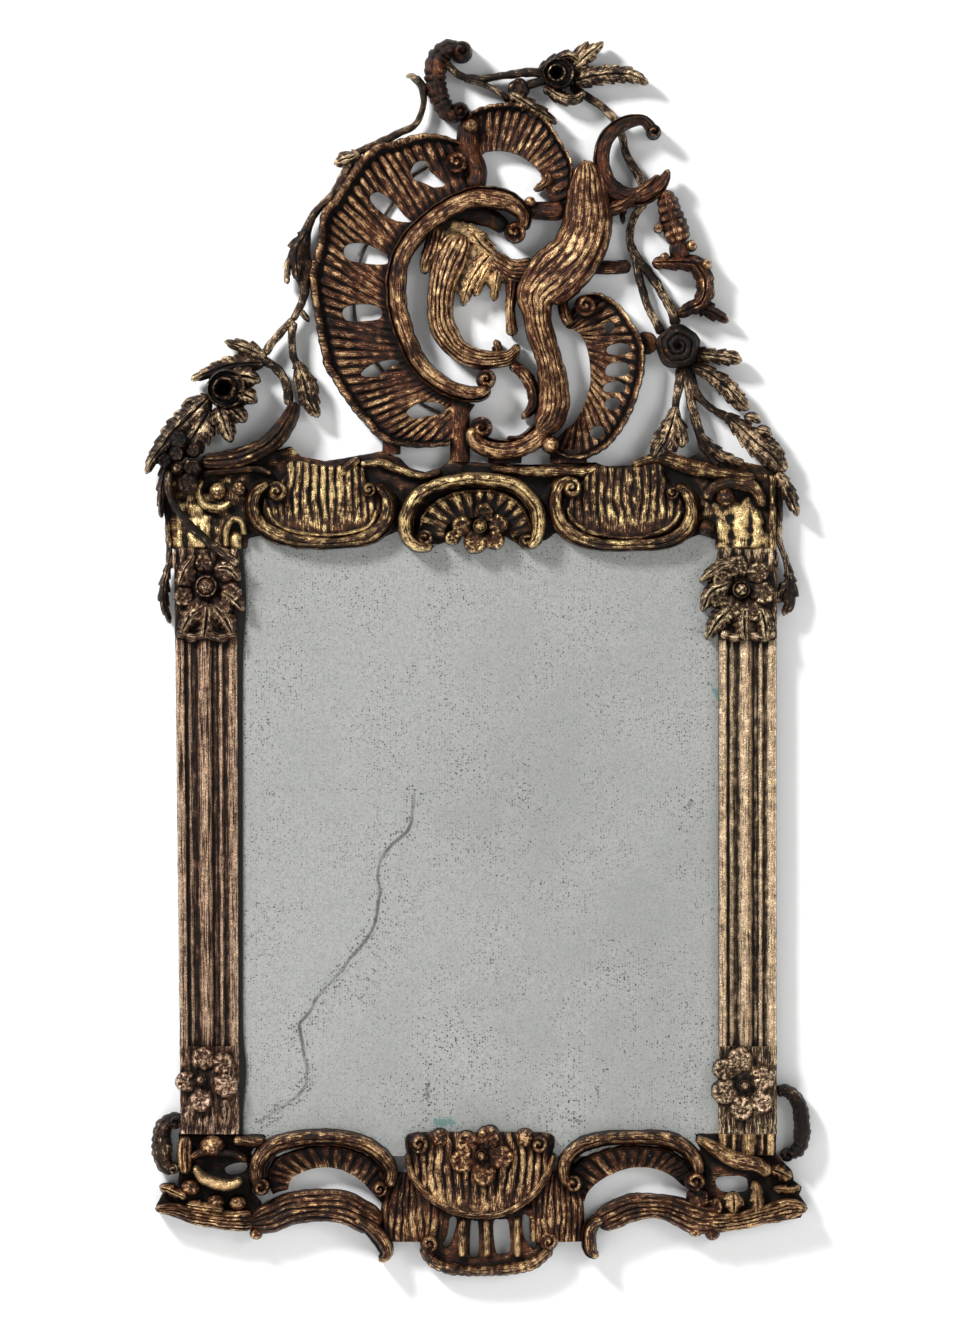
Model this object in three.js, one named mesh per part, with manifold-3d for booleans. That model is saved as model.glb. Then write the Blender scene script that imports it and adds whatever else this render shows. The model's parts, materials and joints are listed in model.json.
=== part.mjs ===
// Rococo wall mirror: a carved and gilded wooden frame with a pierced crest, flower garlands,
// two fluted stiles, a pierced apron, one plate of old mirror glass and a plain backboard.
// Millimetres, +Z up, the front looks along -Y, the wall is the plane y = 0.
// The origin is on the flat back of the top rail, in the middle of the frame.
import * as THREE from 'three';
import Module from 'manifold-3d';
import { mergeVertices } from 'three/addons/utils/BufferGeometryUtils.js';

const wasm = await Module();
wasm.setup();

// Driving dimensions of the frame
const sightWidth = 577;
const stileWidth = 72;
const crestHeight = 500;
const railHeight = 109;
const stileLength = 700;
const apronHeight = 169;

// Depths, measured forward from the wall
const railDepth = 24;
const stileDepth = 32;
const apronDepth = 22;
const crestBack = 5;
const reliefDepth = 44;
const flowerDepth = 54;
const wireThickness = 4;

// Glass and backboard in the rebate behind the frame
const glassThickness = 4;
const boardThickness = 8;
const boardSetback = 3.5;
const rebateLap = 9;
const railLap = 27;

// Clearance between pieces that touch
const jointGap = 0.3;

// The carver's drawing: the carving points below are drawn for these spans
const drawn = { left: -290, right: 287, margin: 72, crestTop: 550, railTop: 50, railFoot: -59,
  apronTop: -759, foot: -928 };

// Fits a drawn width to the sight width and the stile width
function fitX(x) {
  const across = sightWidth / (drawn.right - drawn.left);
  if (x < drawn.left) return drawn.left * across + (x - drawn.left) * stileWidth / drawn.margin;
  if (x > drawn.right) return drawn.right * across + (x - drawn.right) * stileWidth / drawn.margin;
  return x * across;
}

// Fits a drawn height to the crest, rail, stile and apron sizes
function fitZ(z) {
  const rail = railHeight / (drawn.railTop - drawn.railFoot);
  const foot = drawn.railFoot * rail;
  if (z > drawn.railTop) {
    return drawn.railTop * rail + (z - drawn.railTop) * crestHeight / (drawn.crestTop - drawn.railTop);
  }
  if (z >= drawn.railFoot) return z * rail;
  const stile = stileLength / (drawn.railFoot - drawn.apronTop);
  if (z >= drawn.apronTop) return foot + (z - drawn.railFoot) * stile;
  return foot - stileLength + (z - drawn.apronTop) * apronHeight / (drawn.apronTop - drawn.foot);
}

// Sections of a carved band: place across it and height, both as shares
const ROUND = [[-1, 0.6], [-0.5, 1], [0.5, 1], [1, 0.6]];
const DOMED = [[-1, 0.45], [-0.15, 1], [1, 0.55]];
const COVED = [[-1, 0.62], [-0.55, 1], [0.2, 0.66], [1, 0.9]];
const BLOCK = [[-1, 0.78], [-0.9, 0.88], [0.9, 0.88], [1, 0.78]];
const LEAF = [[-1, 0.5], [0, 1], [1, 0.5]];
const RIDGED = [[-1, 0.75], [-0.5, 0.95], [-0.1, 0.7], [0.45, 1], [1, 0.7]];
const SHAFT = [
  [-1, 0.72], [-0.92, 0.88], [-0.72, 0.88], [-0.64, 0.64], [-0.56, 0.84], [-0.34, 0.62], [-0.2, 0.98],
    [0.06, 1],
  [0.18, 0.62], [0.42, 0.84], [0.54, 0.64], [0.72, 0.88], [0.92, 0.86], [1, 0.7],
];

// A fluted section with a number of round flutes
function fluted(count, depth = 0.16) {
  const section = [];
  for (let i = 0; i <= 2 * count; i += 1) section.push([i / count - 1, i % 2 ? 1 - depth : 1]);
  return section;
}

// Makes a solid from corner points and triangles, turned so that its faces point out
function solidOf(corners, faces) {
  let volume = 0;
  const [a, b, c] = [new THREE.Vector3(), new THREE.Vector3(), new THREE.Vector3()];
  for (let i = 0; i < faces.length; i += 3) {
    a.fromArray(corners, 3 * faces[i]);
    b.fromArray(corners, 3 * faces[i + 1]);
    c.fromArray(corners, 3 * faces[i + 2]);
    volume += a.dot(b.cross(c));
  }
  const triVerts = Uint32Array.from(faces);
  if (volume < 0) triVerts.reverse();
  return new wasm.Manifold(new wasm.Mesh({ numProp: 3, vertProperties: Float32Array.from(corners),
    triVerts }));
}

// Makes a solid from a closed three.js geometry
function solidFrom(geometry) {
  geometry.deleteAttribute('normal');
  geometry.deleteAttribute('uv');
  const merged = mergeVertices(geometry, 1e-4);
  return solidOf(Array.from(merged.attributes.position.array), Array.from(merged.index.array));
}

function join(solids) {
  return solids.reduce((whole, next) => whole.add(next));
}

// Reads a path of [x, z, half width, lift] rows at a share of its length
function follow(curve, rows, share) {
  const at = share * (rows.length - 1);
  const low = Math.min(Math.floor(at), rows.length - 2);
  const between = (column, plain) => THREE.MathUtils.lerp(
    rows[low][column] ?? plain,
    rows[low + 1][column] ?? plain,
    at - low,
  );
  const point = curve.getPoint(share);
  const heading = curve.getTangent(share);
  return { x: point.x, z: point.y, tx: heading.x, tz: heading.y, half: between(2, 1), lift: between(3, 1) };
}

// A carved band along a path: flat behind, its section in front
function band(rows, { back = 0, front = reliefDepth, section = DOMED, stride = 42, square = false },
  grow = 0) {
  const curve = new THREE.SplineCurve(rows.map(([x, z]) => new THREE.Vector2(x, z)));
  const steps = rows.length === 2 ? 1 : Math.max(2, Math.round(curve.getLength() / stride));
  const corners = [];
  const faces = [];
  const around = section.length + 2;
  for (let i = 0; i <= steps; i += 1) {
    const { x, z, tx, tz, half, lift } = follow(curve, rows, i / steps);
    const [nx, nz] = square ? [1, 0] : [tz, -tx];
    const past = i === 0 ? -grow : i === steps ? grow : 0;
    const spot = (across, height) => corners.push(
      x + nx * across * (half + grow) + tx * past,
      -(back - grow + height * ((front - back) * lift + 2 * grow)),
      z + nz * across * (half + grow) + tz * past,
    );
    spot(-0.9, 0);
    section.forEach(([across, height]) => spot(across, height));
    spot(0.9, 0);
  }
  for (let i = 0; i < steps; i += 1) {
    for (let k = 0; k < around; k += 1) {
      const [p, q] = [i * around + k, i * around + (k + 1) % around];
      faces.push(p, q, q + around, p, q + around, p + around);
    }
  }
  const outline = [[-0.9, 0], ...section, [0.9, 0]].map(([u, v]) => new THREE.Vector2(u, v));
  for (const [p, q, r] of THREE.ShapeUtils.triangulateShape(outline, [])) {
    const far = steps * around;
    faces.push(p, r, q, far + p, far + q, far + r);
  }
  orientCaps(faces, corners, 6 * steps * around);
  return solidOf(corners, faces);
}

// Turns the end caps of a band the same way round as its sides
function orientCaps(faces, corners, start) {
  const used = new Set();
  for (let i = 0; i < start; i += 3) {
    for (let k = 0; k < 3; k += 1) used.add(`${faces[i + k]} ${faces[i + (k + 1) % 3]}`);
  }
  let turned = false;
  for (let i = start; i < faces.length; i += 3) {
    for (let k = 0; k < 3; k += 1) turned ||= used.has(`${faces[i + k]} ${faces[i + (k + 1) % 3]}`);
  }
  if (!turned) return;
  for (let i = start; i < faces.length; i += 3) [faces[i], faces[i + 1]] = [faces[i + 1], faces[i]];
}

// A ribbed shell between an inner and an outer edge line, with a raised rim
function shell(outer, inner, { back, low, high, rim, ribs }, grow = 0) {
  const outerLine = new THREE.SplineCurve(outer.map(([x, z]) => new THREE.Vector2(x, z)));
  const innerLine = new THREE.SplineCurve(inner.map(([x, z]) => new THREE.Vector2(x, z)));
  const columns = 2 * ribs;
  const rows = [[0, low], [0.84, high], [1, rim]];
  const corners = [];
  const faces = [];
  const around = rows.length + 2;
  for (let i = 0; i <= columns; i += 1) {
    const far = outerLine.getPoint(i / columns);
    const near = innerLine.getPoint(i / columns);
    const out = far.clone().sub(near).normalize().multiplyScalar(grow);
    far.add(out);
    near.sub(out);
    const spot = (share, depth) => corners.push(
      THREE.MathUtils.lerp(near.x, far.x, share),
      -depth,
      THREE.MathUtils.lerp(near.y, far.y, share),
    );
    spot(0, back - grow);
    rows.forEach(([share, depth], row) => spot(share, depth + grow + (row < 2 && i % 2 ? 4 : 0)));
    spot(1, back - grow);
  }
  for (let i = 0; i < columns; i += 1) {
    for (let k = 0; k < around; k += 1) {
      const [p, q] = [i * around + k, i * around + (k + 1) % around];
      faces.push(p, q, q + around, p, q + around, p + around);
    }
  }
  for (let k = 1; k < around - 1; k += 1) {
    faces.push(0, k + 1, k);
    faces.push(columns * around, columns * around + k, columns * around + k + 1);
  }
  orientCaps(faces, corners, 6 * columns * around);
  return solidOf(corners, faces);
}

// A flat board with the given outline, round or angular, from its back to its front depth
function plate(points, { back = 0, front, smooth = 0 }, grow = 0) {
  const line = points.map(([x, z]) => new THREE.Vector2(x, z));
  const ring = smooth ? smoothRing(line, smooth) : line;
  const shape = new THREE.Shape(grow ? offsetRing(ring, grow) : ring);
  const geometry = new THREE.ExtrudeGeometry(shape, { depth: front - back + 2 * grow,
    bevelEnabled: false });
  geometry.rotateX(Math.PI / 2);
  geometry.translate(0, -(back - grow), 0);
  return solidFrom(geometry);
}

function smoothRing(line, count) {
  const curve = new THREE.CatmullRomCurve3(line.map((p) => new THREE.Vector3(p.x, p.y, 0)), true);
  return curve.getPoints(count).slice(0, count).map((p) => new THREE.Vector2(p.x, p.y));
}

function offsetRing(ring, grow) {
  const side = THREE.ShapeUtils.isClockWise(ring) ? -1 : 1;
  return ring.map((point, i) => {
    const before = ring[(i + ring.length - 1) % ring.length];
    const after = ring[(i + 1) % ring.length];
    const arriving = point.clone().sub(before).normalize();
    const leaving = after.clone().sub(point).normalize();
    const along = arriving.clone().add(leaving).normalize();
    const reach = side * grow / Math.max(0.3, along.dot(leaving));
    return new THREE.Vector2(point.x + along.y * reach, point.y - along.x * reach);
  });
}

// Turned profiles, as shares of the radius and of the height
const KNOB = [[0, 0], [1, 0], [0.8, 0.8], [0, 1]];
const VOLUTE = [[0, 0], [1, 0], [0.82, 1], [0, 0.8]];
const PETAL = [[0, 0], [1, 0], [0.86, 0.92], [0, 0.8]];

// A turned form on the front of the frame, round or oval
function boss(x, z, radius, { back = 0, front = reliefDepth, profile = KNOB, sides = 6, stretch = 1,
  turn = 0 }, grow = 0) {
  const deep = front - back + 2 * grow;
  const points = profile.map(([r, h]) => new THREE.Vector2(r * (radius + grow), h * deep));
  const geometry = new THREE.LatheGeometry(points, sides);
  geometry.rotateX(Math.PI);
  geometry.scale(stretch, 1, 1);
  geometry.rotateY(-turn);
  geometry.translate(x, -(back - grow), z);
  return solidFrom(geometry);
}

const volute = (x, z, radius, depths, grow) => boss(x, z, radius, { profile: VOLUTE, sides: 6,
  ...depths }, grow);

// A leaf: a short ridged blade that tapers to its tip
const leaf = (rows, depths, grow) => band(rows, { section: LEAF, stride: 28, ...depths }, grow);

// A flower: petals of [x, z, half width, half height] round its heart
function flower([x, z, radius], petals, { back = 0, front = flowerDepth }, grow = 0) {
  const heart = boss(x, z, radius, { back, front }, grow);
  const leaves = petals.map(([px, pz, wide, high]) => boss(px, pz, high, {
    back,
    front: front - 8,
    profile: PETAL,
    stretch: wide / high,
  }, grow));
  return [heart, ...leaves];
}

// The crest

function crestShells(grow) {
  const main = shell(
    [[-24, 428], [-58, 438], [-100, 431], [-128, 422], [-152, 396], [-174, 366], [-190, 340],
      [-197, 304], [-203, 262],
      [-199, 226], [-191, 186], [-182, 150], [-160, 117], [-137, 90], [-114, 67], [-80, 62], [-38, 64]],
    [[-6, 374], [-30, 364], [-52, 350], [-72, 333], [-88, 312], [-98, 290], [-104, 266], [-106, 244],
      [-103, 222],
      [-96, 200], [-86, 178], [-74, 160], [-60, 144], [-46, 132], [-34, 124], [-22, 118], [-6, 114]],
    { back: crestBack, low: 20, high: 24, rim: 34, ribs: 11 },
    grow,
  );
  const upper = shell(
    [[-20, 446], [-8, 464], [22, 474], [55, 471], [80, 455], [100, 426], [111, 398], [106, 362]],
    [[-2, 380], [2, 412], [16, 418], [34, 417], [52, 410], [66, 399], [76, 384], [84, 352]],
    { back: crestBack, low: 20, high: 26, rim: 36, ribs: 6 },
    grow,
  );
  const right = shell(
    [[82, 62], [102, 51], [128, 51], [152, 63], [170, 84], [186, 112], [196, 146], [198, 178],
      [188, 204], [166, 234],
      [142, 248], [122, 244]],
    [[102, 84], [112, 92], [121, 106], [128, 122], [132, 140], [132, 158], [130, 174], [126, 188],
      [120, 198], [112, 204],
      [104, 206], [100, 214]],
    { back: crestBack, low: 20, high: 24, rim: 34, ribs: 9 },
    grow,
  );
  return [main, upper, right];
}

// Pierced openings between the ribs of the shells
function crestHoles() {
  const through = { back: -2, front: reliefDepth + 10 };
  return [
    plate([[-83, 392], [-72, 406], [-60, 398], [-40, 380], [-40, 367], [-56, 368], [-74, 377]], through),
    plate([[-134, 354], [-121, 370], [-100, 358], [-73, 344], [-82, 332], [-106, 341]], through),
    plate([[-165, 295], [-142, 308], [-110, 299], [-112, 281], [-145, 281]], through),
    plate([[-169, 222], [-155, 232], [-122, 230], [-120, 212], [-155, 211]], through),
    plate([[-142, 153], [-126, 164], [-103, 171], [-102, 162], [-128, 146]], through),
    plate([[-89, 106], [-78, 118], [-44, 113], [-42, 101], [-74, 98]], through),
    plate([[152, 148], [152, 161], [178, 165], [178, 148]], through),
    plate([[150, 110], [150, 120], [170, 121], [160, 107]], through),
    plate([[131, 76], [136, 88], [150, 84], [142, 72]], through),
    boss(155, 207, 7, { back: -2, front: reliefDepth + 10, profile: [[0, 0], [1, 0], [1, 1],
      [0, 1]], sides: 8 }),
  ];
}

function crestScrolls(grow) {
  const carved = { back: crestBack, section: COVED };
  return [
    band([[52, 322, 6], [52, 340, 8], [36, 356, 13], [8, 362, 14], [-22, 357, 13], [-50, 342, 12],
      [-76, 318, 12],
      [-94, 290, 12], [-101, 258, 12], [-98, 222, 12], [-84, 182, 12], [-62, 150, 12], [-36, 133, 11],
        [-6, 126, 10],
      [12, 134, 7]], { ...carved, front: 46, stride: 30 }, grow),
    band([[-24, 540, 10], [-38, 540, 12], [-51, 526, 14], [-53, 502, 14], [-48, 480, 13],
      [-38, 463, 11], [-24, 457, 9]],
      { ...carved, front: 36, section: DOMED, stride: 18 }, grow),
    band([[-52, 330, 8], [-60, 300, 9], [-66, 283, 6],
      [-66, 270, 4]], { ...carved, front: 32, section: LEAF }, grow),
    band([[-54, 328, 8], [-24, 342, 10], [10, 338, 12],
      [32, 324, 8]], { back: crestBack, front: 20, section: ROUND }, grow),
    band([[10, 292, 12], [40, 274, 14], [72, 276, 18]], { ...carved, front: 34, section: DOMED }, grow),
    band([[-22, 318, 18], [-36, 285, 20], [-46, 250, 15], [-47, 220, 16], [-38, 194, 15],
      [-20, 175, 13], [6, 167, 12],
      [34, 170, 9], [46, 186, 5]], { ...carved, front: 34, section: RIDGED }, grow),
    band([[125, 406, 9], [128, 384, 20], [129, 352, 28], [126, 320, 31], [112, 290, 33], [88, 266, 34],
      [68, 244, 26],
      [68, 220, 17], [73, 195, 17], [82, 168, 16], [88, 142, 18], [89, 118, 19], [84, 98, 18],
        [70, 80, 14]],
      { ...carved, front: 48, section: fluted(3, 0.2) }, grow),
    band([[80, 92, 14], [66, 74, 13], [42, 62, 12], [16, 61, 12], [-4, 72, 11], [-6, 88, 9]],
      { ...carved, front: 42, section: COVED }, grow),
    band([[40, 282, 14], [38, 250, 8], [36, 225, 6],
      [40, 196, 8]], { ...carved, front: 30, section: LEAF }, grow),
    band([[112, 262, 14], [100, 242, 7], [101, 224, 7],
      [108, 208, 6]], { ...carved, front: 32, section: LEAF }, grow),
    band([[36, 164, 7], [54, 150, 8], [64, 132, 9], [65, 112, 8],
      [50, 97, 3]], { ...carved, front: 30, section: LEAF }, grow),
    band([[206, 440, 8], [194, 453, 6], [172, 449, 8], [152, 432, 9], [146, 405, 10], [152, 378, 12],
      [174, 362, 12],
      [200, 366, 11], [218, 380, 7], [226, 395, 2]], { ...carved, back: 16, front: 40, stride: 26 }, grow),
  ];
}

function crestLeaves(grow) {
  const low = { back: crestBack, front: 30 };
  const fan = [[-56, 330], [-38, 337], [-10, 330], [8, 318], [16, 300], [26, 284], [46, 272], [44, 256], [20, 262],
    [14, 250], [4, 262], [-6, 244], [-12, 256], [-22, 240], [-30, 250], [-34, 270], [-60, 290]];
  return [
    plate(fan, { back: crestBack, front: 25 }, grow),
    leaf([[16, 296, 12], [0, 278, 14], [-14, 255, 10], [-21, 232, 3]], low, grow),
    leaf([[18, 292, 9], [4, 268, 9], [-7, 244, 4]], low, grow),
    leaf([[24, 284, 9], [20, 262, 8], [16, 238, 4]], low, grow),
    leaf([[-10, 320, 16], [2, 305, 14], [20, 290, 10]], low, grow),
    leaf([[24, 168, 10], [21, 184, 7], [19, 192, 3]], { back: crestBack, front: 32 }, grow),
    leaf([[72, 82, 8], [54, 74, 6], [32, 74, 2]], { back: crestBack, front: 36 }, grow),
    leaf([[84, 392, 10], [76, 376, 7], [64, 372, 3]], { back: crestBack, front: 28 }, grow),
    leaf([[168, 358, 9], [171, 342, 5], [172, 330, 1]], { back: crestBack, front: 24 }, grow),
    leaf([[262, 232, 14], [284, 220, 9], [298, 213, 3]], { back: crestBack, front: 30 }, grow),
  ];
}

// The ribbed horn and the leafy band to the right of the crest
function crestHorn(grow) {
  const horn = shell(
    [[228, 378], [240, 368], [247, 352], [252, 334], [256, 316], [260, 300]],
    [[202, 362], [203, 346], [207, 332], [212, 318], [216, 304], [222, 290]],
    { back: crestBack, low: 30, high: 36, rim: 28, ribs: 6 },
    grow,
  );
  const trail = band([[206, 284, 8], [230, 284, 10], [256, 282, 12], [270, 262, 12], [266, 238, 12],
    [250, 228, 9],
    [236, 222, 7]], { back: crestBack, front: 36, section: DOMED }, grow);
  return [horn, trail, band([[240, 312, 12], [238, 296, 12],
    [240, 284, 10]], { back: crestBack, front: 34 }, grow)];
}

function crestLinks(grow) {
  const flat = { back: crestBack, section: ROUND };
  return [
    band([[-6, 462, 9], [-15, 440, 12], [-12, 414, 13], [-3, 392, 12],
      [-8, 368, 12]], { ...flat, front: 30, stride: 24 }, grow),
    band([[56, 346, 10], [80, 346, 11], [104, 346, 11]], { ...flat, front: 30 }, grow),
    band([[126, 280, 10], [156, 278, 8], [181, 280, 9]], { ...flat, front: 20 }, grow),
    band([[186, 190, 14], [204, 186, 13], [213, 184, 12]], { ...flat, front: 20 }, grow),
    band([[-106, 70, 10], [-106, 40, 11]], { ...flat, front: 24 }, grow),
    band([[-26, 124, 12], [-24, 92, 12], [-24, 62, 12], [-22, 40, 12]], { ...flat, front: 24 }, grow),
    band([[30, 60, 20], [30, 38, 20]], { ...flat, front: 24 }, grow),
    band([[106, 60, 22], [106, 38, 22]], { ...flat, front: 24 }, grow),
    boss(84, 66, 11, { back: crestBack, front: 42 }, grow),
    boss(-11, 446, 8, { back: crestBack, front: 42 }, grow),
    boss(60, 356, 6, { back: crestBack, front: 38 }, grow),
    boss(214, 324, 8, { back: crestBack, front: 38 }, grow),
  ];
}

function crestVolutes(grow) {
  const eyes = [[42, 320, 13, 50], [7, 144, 12, 48], [-22, 536, 13, 42], [-24, 465, 11, 40],
    [2, 86, 13, 44],
    [126, 232, 13, 42], [208, 440, 9, 40], [-28, 404, 13, 38]];
  return eyes.map(([x, z, radius, front]) => volute(x, z, radius, { back: crestBack, front }, grow));
}

function crest(grow = 0) {
  const shells = crestHoles().reduce((whole, hole) => whole.subtract(hole), join(crestShells(grow)));
  return join([shells, ...crestScrolls(grow), ...crestLeaves(grow), ...crestHorn(grow),
    ...crestLinks(grow), ...crestVolutes(grow)]);
}

// The thin iron wire behind the pierced shell
function crestWire() {
  const half = wireThickness / 2;
  const path = [[-62, 399], [-84, 384], [-104, 356], [-124, 326], [-140, 296], [-149, 260], [-150, 224],
    [-142, 190],
    [-122, 162], [-100, 136], [-72, 116], [-46, 104]];
  const rows = path.map(([x, z]) => [x, z, half]);
  const back = crestBack - jointGap - wireThickness;
  return band(rows, { back, front: back + wireThickness, section: [[-1, 0.3], [-0.5, 1], [0.5, 1],
    [1, 0.3]] });
}

// The top rail

function railBoard(grow) {
  const outline = [[-368, drawn.railFoot], [-279, drawn.railFoot], [-277, -46], [-262, -43],
    [-230, -52], [-150, -54],
    [-120, -47], [-98, -38], [-80, -50], [-50, -54], [-20, -44], [30, -44], [50, -56], [80, -48], [90, -40],
    [110, -50], [140, -56], [215, -56], [245, -48], [262, -42], [281, -44], [283, drawn.railFoot],
    [355, drawn.railFoot], [355, 24], [360, 36], [322, 44], [262, 56], [250, 50], [205, 54], [192, 42],
      [150, 40],
    [138, 45], [60, 42], [0, 44], [-34, 48], [-48, 38], [-66, 33], [-84, 38], [-96, 50], [-118, 58],
      [-150, 52],
    [-185, 46], [-215, 52], [-226, 64], [-262, 54], [-290, 42], [-330, 44], [-362, 44], [-376, 16],
      [-374, -14]];
  return plate(outline, { front: railDepth }, grow);
}

// A rail panel: a fluted field held by a C-scroll that ends in two volutes
function railPanel(centre, halves, frame, lip, eyes, grow) {
  const heights = [38, 14, -8, -28, -42];
  const field = band(heights.map((z, i) => [centre, z, halves[i]]), { back: 12, front: 31,
    section: fluted(5, 0.26) }, grow);
  return [
    field,
    band(frame, { back: 8, front: 43, section: COVED, stride: 30 }, grow),
    band(lip, { back: 20, front: 37, section: LEAF }, grow),
    ...eyes.map(([x, z, radius]) => volute(x, z, radius, { back: 10, front: 46 }, grow)),
  ];
}

function leftPanel(grow) {
  const frame = [[-252, 20, 5], [-266, 12, 8], [-273, -4, 9], [-268, -24, 10], [-250, -40, 10],
    [-222, -49, 8], [-186, -52, 7],
    [-152, -50, 8], [-128, -42, 10], [-113, -28, 10], [-108, -9, 10], [-113, 8, 8], [-124, 18, 5]];
  const lip = [[-251, -8, 3], [-244, -26, 4], [-224, -38, 4], [-188, -43, 3], [-156, -40, 3],
    [-134, -29, 3], [-124, -12, 3]];
  return railPanel(-185, [38, 44, 62, 52, 30], frame, lip, [[-243, 9, 13], [-133, 12, 9]], grow);
}

function rightPanel(grow) {
  const frame = [[110, 26, 5], [96, 19, 8], [90, 2, 9], [92, -20, 10], [106, -40, 10], [134, -52, 8],
    [172, -55, 7],
    [210, -53, 8], [238, -44, 10], [252, -28, 10], [254, -8, 9], [246, 9, 8], [233, 15, 5]];
  const lip = [[105, -8, 3], [111, -26, 4], [134, -40, 4], [172, -46, 3], [206, -42, 3], [230, -30, 3],
    [240, -12, 3]];
  return railPanel(172, [38, 50, 64, 54, 28], frame, lip, [[109, 14, 13], [230, 8, 8]], grow);
}

// The cartouche in the middle of the top rail, with a five-petalled flower
function railCartouche(grow) {
  const arch = [[-56, -55, 6], [-76, -53, 9], [-87, -38, 10], [-85, -14, 10], [-70, 6, 10],
    [-44, 18, 9], [-8, 24, 9],
    [26, 21, 9], [50, 11, 10], [66, -8, 10], [70, -30, 10], [66, -48, 9], [56, -56, 6]];
  return [
    band(arch, { back: 8, front: 47, section: COVED, stride: 30 }, grow),
    shell(
      [[-74, -44], [-68, -18], [-48, 0], [-20, 9], [6, 10], [32, 3], [50, -12], [60, -32], [60, -52]],
      [[-44, -46], [-40, -32], [-28, -24], [-12, -22], [4, -22], [16, -24], [28, -30], [36, -40],
        [42, -52]],
      { back: 12, low: 28, high: 31, rim: 36, ribs: 6 },
      grow,
    ),
    volute(-66, -46, 10, { back: 10, front: 50 }, grow),
    ...flower([0, -32, 9], [[-21, -32, 13, 10], [5, -19, 11, 9], [21, -29, 12, 9], [-5, -52, 14, 12],
      [17, -48, 12, 10],
      [-33, -46, 9, 7]], { back: 16 }, grow),
    boss(56, -50, 10, { back: 10, front: 40 }, grow),
  ];
}

function railCorners(grow) {
  const lobes = [[314, 0, 16, 13], [332, -10, 12, 8], [288, -30, 8, 9], [-352, -24, 12, 9],
    [-330, -22, 10, 9],
    [-308, -34, 8, 8]];
  const rim = [[350, 26, 5], [350, -20, 5], [350, drawn.railFoot, 5]];
  return [
    ...lobes.map(([x, z, start, half]) => band([[x, z, 3], [x, z - start, half * 0.8], [x, -50, half],
      [x, drawn.railFoot, half]],
      { back: 10, front: 37, section: DOMED }, grow)),
    band(rim, { back: 10, front: 33, section: ROUND }, grow),
    boss(271, -34, 11, { back: 12, front: 38 }, grow),
    boss(-318, 12, 13, { back: 12, front: 38 }, grow),
    boss(-292, 20, 12, { back: 12, front: 34 }, grow),
    boss(-300, -6, 15, { back: 12, front: 34 }, grow),
    boss(282, 2, 15, { back: 12, front: 34 }, grow),
    boss(300, 20, 13, { back: 12, front: 34 }, grow),
    band([[-290, -56, 4], [-299, -42, 4], [-294, -26, 4],
      [-282, -28, 4]], { back: 14, front: 40, section: ROUND }, grow),
    band([[-222, 117, 7], [-228, 98, 10], [-239, 80, 12], [-256, 64, 12], [-278, 53, 12],
      [-304, 47, 12], [-334, 46, 9]],
      { front: 42, section: COVED }, grow),
  ];
}

// Low rocky ridges along the top edge of the rail
function railRidges(grow) {
  const ridges = [
    [[-170, 26, 4], [-158, 38, 7], [-144, 50, 4]],
    [[-144, 42, 4], [-120, 44, 6], [-98, 36, 6], [-78, 29, 5], [-60, 29, 5], [-46, 34, 4]],
    [[12, 36, 5], [46, 34, 6], [84, 33, 7], [122, 33, 7], [140, 38, 4]],
    [[182, 40, 4], [214, 50, 8], [250, 40, 10], [290, 30, 8], [330, 26, 6]],
  ];
  return ridges.map((rows) => band(rows, { back: 14, front: 35, section: LEAF }, grow));
}

function topRail(grow = 0) {
  return join([
    railBoard(grow),
    ...leftPanel(grow),
    ...rightPanel(grow),
    ...railCartouche(grow),
    ...railCorners(grow),
    ...railRidges(grow),
  ]);
}

// The stiles: a fluted shaft with a carved capital and a carved foot

const capitalFoot = -168;
const footTop = -654;

function stile([topX, topHalf], [footX, footHalf], carving, grow) {
  const lean = (z) => {
    const share = (z - drawn.railFoot) / (drawn.apronTop - drawn.railFoot);
    return [THREE.MathUtils.lerp(topX, footX, share), z, THREE.MathUtils.lerp(topHalf, footHalf, share)];
  };
  const upright = { front: stileDepth, square: true };
  return join([
    band([lean(drawn.railFoot - jointGap), lean(capitalFoot)], { ...upright, section: BLOCK }, grow),
    band([lean(capitalFoot), lean(footTop)], { ...upright, section: SHAFT }),
    band([lean(footTop), lean(drawn.apronTop + jointGap)], { ...upright, section: BLOCK }, grow),
    ...carving,
  ]);
}

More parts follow.
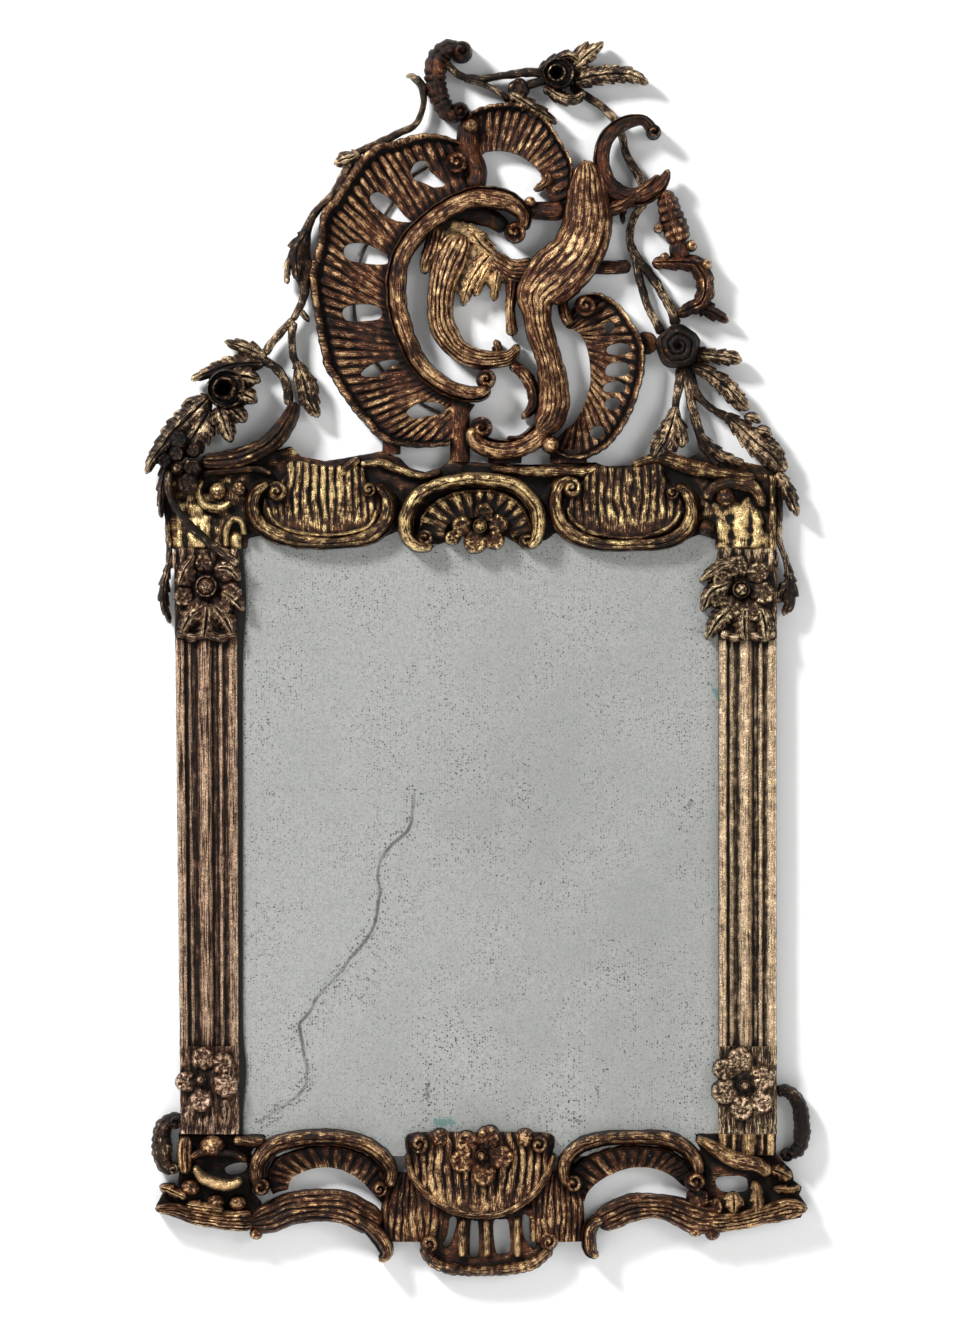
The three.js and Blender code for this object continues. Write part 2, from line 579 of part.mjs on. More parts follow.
function leftStile(grow = 0) {
  const leftPetals = [[-337, -132, 13, 13], [-311, -130, 14, 14], [-298, -112, 13, 11], [-305, -86, 13, 12],
    [-330, -76, 11, 10], [-350, -92, 11, 12], [-354, -116, 10, 12]];
  const deep = { back: 14, front: 46 };
  return stile([-328, 38], [-323, 35], [
    ...flower([-327, -104, 10], leftPetals, { back: 14, front: 52 }, grow),
    leaf([[-340, -66, 5], [-352, -84, 10], [-360, -104, 6]], deep, grow),
    leaf([[-330, -128, 10], [-346, -140, 14], [-356, -160, 6]], deep, grow),
    leaf([[-326, -126, 10], [-326, -146, 15], [-330, -167, 6]], deep, grow),
    leaf([[-318, -126, 10], [-304, -144, 14], [-296, -162, 6]], deep, grow),
    leaf([[-316, -84, 8], [-300, -84, 12], [-286, -98, 4]], deep, grow),
    leaf([[-310, -110, 8], [-294, -120, 11], [-282, -134, 4]], deep, grow),
    ...flower([-334, -693, 7], [[-331, -668, 11, 15], [-351, -696, 11, 12], [-333, -718, 13, 13],
      [-304, -700, 14, 13],
      [-308, -674, 12, 12]], { back: 14, front: 46 }, grow),
    leaf([[-344, -722, 6], [-346, -736, 10], [-346, -750, 7]], { back: 14, front: 38 }, grow),
    leaf([[-304, -716, 6], [-302, -734, 10], [-306, -750, 7]], { back: 14, front: 38 }, grow),
  ], grow);
}

function rightStile(grow = 0) {
  const rightPetals = [[300, -130, 13, 13], [324, -132, 14, 13], [338, -112, 13, 13], [332, -88, 13, 12],
    [308, -80, 12, 12], [290, -96, 12, 12], [286, -118, 12, 11]];
  const deep = { back: 14, front: 46 };
  return stile([320, 35], [320, 35], [
    ...flower([312, -108, 11], rightPetals, { back: 14, front: 52 }, grow),
    leaf([[306, -74, 8], [284, -82, 10], [263, -99, 2]], deep, grow),
    leaf([[300, -100, 10], [276, -112, 12], [266, -134, 3]], deep, grow),
    leaf([[302, -130, 12], [284, -146, 14], [270, -167, 3]], deep, grow),
    leaf([[316, -128, 12], [316, -150, 16], [318, -170, 8]], deep, grow),
    leaf([[334, -128, 10], [340, -148, 13], [342, -170, 8]], deep, grow),
    ...flower([316, -700, 7], [[311, -670, 12, 16], [293, -682, 12, 13], [293, -708, 14, 14],
      [338, -692, 14, 14],
      [313, -727, 14, 13], [337, -720, 13, 13]], { back: 14, front: 48 }, grow),
  ], grow);
}

// The bottom rail: a pierced apron

// One arch of the apron: a C-scroll over a ribbed cove, with a moulded band and a drop below
function apronArch({ scroll, coveOuter, coveInner, lower, drop, eyes, beads }) {
  return [
    band(scroll, { front: 42, section: COVED, stride: 32 }),
    shell(coveOuter, coveInner, { back: 4, low: 18, high: 24, rim: 30, ribs: 7 }),
    band(lower, { front: 36, section: RIDGED }),
    band(drop, { back: 3, front: 42, section: COVED }),
    ...eyes.map(([x, z, radius]) => volute(x, z, radius, { back: 6, front: 45 })),
    ...beads.map(([x, z, radius]) => boss(x, z, radius, { back: 8, front: 32 })),
  ];
}

function leftArch() {
  return apronArch({
    scroll: [[-256, -826, 6], [-266, -812, 10], [-264, -790, 11], [-246, -773, 11], [-215, -765, 10],
      [-175, -764, 10],
      [-142, -770, 10], [-120, -784, 10], [-107, -804, 9], [-112, -822, 7]],
    coveOuter: [[-250, -832], [-254, -806], [-240, -786], [-208, -774], [-170, -773], [-138, -782],
      [-118, -798], [-108, -822],
      [-106, -838]],
    coveInner: [[-230, -826], [-226, -814], [-212, -805], [-192, -800], [-172, -801], [-152, -809],
      [-137, -821],
      [-126, -833], [-117, -843]],
    lower: [[-276, -864, 13], [-252, -860, 19], [-225, -849, 20], [-195, -845, 20], [-165, -847, 20],
      [-138, -859, 19],
      [-118, -868, 16]],
    drop: [[-150, -860, 5], [-132, -872, 9], [-117, -888, 11], [-112, -902, 9], [-121, -911, 3]],
    eyes: [[-120, -824, 10], [-262, -822, 11]],
    beads: [[-268, -878, 8], [-275, -864, 10]],
  });
}

function rightArch() {
  return apronArch({
    scroll: [[114, -824, 6], [103, -810, 9], [104, -790, 10], [122, -773, 10], [150, -765, 10],
      [185, -764, 9],
      [220, -765, 10], [244, -775, 10], [258, -792, 10], [260, -810, 8]],
    coveOuter: [[106, -836], [104, -812], [118, -792], [148, -777], [185, -772], [218, -775],
      [240, -786], [252, -804],
      [252, -824]],
    coveInner: [[125, -840], [131, -827], [146, -814], [164, -805], [183, -800], [202, -800],
      [218, -804], [232, -812],
      [243, -822]],
    lower: [[140, -868, 13], [158, -858, 17], [182, -848, 17], [208, -845, 15], [235, -851, 17],
      [260, -861, 19],
      [292, -862, 14]],
    drop: [[148, -858, 6], [134, -868, 9], [130, -886, 9], [133, -900, 8], [142, -906, 3]],
    eyes: [[111, -818, 11], [257, -815, 13]],
    beads: [[278, -878, 9], [258, -874, 9]],
  });
}

// The bowl with its flower in the middle of the apron, and the pierced basket below it
function apronCentre() {
  const bowl = [[0, -759, 86], [0, -786, 86], [0, -812, 77], [0, -834, 56], [0, -852, 24]];
  const lip = [[-88, -782, 4], [-82, -808, 5], [-62, -832, 5], [-32, -850, 6], [0, -855, 6],
    [34, -850, 6], [62, -832, 5],
    [80, -808, 5], [88, -782, 4]];
  const rim = [[-68, -894, 7], [-58, -911, 8], [-34, -921, 8], [0, -923, 7], [36, -921, 8],
    [64, -913, 8], [86, -896, 7]];
  return [
    band(bowl, { front: 40, section: fluted(6, 0.14) }),
    band(lip, { back: 6, front: 36, section: DOMED }),
    band(rim, { front: 32, section: DOMED }),
    volute(-73, -770, 12, { back: 8, front: 50 }),
    volute(70, -771, 11, { back: 8, front: 48 }),
    volute(-61, -890, 11, { back: 8, front: 36 }),
    boss(82, -888, 11, { back: 8, front: 34 }),
    boss(-48, -764, 12, { back: 8, front: 40 }),
    boss(54, -764, 12, { back: 8, front: 40 }),
    ...flower([0, -783, 7], [[11, -765, 12, 13], [-17, -787, 13, 10], [23, -783, 15, 11], [6, -803, 12, 11],
      [-12, -769, 10, 9]], { back: 12 }),
    ...[[-80, 38], [92, 32]].map(([x, half]) => band([[x, -806, half * 0.6], [x, -842, half],
      [x, -888, half]],
      { back: 4, front: 27, section: fluted(3, 0.24) })),
  ];
}

function basket() {
  const outline = [[-70, -893], [-62, -910], [-38, -924], [25, -925], [62, -916], [88, -898],
    [84, -862], [60, -846],
    [-42, -846], [-62, -862]];
  const through = { back: -2, front: 60 };
  const holes = [
    [[-36, -861], [-28, -861], [-31, -880], [-38, -895], [-45, -893], [-39, -880]],
    [[-11, -866], [-2, -866], [-2, -906], [-12, -906]],
    [[16, -864], [34, -862], [36, -902], [19, -904]],
    [[51, -859], [58, -858], [67, -888], [64, -898], [53, -884]],
  ];
  return holes.reduce((whole, hole) => whole.subtract(plate(hole, through)), plate(outline,
    { front: apronDepth }));
}

// The left lower corner: a leafy block with a hollow and a curled lip
function leftCorner() {
  const outline = [[-361, -759], [-252, -759], [-268, -775], [-276, -796], [-273, -830], [-262, -842],
    [-262, -870],
    [-285, -876], [-330, -871], [-352, -864], [-370, -855], [-386, -854], [-388, -846], [-380, -830],
      [-362, -822], [-360, -800]];
  const hollow = [[-306, -801], [-298, -796], [-280, -794], [-281, -804], [-292, -809], [-303, -808]];
  return [
    plate(outline, { front: 20 }).subtract(plate(hollow, { back: -2, front: 30 })),
    band([[-342, -796, 5], [-332, -811, 7], [-313, -819, 7], [-295, -819, 6], [-284, -811, 4]],
      { back: 8, front: 40, section: DOMED }),
    band([[-352, -761, 8], [-353, -784, 10], [-351, -808, 8]], { back: 8, front: 36, section: DOMED }),
    band([[-296, -766, 6], [-274, -768, 8], [-256, -770, 8]], { back: 8, front: 34, section: DOMED }),
    boss(-320, -775, 13, { back: 8, front: 42 }),
    boss(-316, -840, 9, { back: 8, front: 36 }),
    boss(-290, -842, 9, { back: 8, front: 34 }),
    boss(-346, -823, 10, { back: 8, front: 34 }),
    leaf([[-384, -822, 5], [-370, -826, 9], [-350, -836, 8]], { front: 40 }),
    band([[-389, -849, 4], [-366, -850, 9], [-334, -858, 12], [-300, -862, 13], [-270, -862, 14]],
      { front: 38, section: RIDGED }),
  ];
}

// The right lower corner: leaves round a small opening
function rightCorner() {
  const outline = [[256, -759], [355, -759], [354, -784], [374, -804], [376, -816], [386, -824],
    [382, -832],
    [392, -846], [384, -860], [350, -865], [312, -873], [268, -878], [250, -858], [256, -826],
      [270, -806], [262, -778]];
  const opening = [[282, -813], [300, -810], [316, -811], [321, -818], [318, -829], [290, -829]];
  return [
    plate(outline, { front: 20 }).subtract(plate(opening, { back: -2, front: 30 })),
    band([[319, -759, 34], [319, -784, 34]], { front: stileDepth, section: SHAFT }),
    band([[258, -764, 5], [280, -776, 9], [306, -790, 11], [334, -796, 10], [348, -808, 8]],
      { back: 8, front: 38, section: DOMED }),
    leaf([[304, -828, 13], [304, -842, 14], [303, -856, 7]], { back: 8, front: 34 }),
    leaf([[328, -814, 5], [332, -836, 10], [332, -860, 7]], { back: 8, front: 38 }),
    leaf([[346, -800, 6], [360, -806, 12], [374, -812, 6]], { front: 42 }),
    leaf([[350, -824, 5], [366, -826, 8], [384, -824, 3]], { front: 36 }),
    boss(262, -836, 14, { back: 8, front: 34 }),
    boss(280, -846, 12, { back: 8, front: 32 }),
    band([[272, -864, 12], [300, -864, 12], [340, -856, 12], [370, -848, 14], [392, -848, 5]],
      { front: 38, section: RIDGED }),
  ];
}

function bottomRail() {
  return join([
    basket(),
    ...apronCentre(),
    ...leftArch(),
    ...rightArch(),
    ...leftCorner(),
    ...rightCorner(),
  ]);
}

// The C-scroll ears that stand out at the foot of the stiles

// Each ear is sawn to the straight edge of the stile and of the corner below it
function sawn(ear, edge) {
  return ear.subtract(plate(edge, { back: -1, front: reliefDepth + 10 }));
}

function leftEar() {
  const edge = [[-359.1, -700], [-300, -700], [-300, -830], [-363.6, -830], [-363.6, -758], [-359.1, -758]];
  return sawn(join([
    band([[-354, -744, 8], [-368, -742, 9], [-380, -754, 12], [-381, -776, 13], [-377, -796, 11],
      [-364, -806, 8]],
      { back: 2, front: 28, section: DOMED, stride: 14 }),
    volute(-364, -744, 10, { back: 2, front: 32 }),
    volute(-366, -801, 8, { back: 2, front: 32 }),
  ]), edge);
}

function rightEar() {
  const edge = [[300, -690], [355.4, -690], [355.4, -784], [380, -807.6], [380, -830], [300, -830]];
  return sawn(join([
    band([[352, -710, 9], [368, -709, 9], [381, -722, 10], [386, -748, 10], [383, -774, 10],
      [370, -786, 8]],
      { back: 2, front: 28, section: DOMED, stride: 14 }),
    volute(367, -785, 9, { back: 2, front: 32 }),
  ]), edge);
}

// The garlands: dark stems, leaves, buds and roses laid on the frame

const STEM = { back: 12, front: 24, section: LEAF, stride: 38 };

function stem(rows, depths = {}) {
  return band(rows, { ...STEM, ...depths });
}

// A rose: a turned cup with a hollow heart
function rose(x, z, radius, depths) {
  const profile = [[0, 0], [0.9, 0], [1, 0.6], [0.8, 1], [0.4, 0.8], [0.3, 1], [0, 0.7]];
  return boss(x, z, radius, { profile, sides: 9, ...depths });
}

function leftGarland() {
  const high = { back: 18, front: 52 };
  const blade = { back: 12, front: 28 };
  return join([
    stem([[-82, 506, 4], [-70, 496, 5], [-68, 474, 4], [-76, 450, 4], [-96, 440, 5], [-120, 427, 5],
      [-148, 414, 5],
      [-160, 394, 6], [-176, 366, 5], [-196, 346, 5], [-206, 328, 6], [-214, 304, 10], [-214, 280, 14],
        [-211, 258, 8],
      [-213, 236, 5], [-224, 214, 5]]),
    leaf([[-70, 498, 6], [-80, 507, 5], [-89, 507, 2]], blade),
    leaf([[-142, 412, 6], [-160, 407, 12], [-175, 402, 5]], { back: 12, front: 32 }),
    leaf([[-220, 300, 5], [-230, 280, 4], [-230, 258, 4]], blade),
    stem([[-214, 228, 4], [-209, 220, 4], [-204, 213, 3]]),
    stem([[-222, 216, 5], [-236, 202, 5], [-248, 188, 5], [-258, 174, 6]]),
    stem([[-224, 214, 5], [-226, 194, 5], [-223, 170, 5], [-216, 156, 7]]),
    leaf([[-220, 164, 6], [-210, 140, 15], [-204, 118, 14], [-196, 98, 5]], { back: 12, front: 34 }),
    leaf([[-256, 168, 8], [-280, 182, 12], [-306, 190, 3]], blade),
    leaf([[-258, 164, 8], [-300, 160, 12], [-346, 143, 4]], blade),
    stem([[-262, 168, 6], [-244, 158, 6], [-232, 140, 6], [-228, 112, 6]]),
    rose(-304, 130, 26, { back: 16, front: 58 }),
    leaf([[-300, 150, 10], [-278, 146, 14], [-262, 142, 4]], high),
    leaf([[-296, 128, 14], [-276, 122, 12], [-267, 116, 5]], high),
    leaf([[-300, 110, 14], [-286, 98, 12], [-281, 92, 5]], high),
    leaf([[-312, 112, 18], [-304, 86, 14], [-298, 68, 5]], high),
    leaf([[-322, 122, 14], [-348, 98, 18], [-372, 72, 12], [-399, 30, 2]], { back: 16, front: 48 }),
    leaf([[-330, 116, 8], [-346, 116, 6], [-356, 111, 2]], { back: 16, front: 40 }),
    leaf([[-322, 108, 18], [-340, 78, 22], [-356, 52, 18]], { back: 16, front: 44 }),
    ...[[-362, 70, 13], [-360, 54, 9], [-364, 38, 8], [-345, 38, 11],
      [-357, 20, 13]].map(([x, z, radius]) => boss(
      x,
      z,
      radius,
      { back: 16, front: 56, profile: PETAL },
    )),
    leaf([[-368, 50, 12], [-378, 26, 9], [-381, 0, 7], [-381, -22, 2]], { back: 16, front: 46 }),
    stem([[-370, 34, 6], [-372, 8, 5], [-358, -18, 5], [-332, -45, 6], [-304, -66, 6],
      [-288, -78, 5]], { back: 37.4, front: 50 }),
    stem([[-374, 8, 5], [-374, -24, 4], [-372, -56, 4], [-372, -84, 5]], { back: 14, front: 28 }),
    leaf([[-372, -78, 4], [-377, -104, 8], [-377, -126, 7], [-370, -148, 2]], { back: 10, front: 28 }),
  ]);
}

function topGarland() {
  return join([
    stem([[-44, 526, 5], [-24, 508, 5], [0, 504, 5], [30, 508, 5], [60, 512, 6], [84, 510, 7]]),
    stem([[-20, 505, 4], [4, 498, 4], [24, 488, 4], [36, 478, 5]]),
    boss(45, 491, 12, { back: 10, front: 34 }),
    leaf([[34, 486, 8], [56, 472, 11], [76, 460, 9], [92, 450, 3]], { back: 10, front: 34 }),
    stem([[54, 496, 5], [70, 500, 6], [84, 504, 6]]),
    rose(96, 506, 19, { back: 10, front: 46 }),
    leaf([[70, 512, 6], [88, 524, 9], [108, 530, 9], [120, 520, 6]], { back: 10, front: 34 }),
    leaf([[76, 494, 6], [94, 482, 9], [112, 478, 8], [126, 488, 5]], { back: 10, front: 34 }),
    leaf([[108, 514, 10], [126, 530, 12], [148, 548, 3]], { back: 10, front: 32 }),
    leaf([[112, 500, 14], [150, 508, 13], [178, 508, 11], [202, 499, 4]], { back: 10, front: 32 }),
    leaf([[106, 520, 8], [118, 534, 8], [130, 549, 3]], { back: 10, front: 28 }),
    stem([[108, 496, 6], [136, 479, 5], [156, 463, 5], [168, 440, 5], [176, 414, 5], [188, 392, 6],
      [200, 368, 7]],
      { back: crestBack, front: crestBack + 10.5 }),
  ]);
}

function rightGarland() {
  const leafy = { back: 12, front: 34 };
  return join([
    stem([[199, 358, 6], [185, 338, 5], [180, 314, 5], [186, 294, 6], [202, 274, 6], [216, 252, 6],
      [228, 230, 6],
      [236, 208, 7]], { back: crestBack, front: crestBack + 10.5 }),
    stem([[187, 292, 5], [190, 268, 5], [197, 244, 5], [208, 218, 5],
      [218, 198, 6]], { back: crestBack, front: crestBack + 10.5 }),
    rose(237, 183, 26, { back: crestBack, front: 50 }),
    leaf([[256, 176, 10], [282, 172, 10], [300, 170, 11], [314, 166, 5]], leafy),
    leaf([[252, 162, 10], [272, 152, 10], [296, 134, 13], [312, 116, 11], [322, 108, 5]], leafy),
    stem([[246, 162, 10], [252, 140, 8], [262, 122, 5], [282, 106, 5], [302, 96, 6]]),
    leaf([[292, 102, 6], [312, 86, 13], [334, 66, 18], [352, 50, 16], [366, 34, 8]], leafy),
    ...[[316, 100, 336, 92], [330, 84, 350, 78], [344, 66, 359, 58]].map(([x, z, tipX, tipZ]) => leaf(
      [[x, z, 9], [(x + tipX) / 2, (z + tipZ) / 2 + 2, 7], [tipX, tipZ, 2]],
      leafy,
    )),
    stem([[248, 156, 7], [252, 124, 6], [258, 96, 6], [268, 66, 6], [284, 40, 5]]),
    leaf([[264, 80, 4], [278, 62, 8], [296, 50, 8], [316, 44, 4]], leafy),
    stem([[243, 160, 8], [238, 136, 6], [234, 112, 5], [233, 96, 8]]),
    leaf([[234, 112, 5], [228, 88, 14], [220, 66, 18], [206, 48, 10]], { back: 12, front: 38 }),
    leaf([[236, 100, 6], [240, 82, 10], [242, 62, 6]], { back: 12, front: 38 }),
    leaf([[356, 34, 8], [364, 20, 9], [376, 4, 6]], { back: 12, front: 36 }),
    leaf([[358, 26, 6], [370, 4, 11], [380, -20, 3]], { back: 12, front: 36 }),
    stem([[358, 24, 5], [359, -10, 4], [358, -46, 4], [366, -72, 4],
      [371, -94, 7]], { back: 12, front: 26 }),
    leaf([[369, -82, 4], [371, -106, 10], [369, -124, 8], [364, -139, 3]], { back: 10, front: 28 }),
    leaf([[368, -98, 7], [360, -112, 8], [357, -124, 5]], { back: 10, front: 26 }),
  ]);
}

// The glass and the board behind it lie in a rebate, with the clearance all round

const glassFront = boardSetback + boardThickness + jointGap + glassThickness;

function rebatePlate(back, front, grow = 0) {
  const [left, right] = [drawn.left - rebateLap - grow, drawn.right + rebateLap + grow];
  const [foot, top] = [drawn.apronTop - railLap - grow, drawn.railFoot + railLap + grow];
  return plate([[left, foot], [right, foot], [right, top], [left, top]], { back, front });
}

// Moves a solid's corners from the drawing to the frame's sizes and names it as one piece
function piece(name, solid, colour, roughness, metalness) {
  const mesh = solid.getMesh();
  const corners = Float32Array.from(mesh.vertProperties);
  for (let i = 0; i < corners.length; i += 3) {
    corners[i] = fitX(corners[i]);
    corners[i + 2] = fitZ(corners[i + 2]);
  }
  const geometry = new THREE.BufferGeometry();
  geometry.setAttribute('position', new THREE.BufferAttribute(corners, 3));
  geometry.setIndex(new THREE.BufferAttribute(Uint32Array.from(mesh.triVerts), 1));
  geometry.computeVertexNormals();
  const part = new THREE.Mesh(geometry, new THREE.MeshStandardMaterial({ color: colour, roughness,
    metalness }));
  part.name = name;
  return part;
}

const rebate = rebatePlate(-5, glassFront + jointGap, jointGap);
const topRailWhole = topRail().subtract(rebate);
const crestWhole = crest().subtract(railBoard(jointGap));
const crestCutter = crest(jointGap);
const railCutter = topRail(jointGap);
const leftStileWhole = leftStile().subtract(rebate);
const rightStileWhole = rightStile().subtract(rebate);
const bottomRailWhole = bottomRail().subtract(rebate);
const garlandCutter = crestCutter.add(railCutter);

const frame = new THREE.Group();
frame.add(
  piece('crest', crestWhole, 0x5c3b22, 0.5, 0.4),
  piece('crest_wire', crestWire(), 0x1d1a18, 0.6, 0.7),
  piece('top_rail', topRailWhole, 0x6b4a28, 0.45, 0.5),
  piece('left_stile', leftStileWhole, 0x7a5c48, 0.45, 0.5),
  piece('right_stile', rightStileWhole, 0x8a6a4c, 0.4, 0.5),
  piece('bottom_rail', bottomRailWhole, 0x4a3220, 0.5, 0.4),
  piece('left_ear', leftEar(), 0x2e2119, 0.55, 0.3),
  piece('right_ear', rightEar(), 0x2e2119, 0.55, 0.3),
  piece('left_garland', leftGarland().subtract(garlandCutter).subtract(leftStile(jointGap)), 0x33261c,
    0.5, 0.3),
  piece('top_garland', topGarland().subtract(garlandCutter), 0x2b2019, 0.5, 0.3),
  piece('right_garland', rightGarland().subtract(garlandCutter).subtract(rightStile(jointGap)), 0x3c2c20,
    0.5, 0.3),
  piece('mirror_plate', rebatePlate(glassFront - glassThickness, glassFront), 0xb4bab7, 0.08, 1),
  piece('backboard', rebatePlate(boardSetback, boardSetback + boardThickness), 0x6d5336, 0.8, 0),
);

export default frame;
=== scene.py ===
"""Rococo wall mirror: carved and gilded frame, old mirror glass, hung on a pale wall.

Every node but the backboard is replaced by a finer mesh in the same place. Carving points are millimetres
across (x) and up (z); depths are millimetres forward from the wall.
"""
from __future__ import annotations

import json
import logging
import math
from dataclasses import dataclass, field
from enum import Enum
from typing import Iterable, Sequence

import bpy
import numpy as np
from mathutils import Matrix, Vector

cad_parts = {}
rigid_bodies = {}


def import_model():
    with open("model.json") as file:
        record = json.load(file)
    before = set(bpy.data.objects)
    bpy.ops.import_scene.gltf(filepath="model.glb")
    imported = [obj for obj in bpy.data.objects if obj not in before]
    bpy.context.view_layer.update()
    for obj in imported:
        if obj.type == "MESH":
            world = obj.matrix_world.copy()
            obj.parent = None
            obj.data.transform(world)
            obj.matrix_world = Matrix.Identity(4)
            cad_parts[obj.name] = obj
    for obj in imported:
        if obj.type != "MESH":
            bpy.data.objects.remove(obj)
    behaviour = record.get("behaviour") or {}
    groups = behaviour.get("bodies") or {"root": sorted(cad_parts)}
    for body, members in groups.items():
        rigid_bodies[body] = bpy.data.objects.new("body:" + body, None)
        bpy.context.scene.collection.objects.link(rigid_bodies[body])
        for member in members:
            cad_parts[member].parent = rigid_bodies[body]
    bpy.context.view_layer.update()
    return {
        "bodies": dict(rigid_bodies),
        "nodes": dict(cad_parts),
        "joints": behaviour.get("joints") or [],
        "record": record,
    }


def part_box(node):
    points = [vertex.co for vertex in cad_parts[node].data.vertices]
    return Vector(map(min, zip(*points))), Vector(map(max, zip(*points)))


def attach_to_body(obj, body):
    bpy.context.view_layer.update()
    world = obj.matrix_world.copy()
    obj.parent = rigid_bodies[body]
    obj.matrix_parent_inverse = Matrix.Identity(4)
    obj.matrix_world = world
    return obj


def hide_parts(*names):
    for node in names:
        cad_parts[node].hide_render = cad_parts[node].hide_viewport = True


LOG = logging.getLogger("mirror")
MM = 0.001
FAR_AWAY = 1e9
# Relief value of the sides and backs, kept low so that the finish paints them darker as painted shade, and
# the height differences in millimetres that fill the relief range
SIDE_SHADE_RELIEF = 0.12
BAND_SPAN, SHEET_SPAN, BOSS_SPAN = 4.6, 4.2, 2.2
# Mesh spacing across a band, and how near an outline a corner of the rim is to be drawn onto it
COLUMN = 1.2
OUTLINE_REACH = 3.4
# Steps, in the grain pattern, from one carved form to the next
FLOW_SHIFT = np.array([3.7, 1.3])
# Angles in degrees from which an edge stays sharp
WOOD_CREASE, GLASS_CREASE = 58, 40
# Small knocks in the carving: their depth, and how many come in a metre
KNOCKS = {"Depth": 1.6 * MM, "Size": 130.0, "Fine Size": 330.0}
# The knocks spare everything nearer the wall than this
FLAT_BACK = 9 * MM
# Places across the moulded shaft of a stile, and the heights there
SHAFT_PLACES = (
    -1, -0.97, -0.93, -0.88, -0.74, -0.71, -0.68, -0.6, -0.56, -0.52, -0.49, -0.36, -0.3, -0.22, -0.12, 0,
    0.05, 0.09, 0.13, 0.18, 0.36, 0.42, 0.48, 0.52, 0.56, 0.66, 0.72, 0.76, 0.88, 0.93, 0.96, 1)
SHAFT_HEIGHTS = (
    0.66, 0.88, 0.92, 0.9, 0.91, 0.82, 0.78, 0.79, 0.88, 0.88, 0.8, 0.77, 0.82, 0.92, 0.98, 1, 0.93, 0.98,
    0.9, 0.8, 0.77, 0.86, 0.87, 0.79, 0.77, 0.8, 0.88, 0.91, 0.9, 0.84, 0.88, 0.66)

Row = Sequence[float]
Rows = Sequence[Row]
Colour = tuple[float, float, float, float]
Socket = bpy.types.NodeSocket


class Section(Enum):
    """The profile across a carved band."""

    ROUND = "round"
    ROLL = "roll"
    COVED = "coved"
    REEDED = "reeded"
    LEAF = "leaf"
    SHAFT = "shaft"
    GROUND = "ground"


class Turned(Enum):
    """The relief of a round carved form."""

    KNOB = "knob"
    SPIRAL = "spiral"
    PETAL = "petal"
    BUTTON = "button"
    CUP = "cup"
    ROSE = "rose"


def bell(value: np.ndarray, middle: float, width: float | np.ndarray, power: int = 2) -> np.ndarray:
    """Gives a soft hump of height 1 round a middle; a higher power flattens its top."""
    return np.exp(-(((value - middle) / width) ** power))


def rounded(value: np.ndarray) -> np.ndarray:
    """Gives the height of a quarter round, from 1 at 0 down to 0 at 1."""
    return np.sqrt(np.clip(1 - value, 0, 1))


def wobble(u: np.ndarray, v: np.ndarray | float, seed: int = 0) -> np.ndarray:
    """Gives a smooth hand-made unevenness.

    Args:
        u: First coordinate; a swelling is about one unit long.
        v: Second coordinate, or one number for a line.
        seed: Picks the pattern.

    Returns:
        Values between about -1 and 1.
    """
    cells = 64
    lattice = np.random.RandomState(seed % 9973).uniform(-1, 1, (cells, cells))
    total = np.zeros(np.broadcast(u, v).shape)
    for scale, share in ((1.0, 0.75), (2.17, 0.45)):
        x, y = np.broadcast_arrays(np.asarray(u) * scale + 31.7, np.asarray(v) * scale + 12.9)
        low_x, low_y = np.floor(x).astype(int), np.floor(y).astype(int)
        fx, fy = x - low_x, y - low_y
        fx, fy = fx * fx * (3 - 2 * fx), fy * fy * (3 - 2 * fy)
        corner = [[lattice[(low_x + i) % cells, (low_y + k) % cells] for k in (0, 1)] for i in (0, 1)]
        near = corner[0][0] * (1 - fy) + corner[0][1] * fy
        far = corner[1][0] * (1 - fy) + corner[1][1] * fy
        total = total + share * (near * (1 - fx) + far * fx)
    return total


def catmull(points: np.ndarray, closed: bool, dense: int = 24) -> np.ndarray:
    """Runs a smooth curve through control rows.

    Args:
        points: Control rows, one point and its values a row.
        closed: Whether the curve returns to its start.
        dense: Samples between two control rows.

    Returns:
        The samples, one a row.
    """
    count = len(points)
    spans = count if closed else count - 1
    at = np.linspace(0, spans, spans * dense + 1)
    low = np.minimum(at.astype(int), spans - 1)
    t = (at - low)[:, None]
    if closed:
        p0, p1, p2, p3 = (points[(low + k) % count] for k in (-1, 0, 1, 2))
    else:
        p0, p1, p2, p3 = (points[np.clip(low + k, 0, count - 1)] for k in (-1, 0, 1, 2))
    v0, v1 = (p2 - p0) / 2, (p3 - p1) / 2
    cubic = (2 * p1 - 2 * p2 + v0 + v1) * t**3 + (-3 * p1 + 3 * p2 - 2 * v0 - v1) * t**2
    return cubic + v0 * t + p1


def spaced(samples: np.ndarray, step: float) -> tuple[np.ndarray, np.ndarray]:
    """Spaces the samples of a curve evenly.

    Args:
        samples: Curve samples whose first two values are x and z.
        step: Wanted spacing in millimetres.

    Returns:
        The evenly spaced samples and their distance along the curve.
    """
    lengths = np.hypot(*np.diff(samples[:, :2], axis=0).T)
    along = np.concatenate([[0], np.cumsum(lengths)])
    count = max(3, int(round(along[-1] / step)) + 1)
    places = np.linspace(0, along[-1], count)
    return np.stack([np.interp(places, along, column) for column in samples.T], axis=1), places


def resampled(line: np.ndarray, places: np.ndarray) -> np.ndarray:
    """Reads a curve at places from 0 to 1 along its samples."""
    own = np.linspace(0, 1, len(line))
    return np.stack([np.interp(places, own, column) for column in line.T], axis=1)


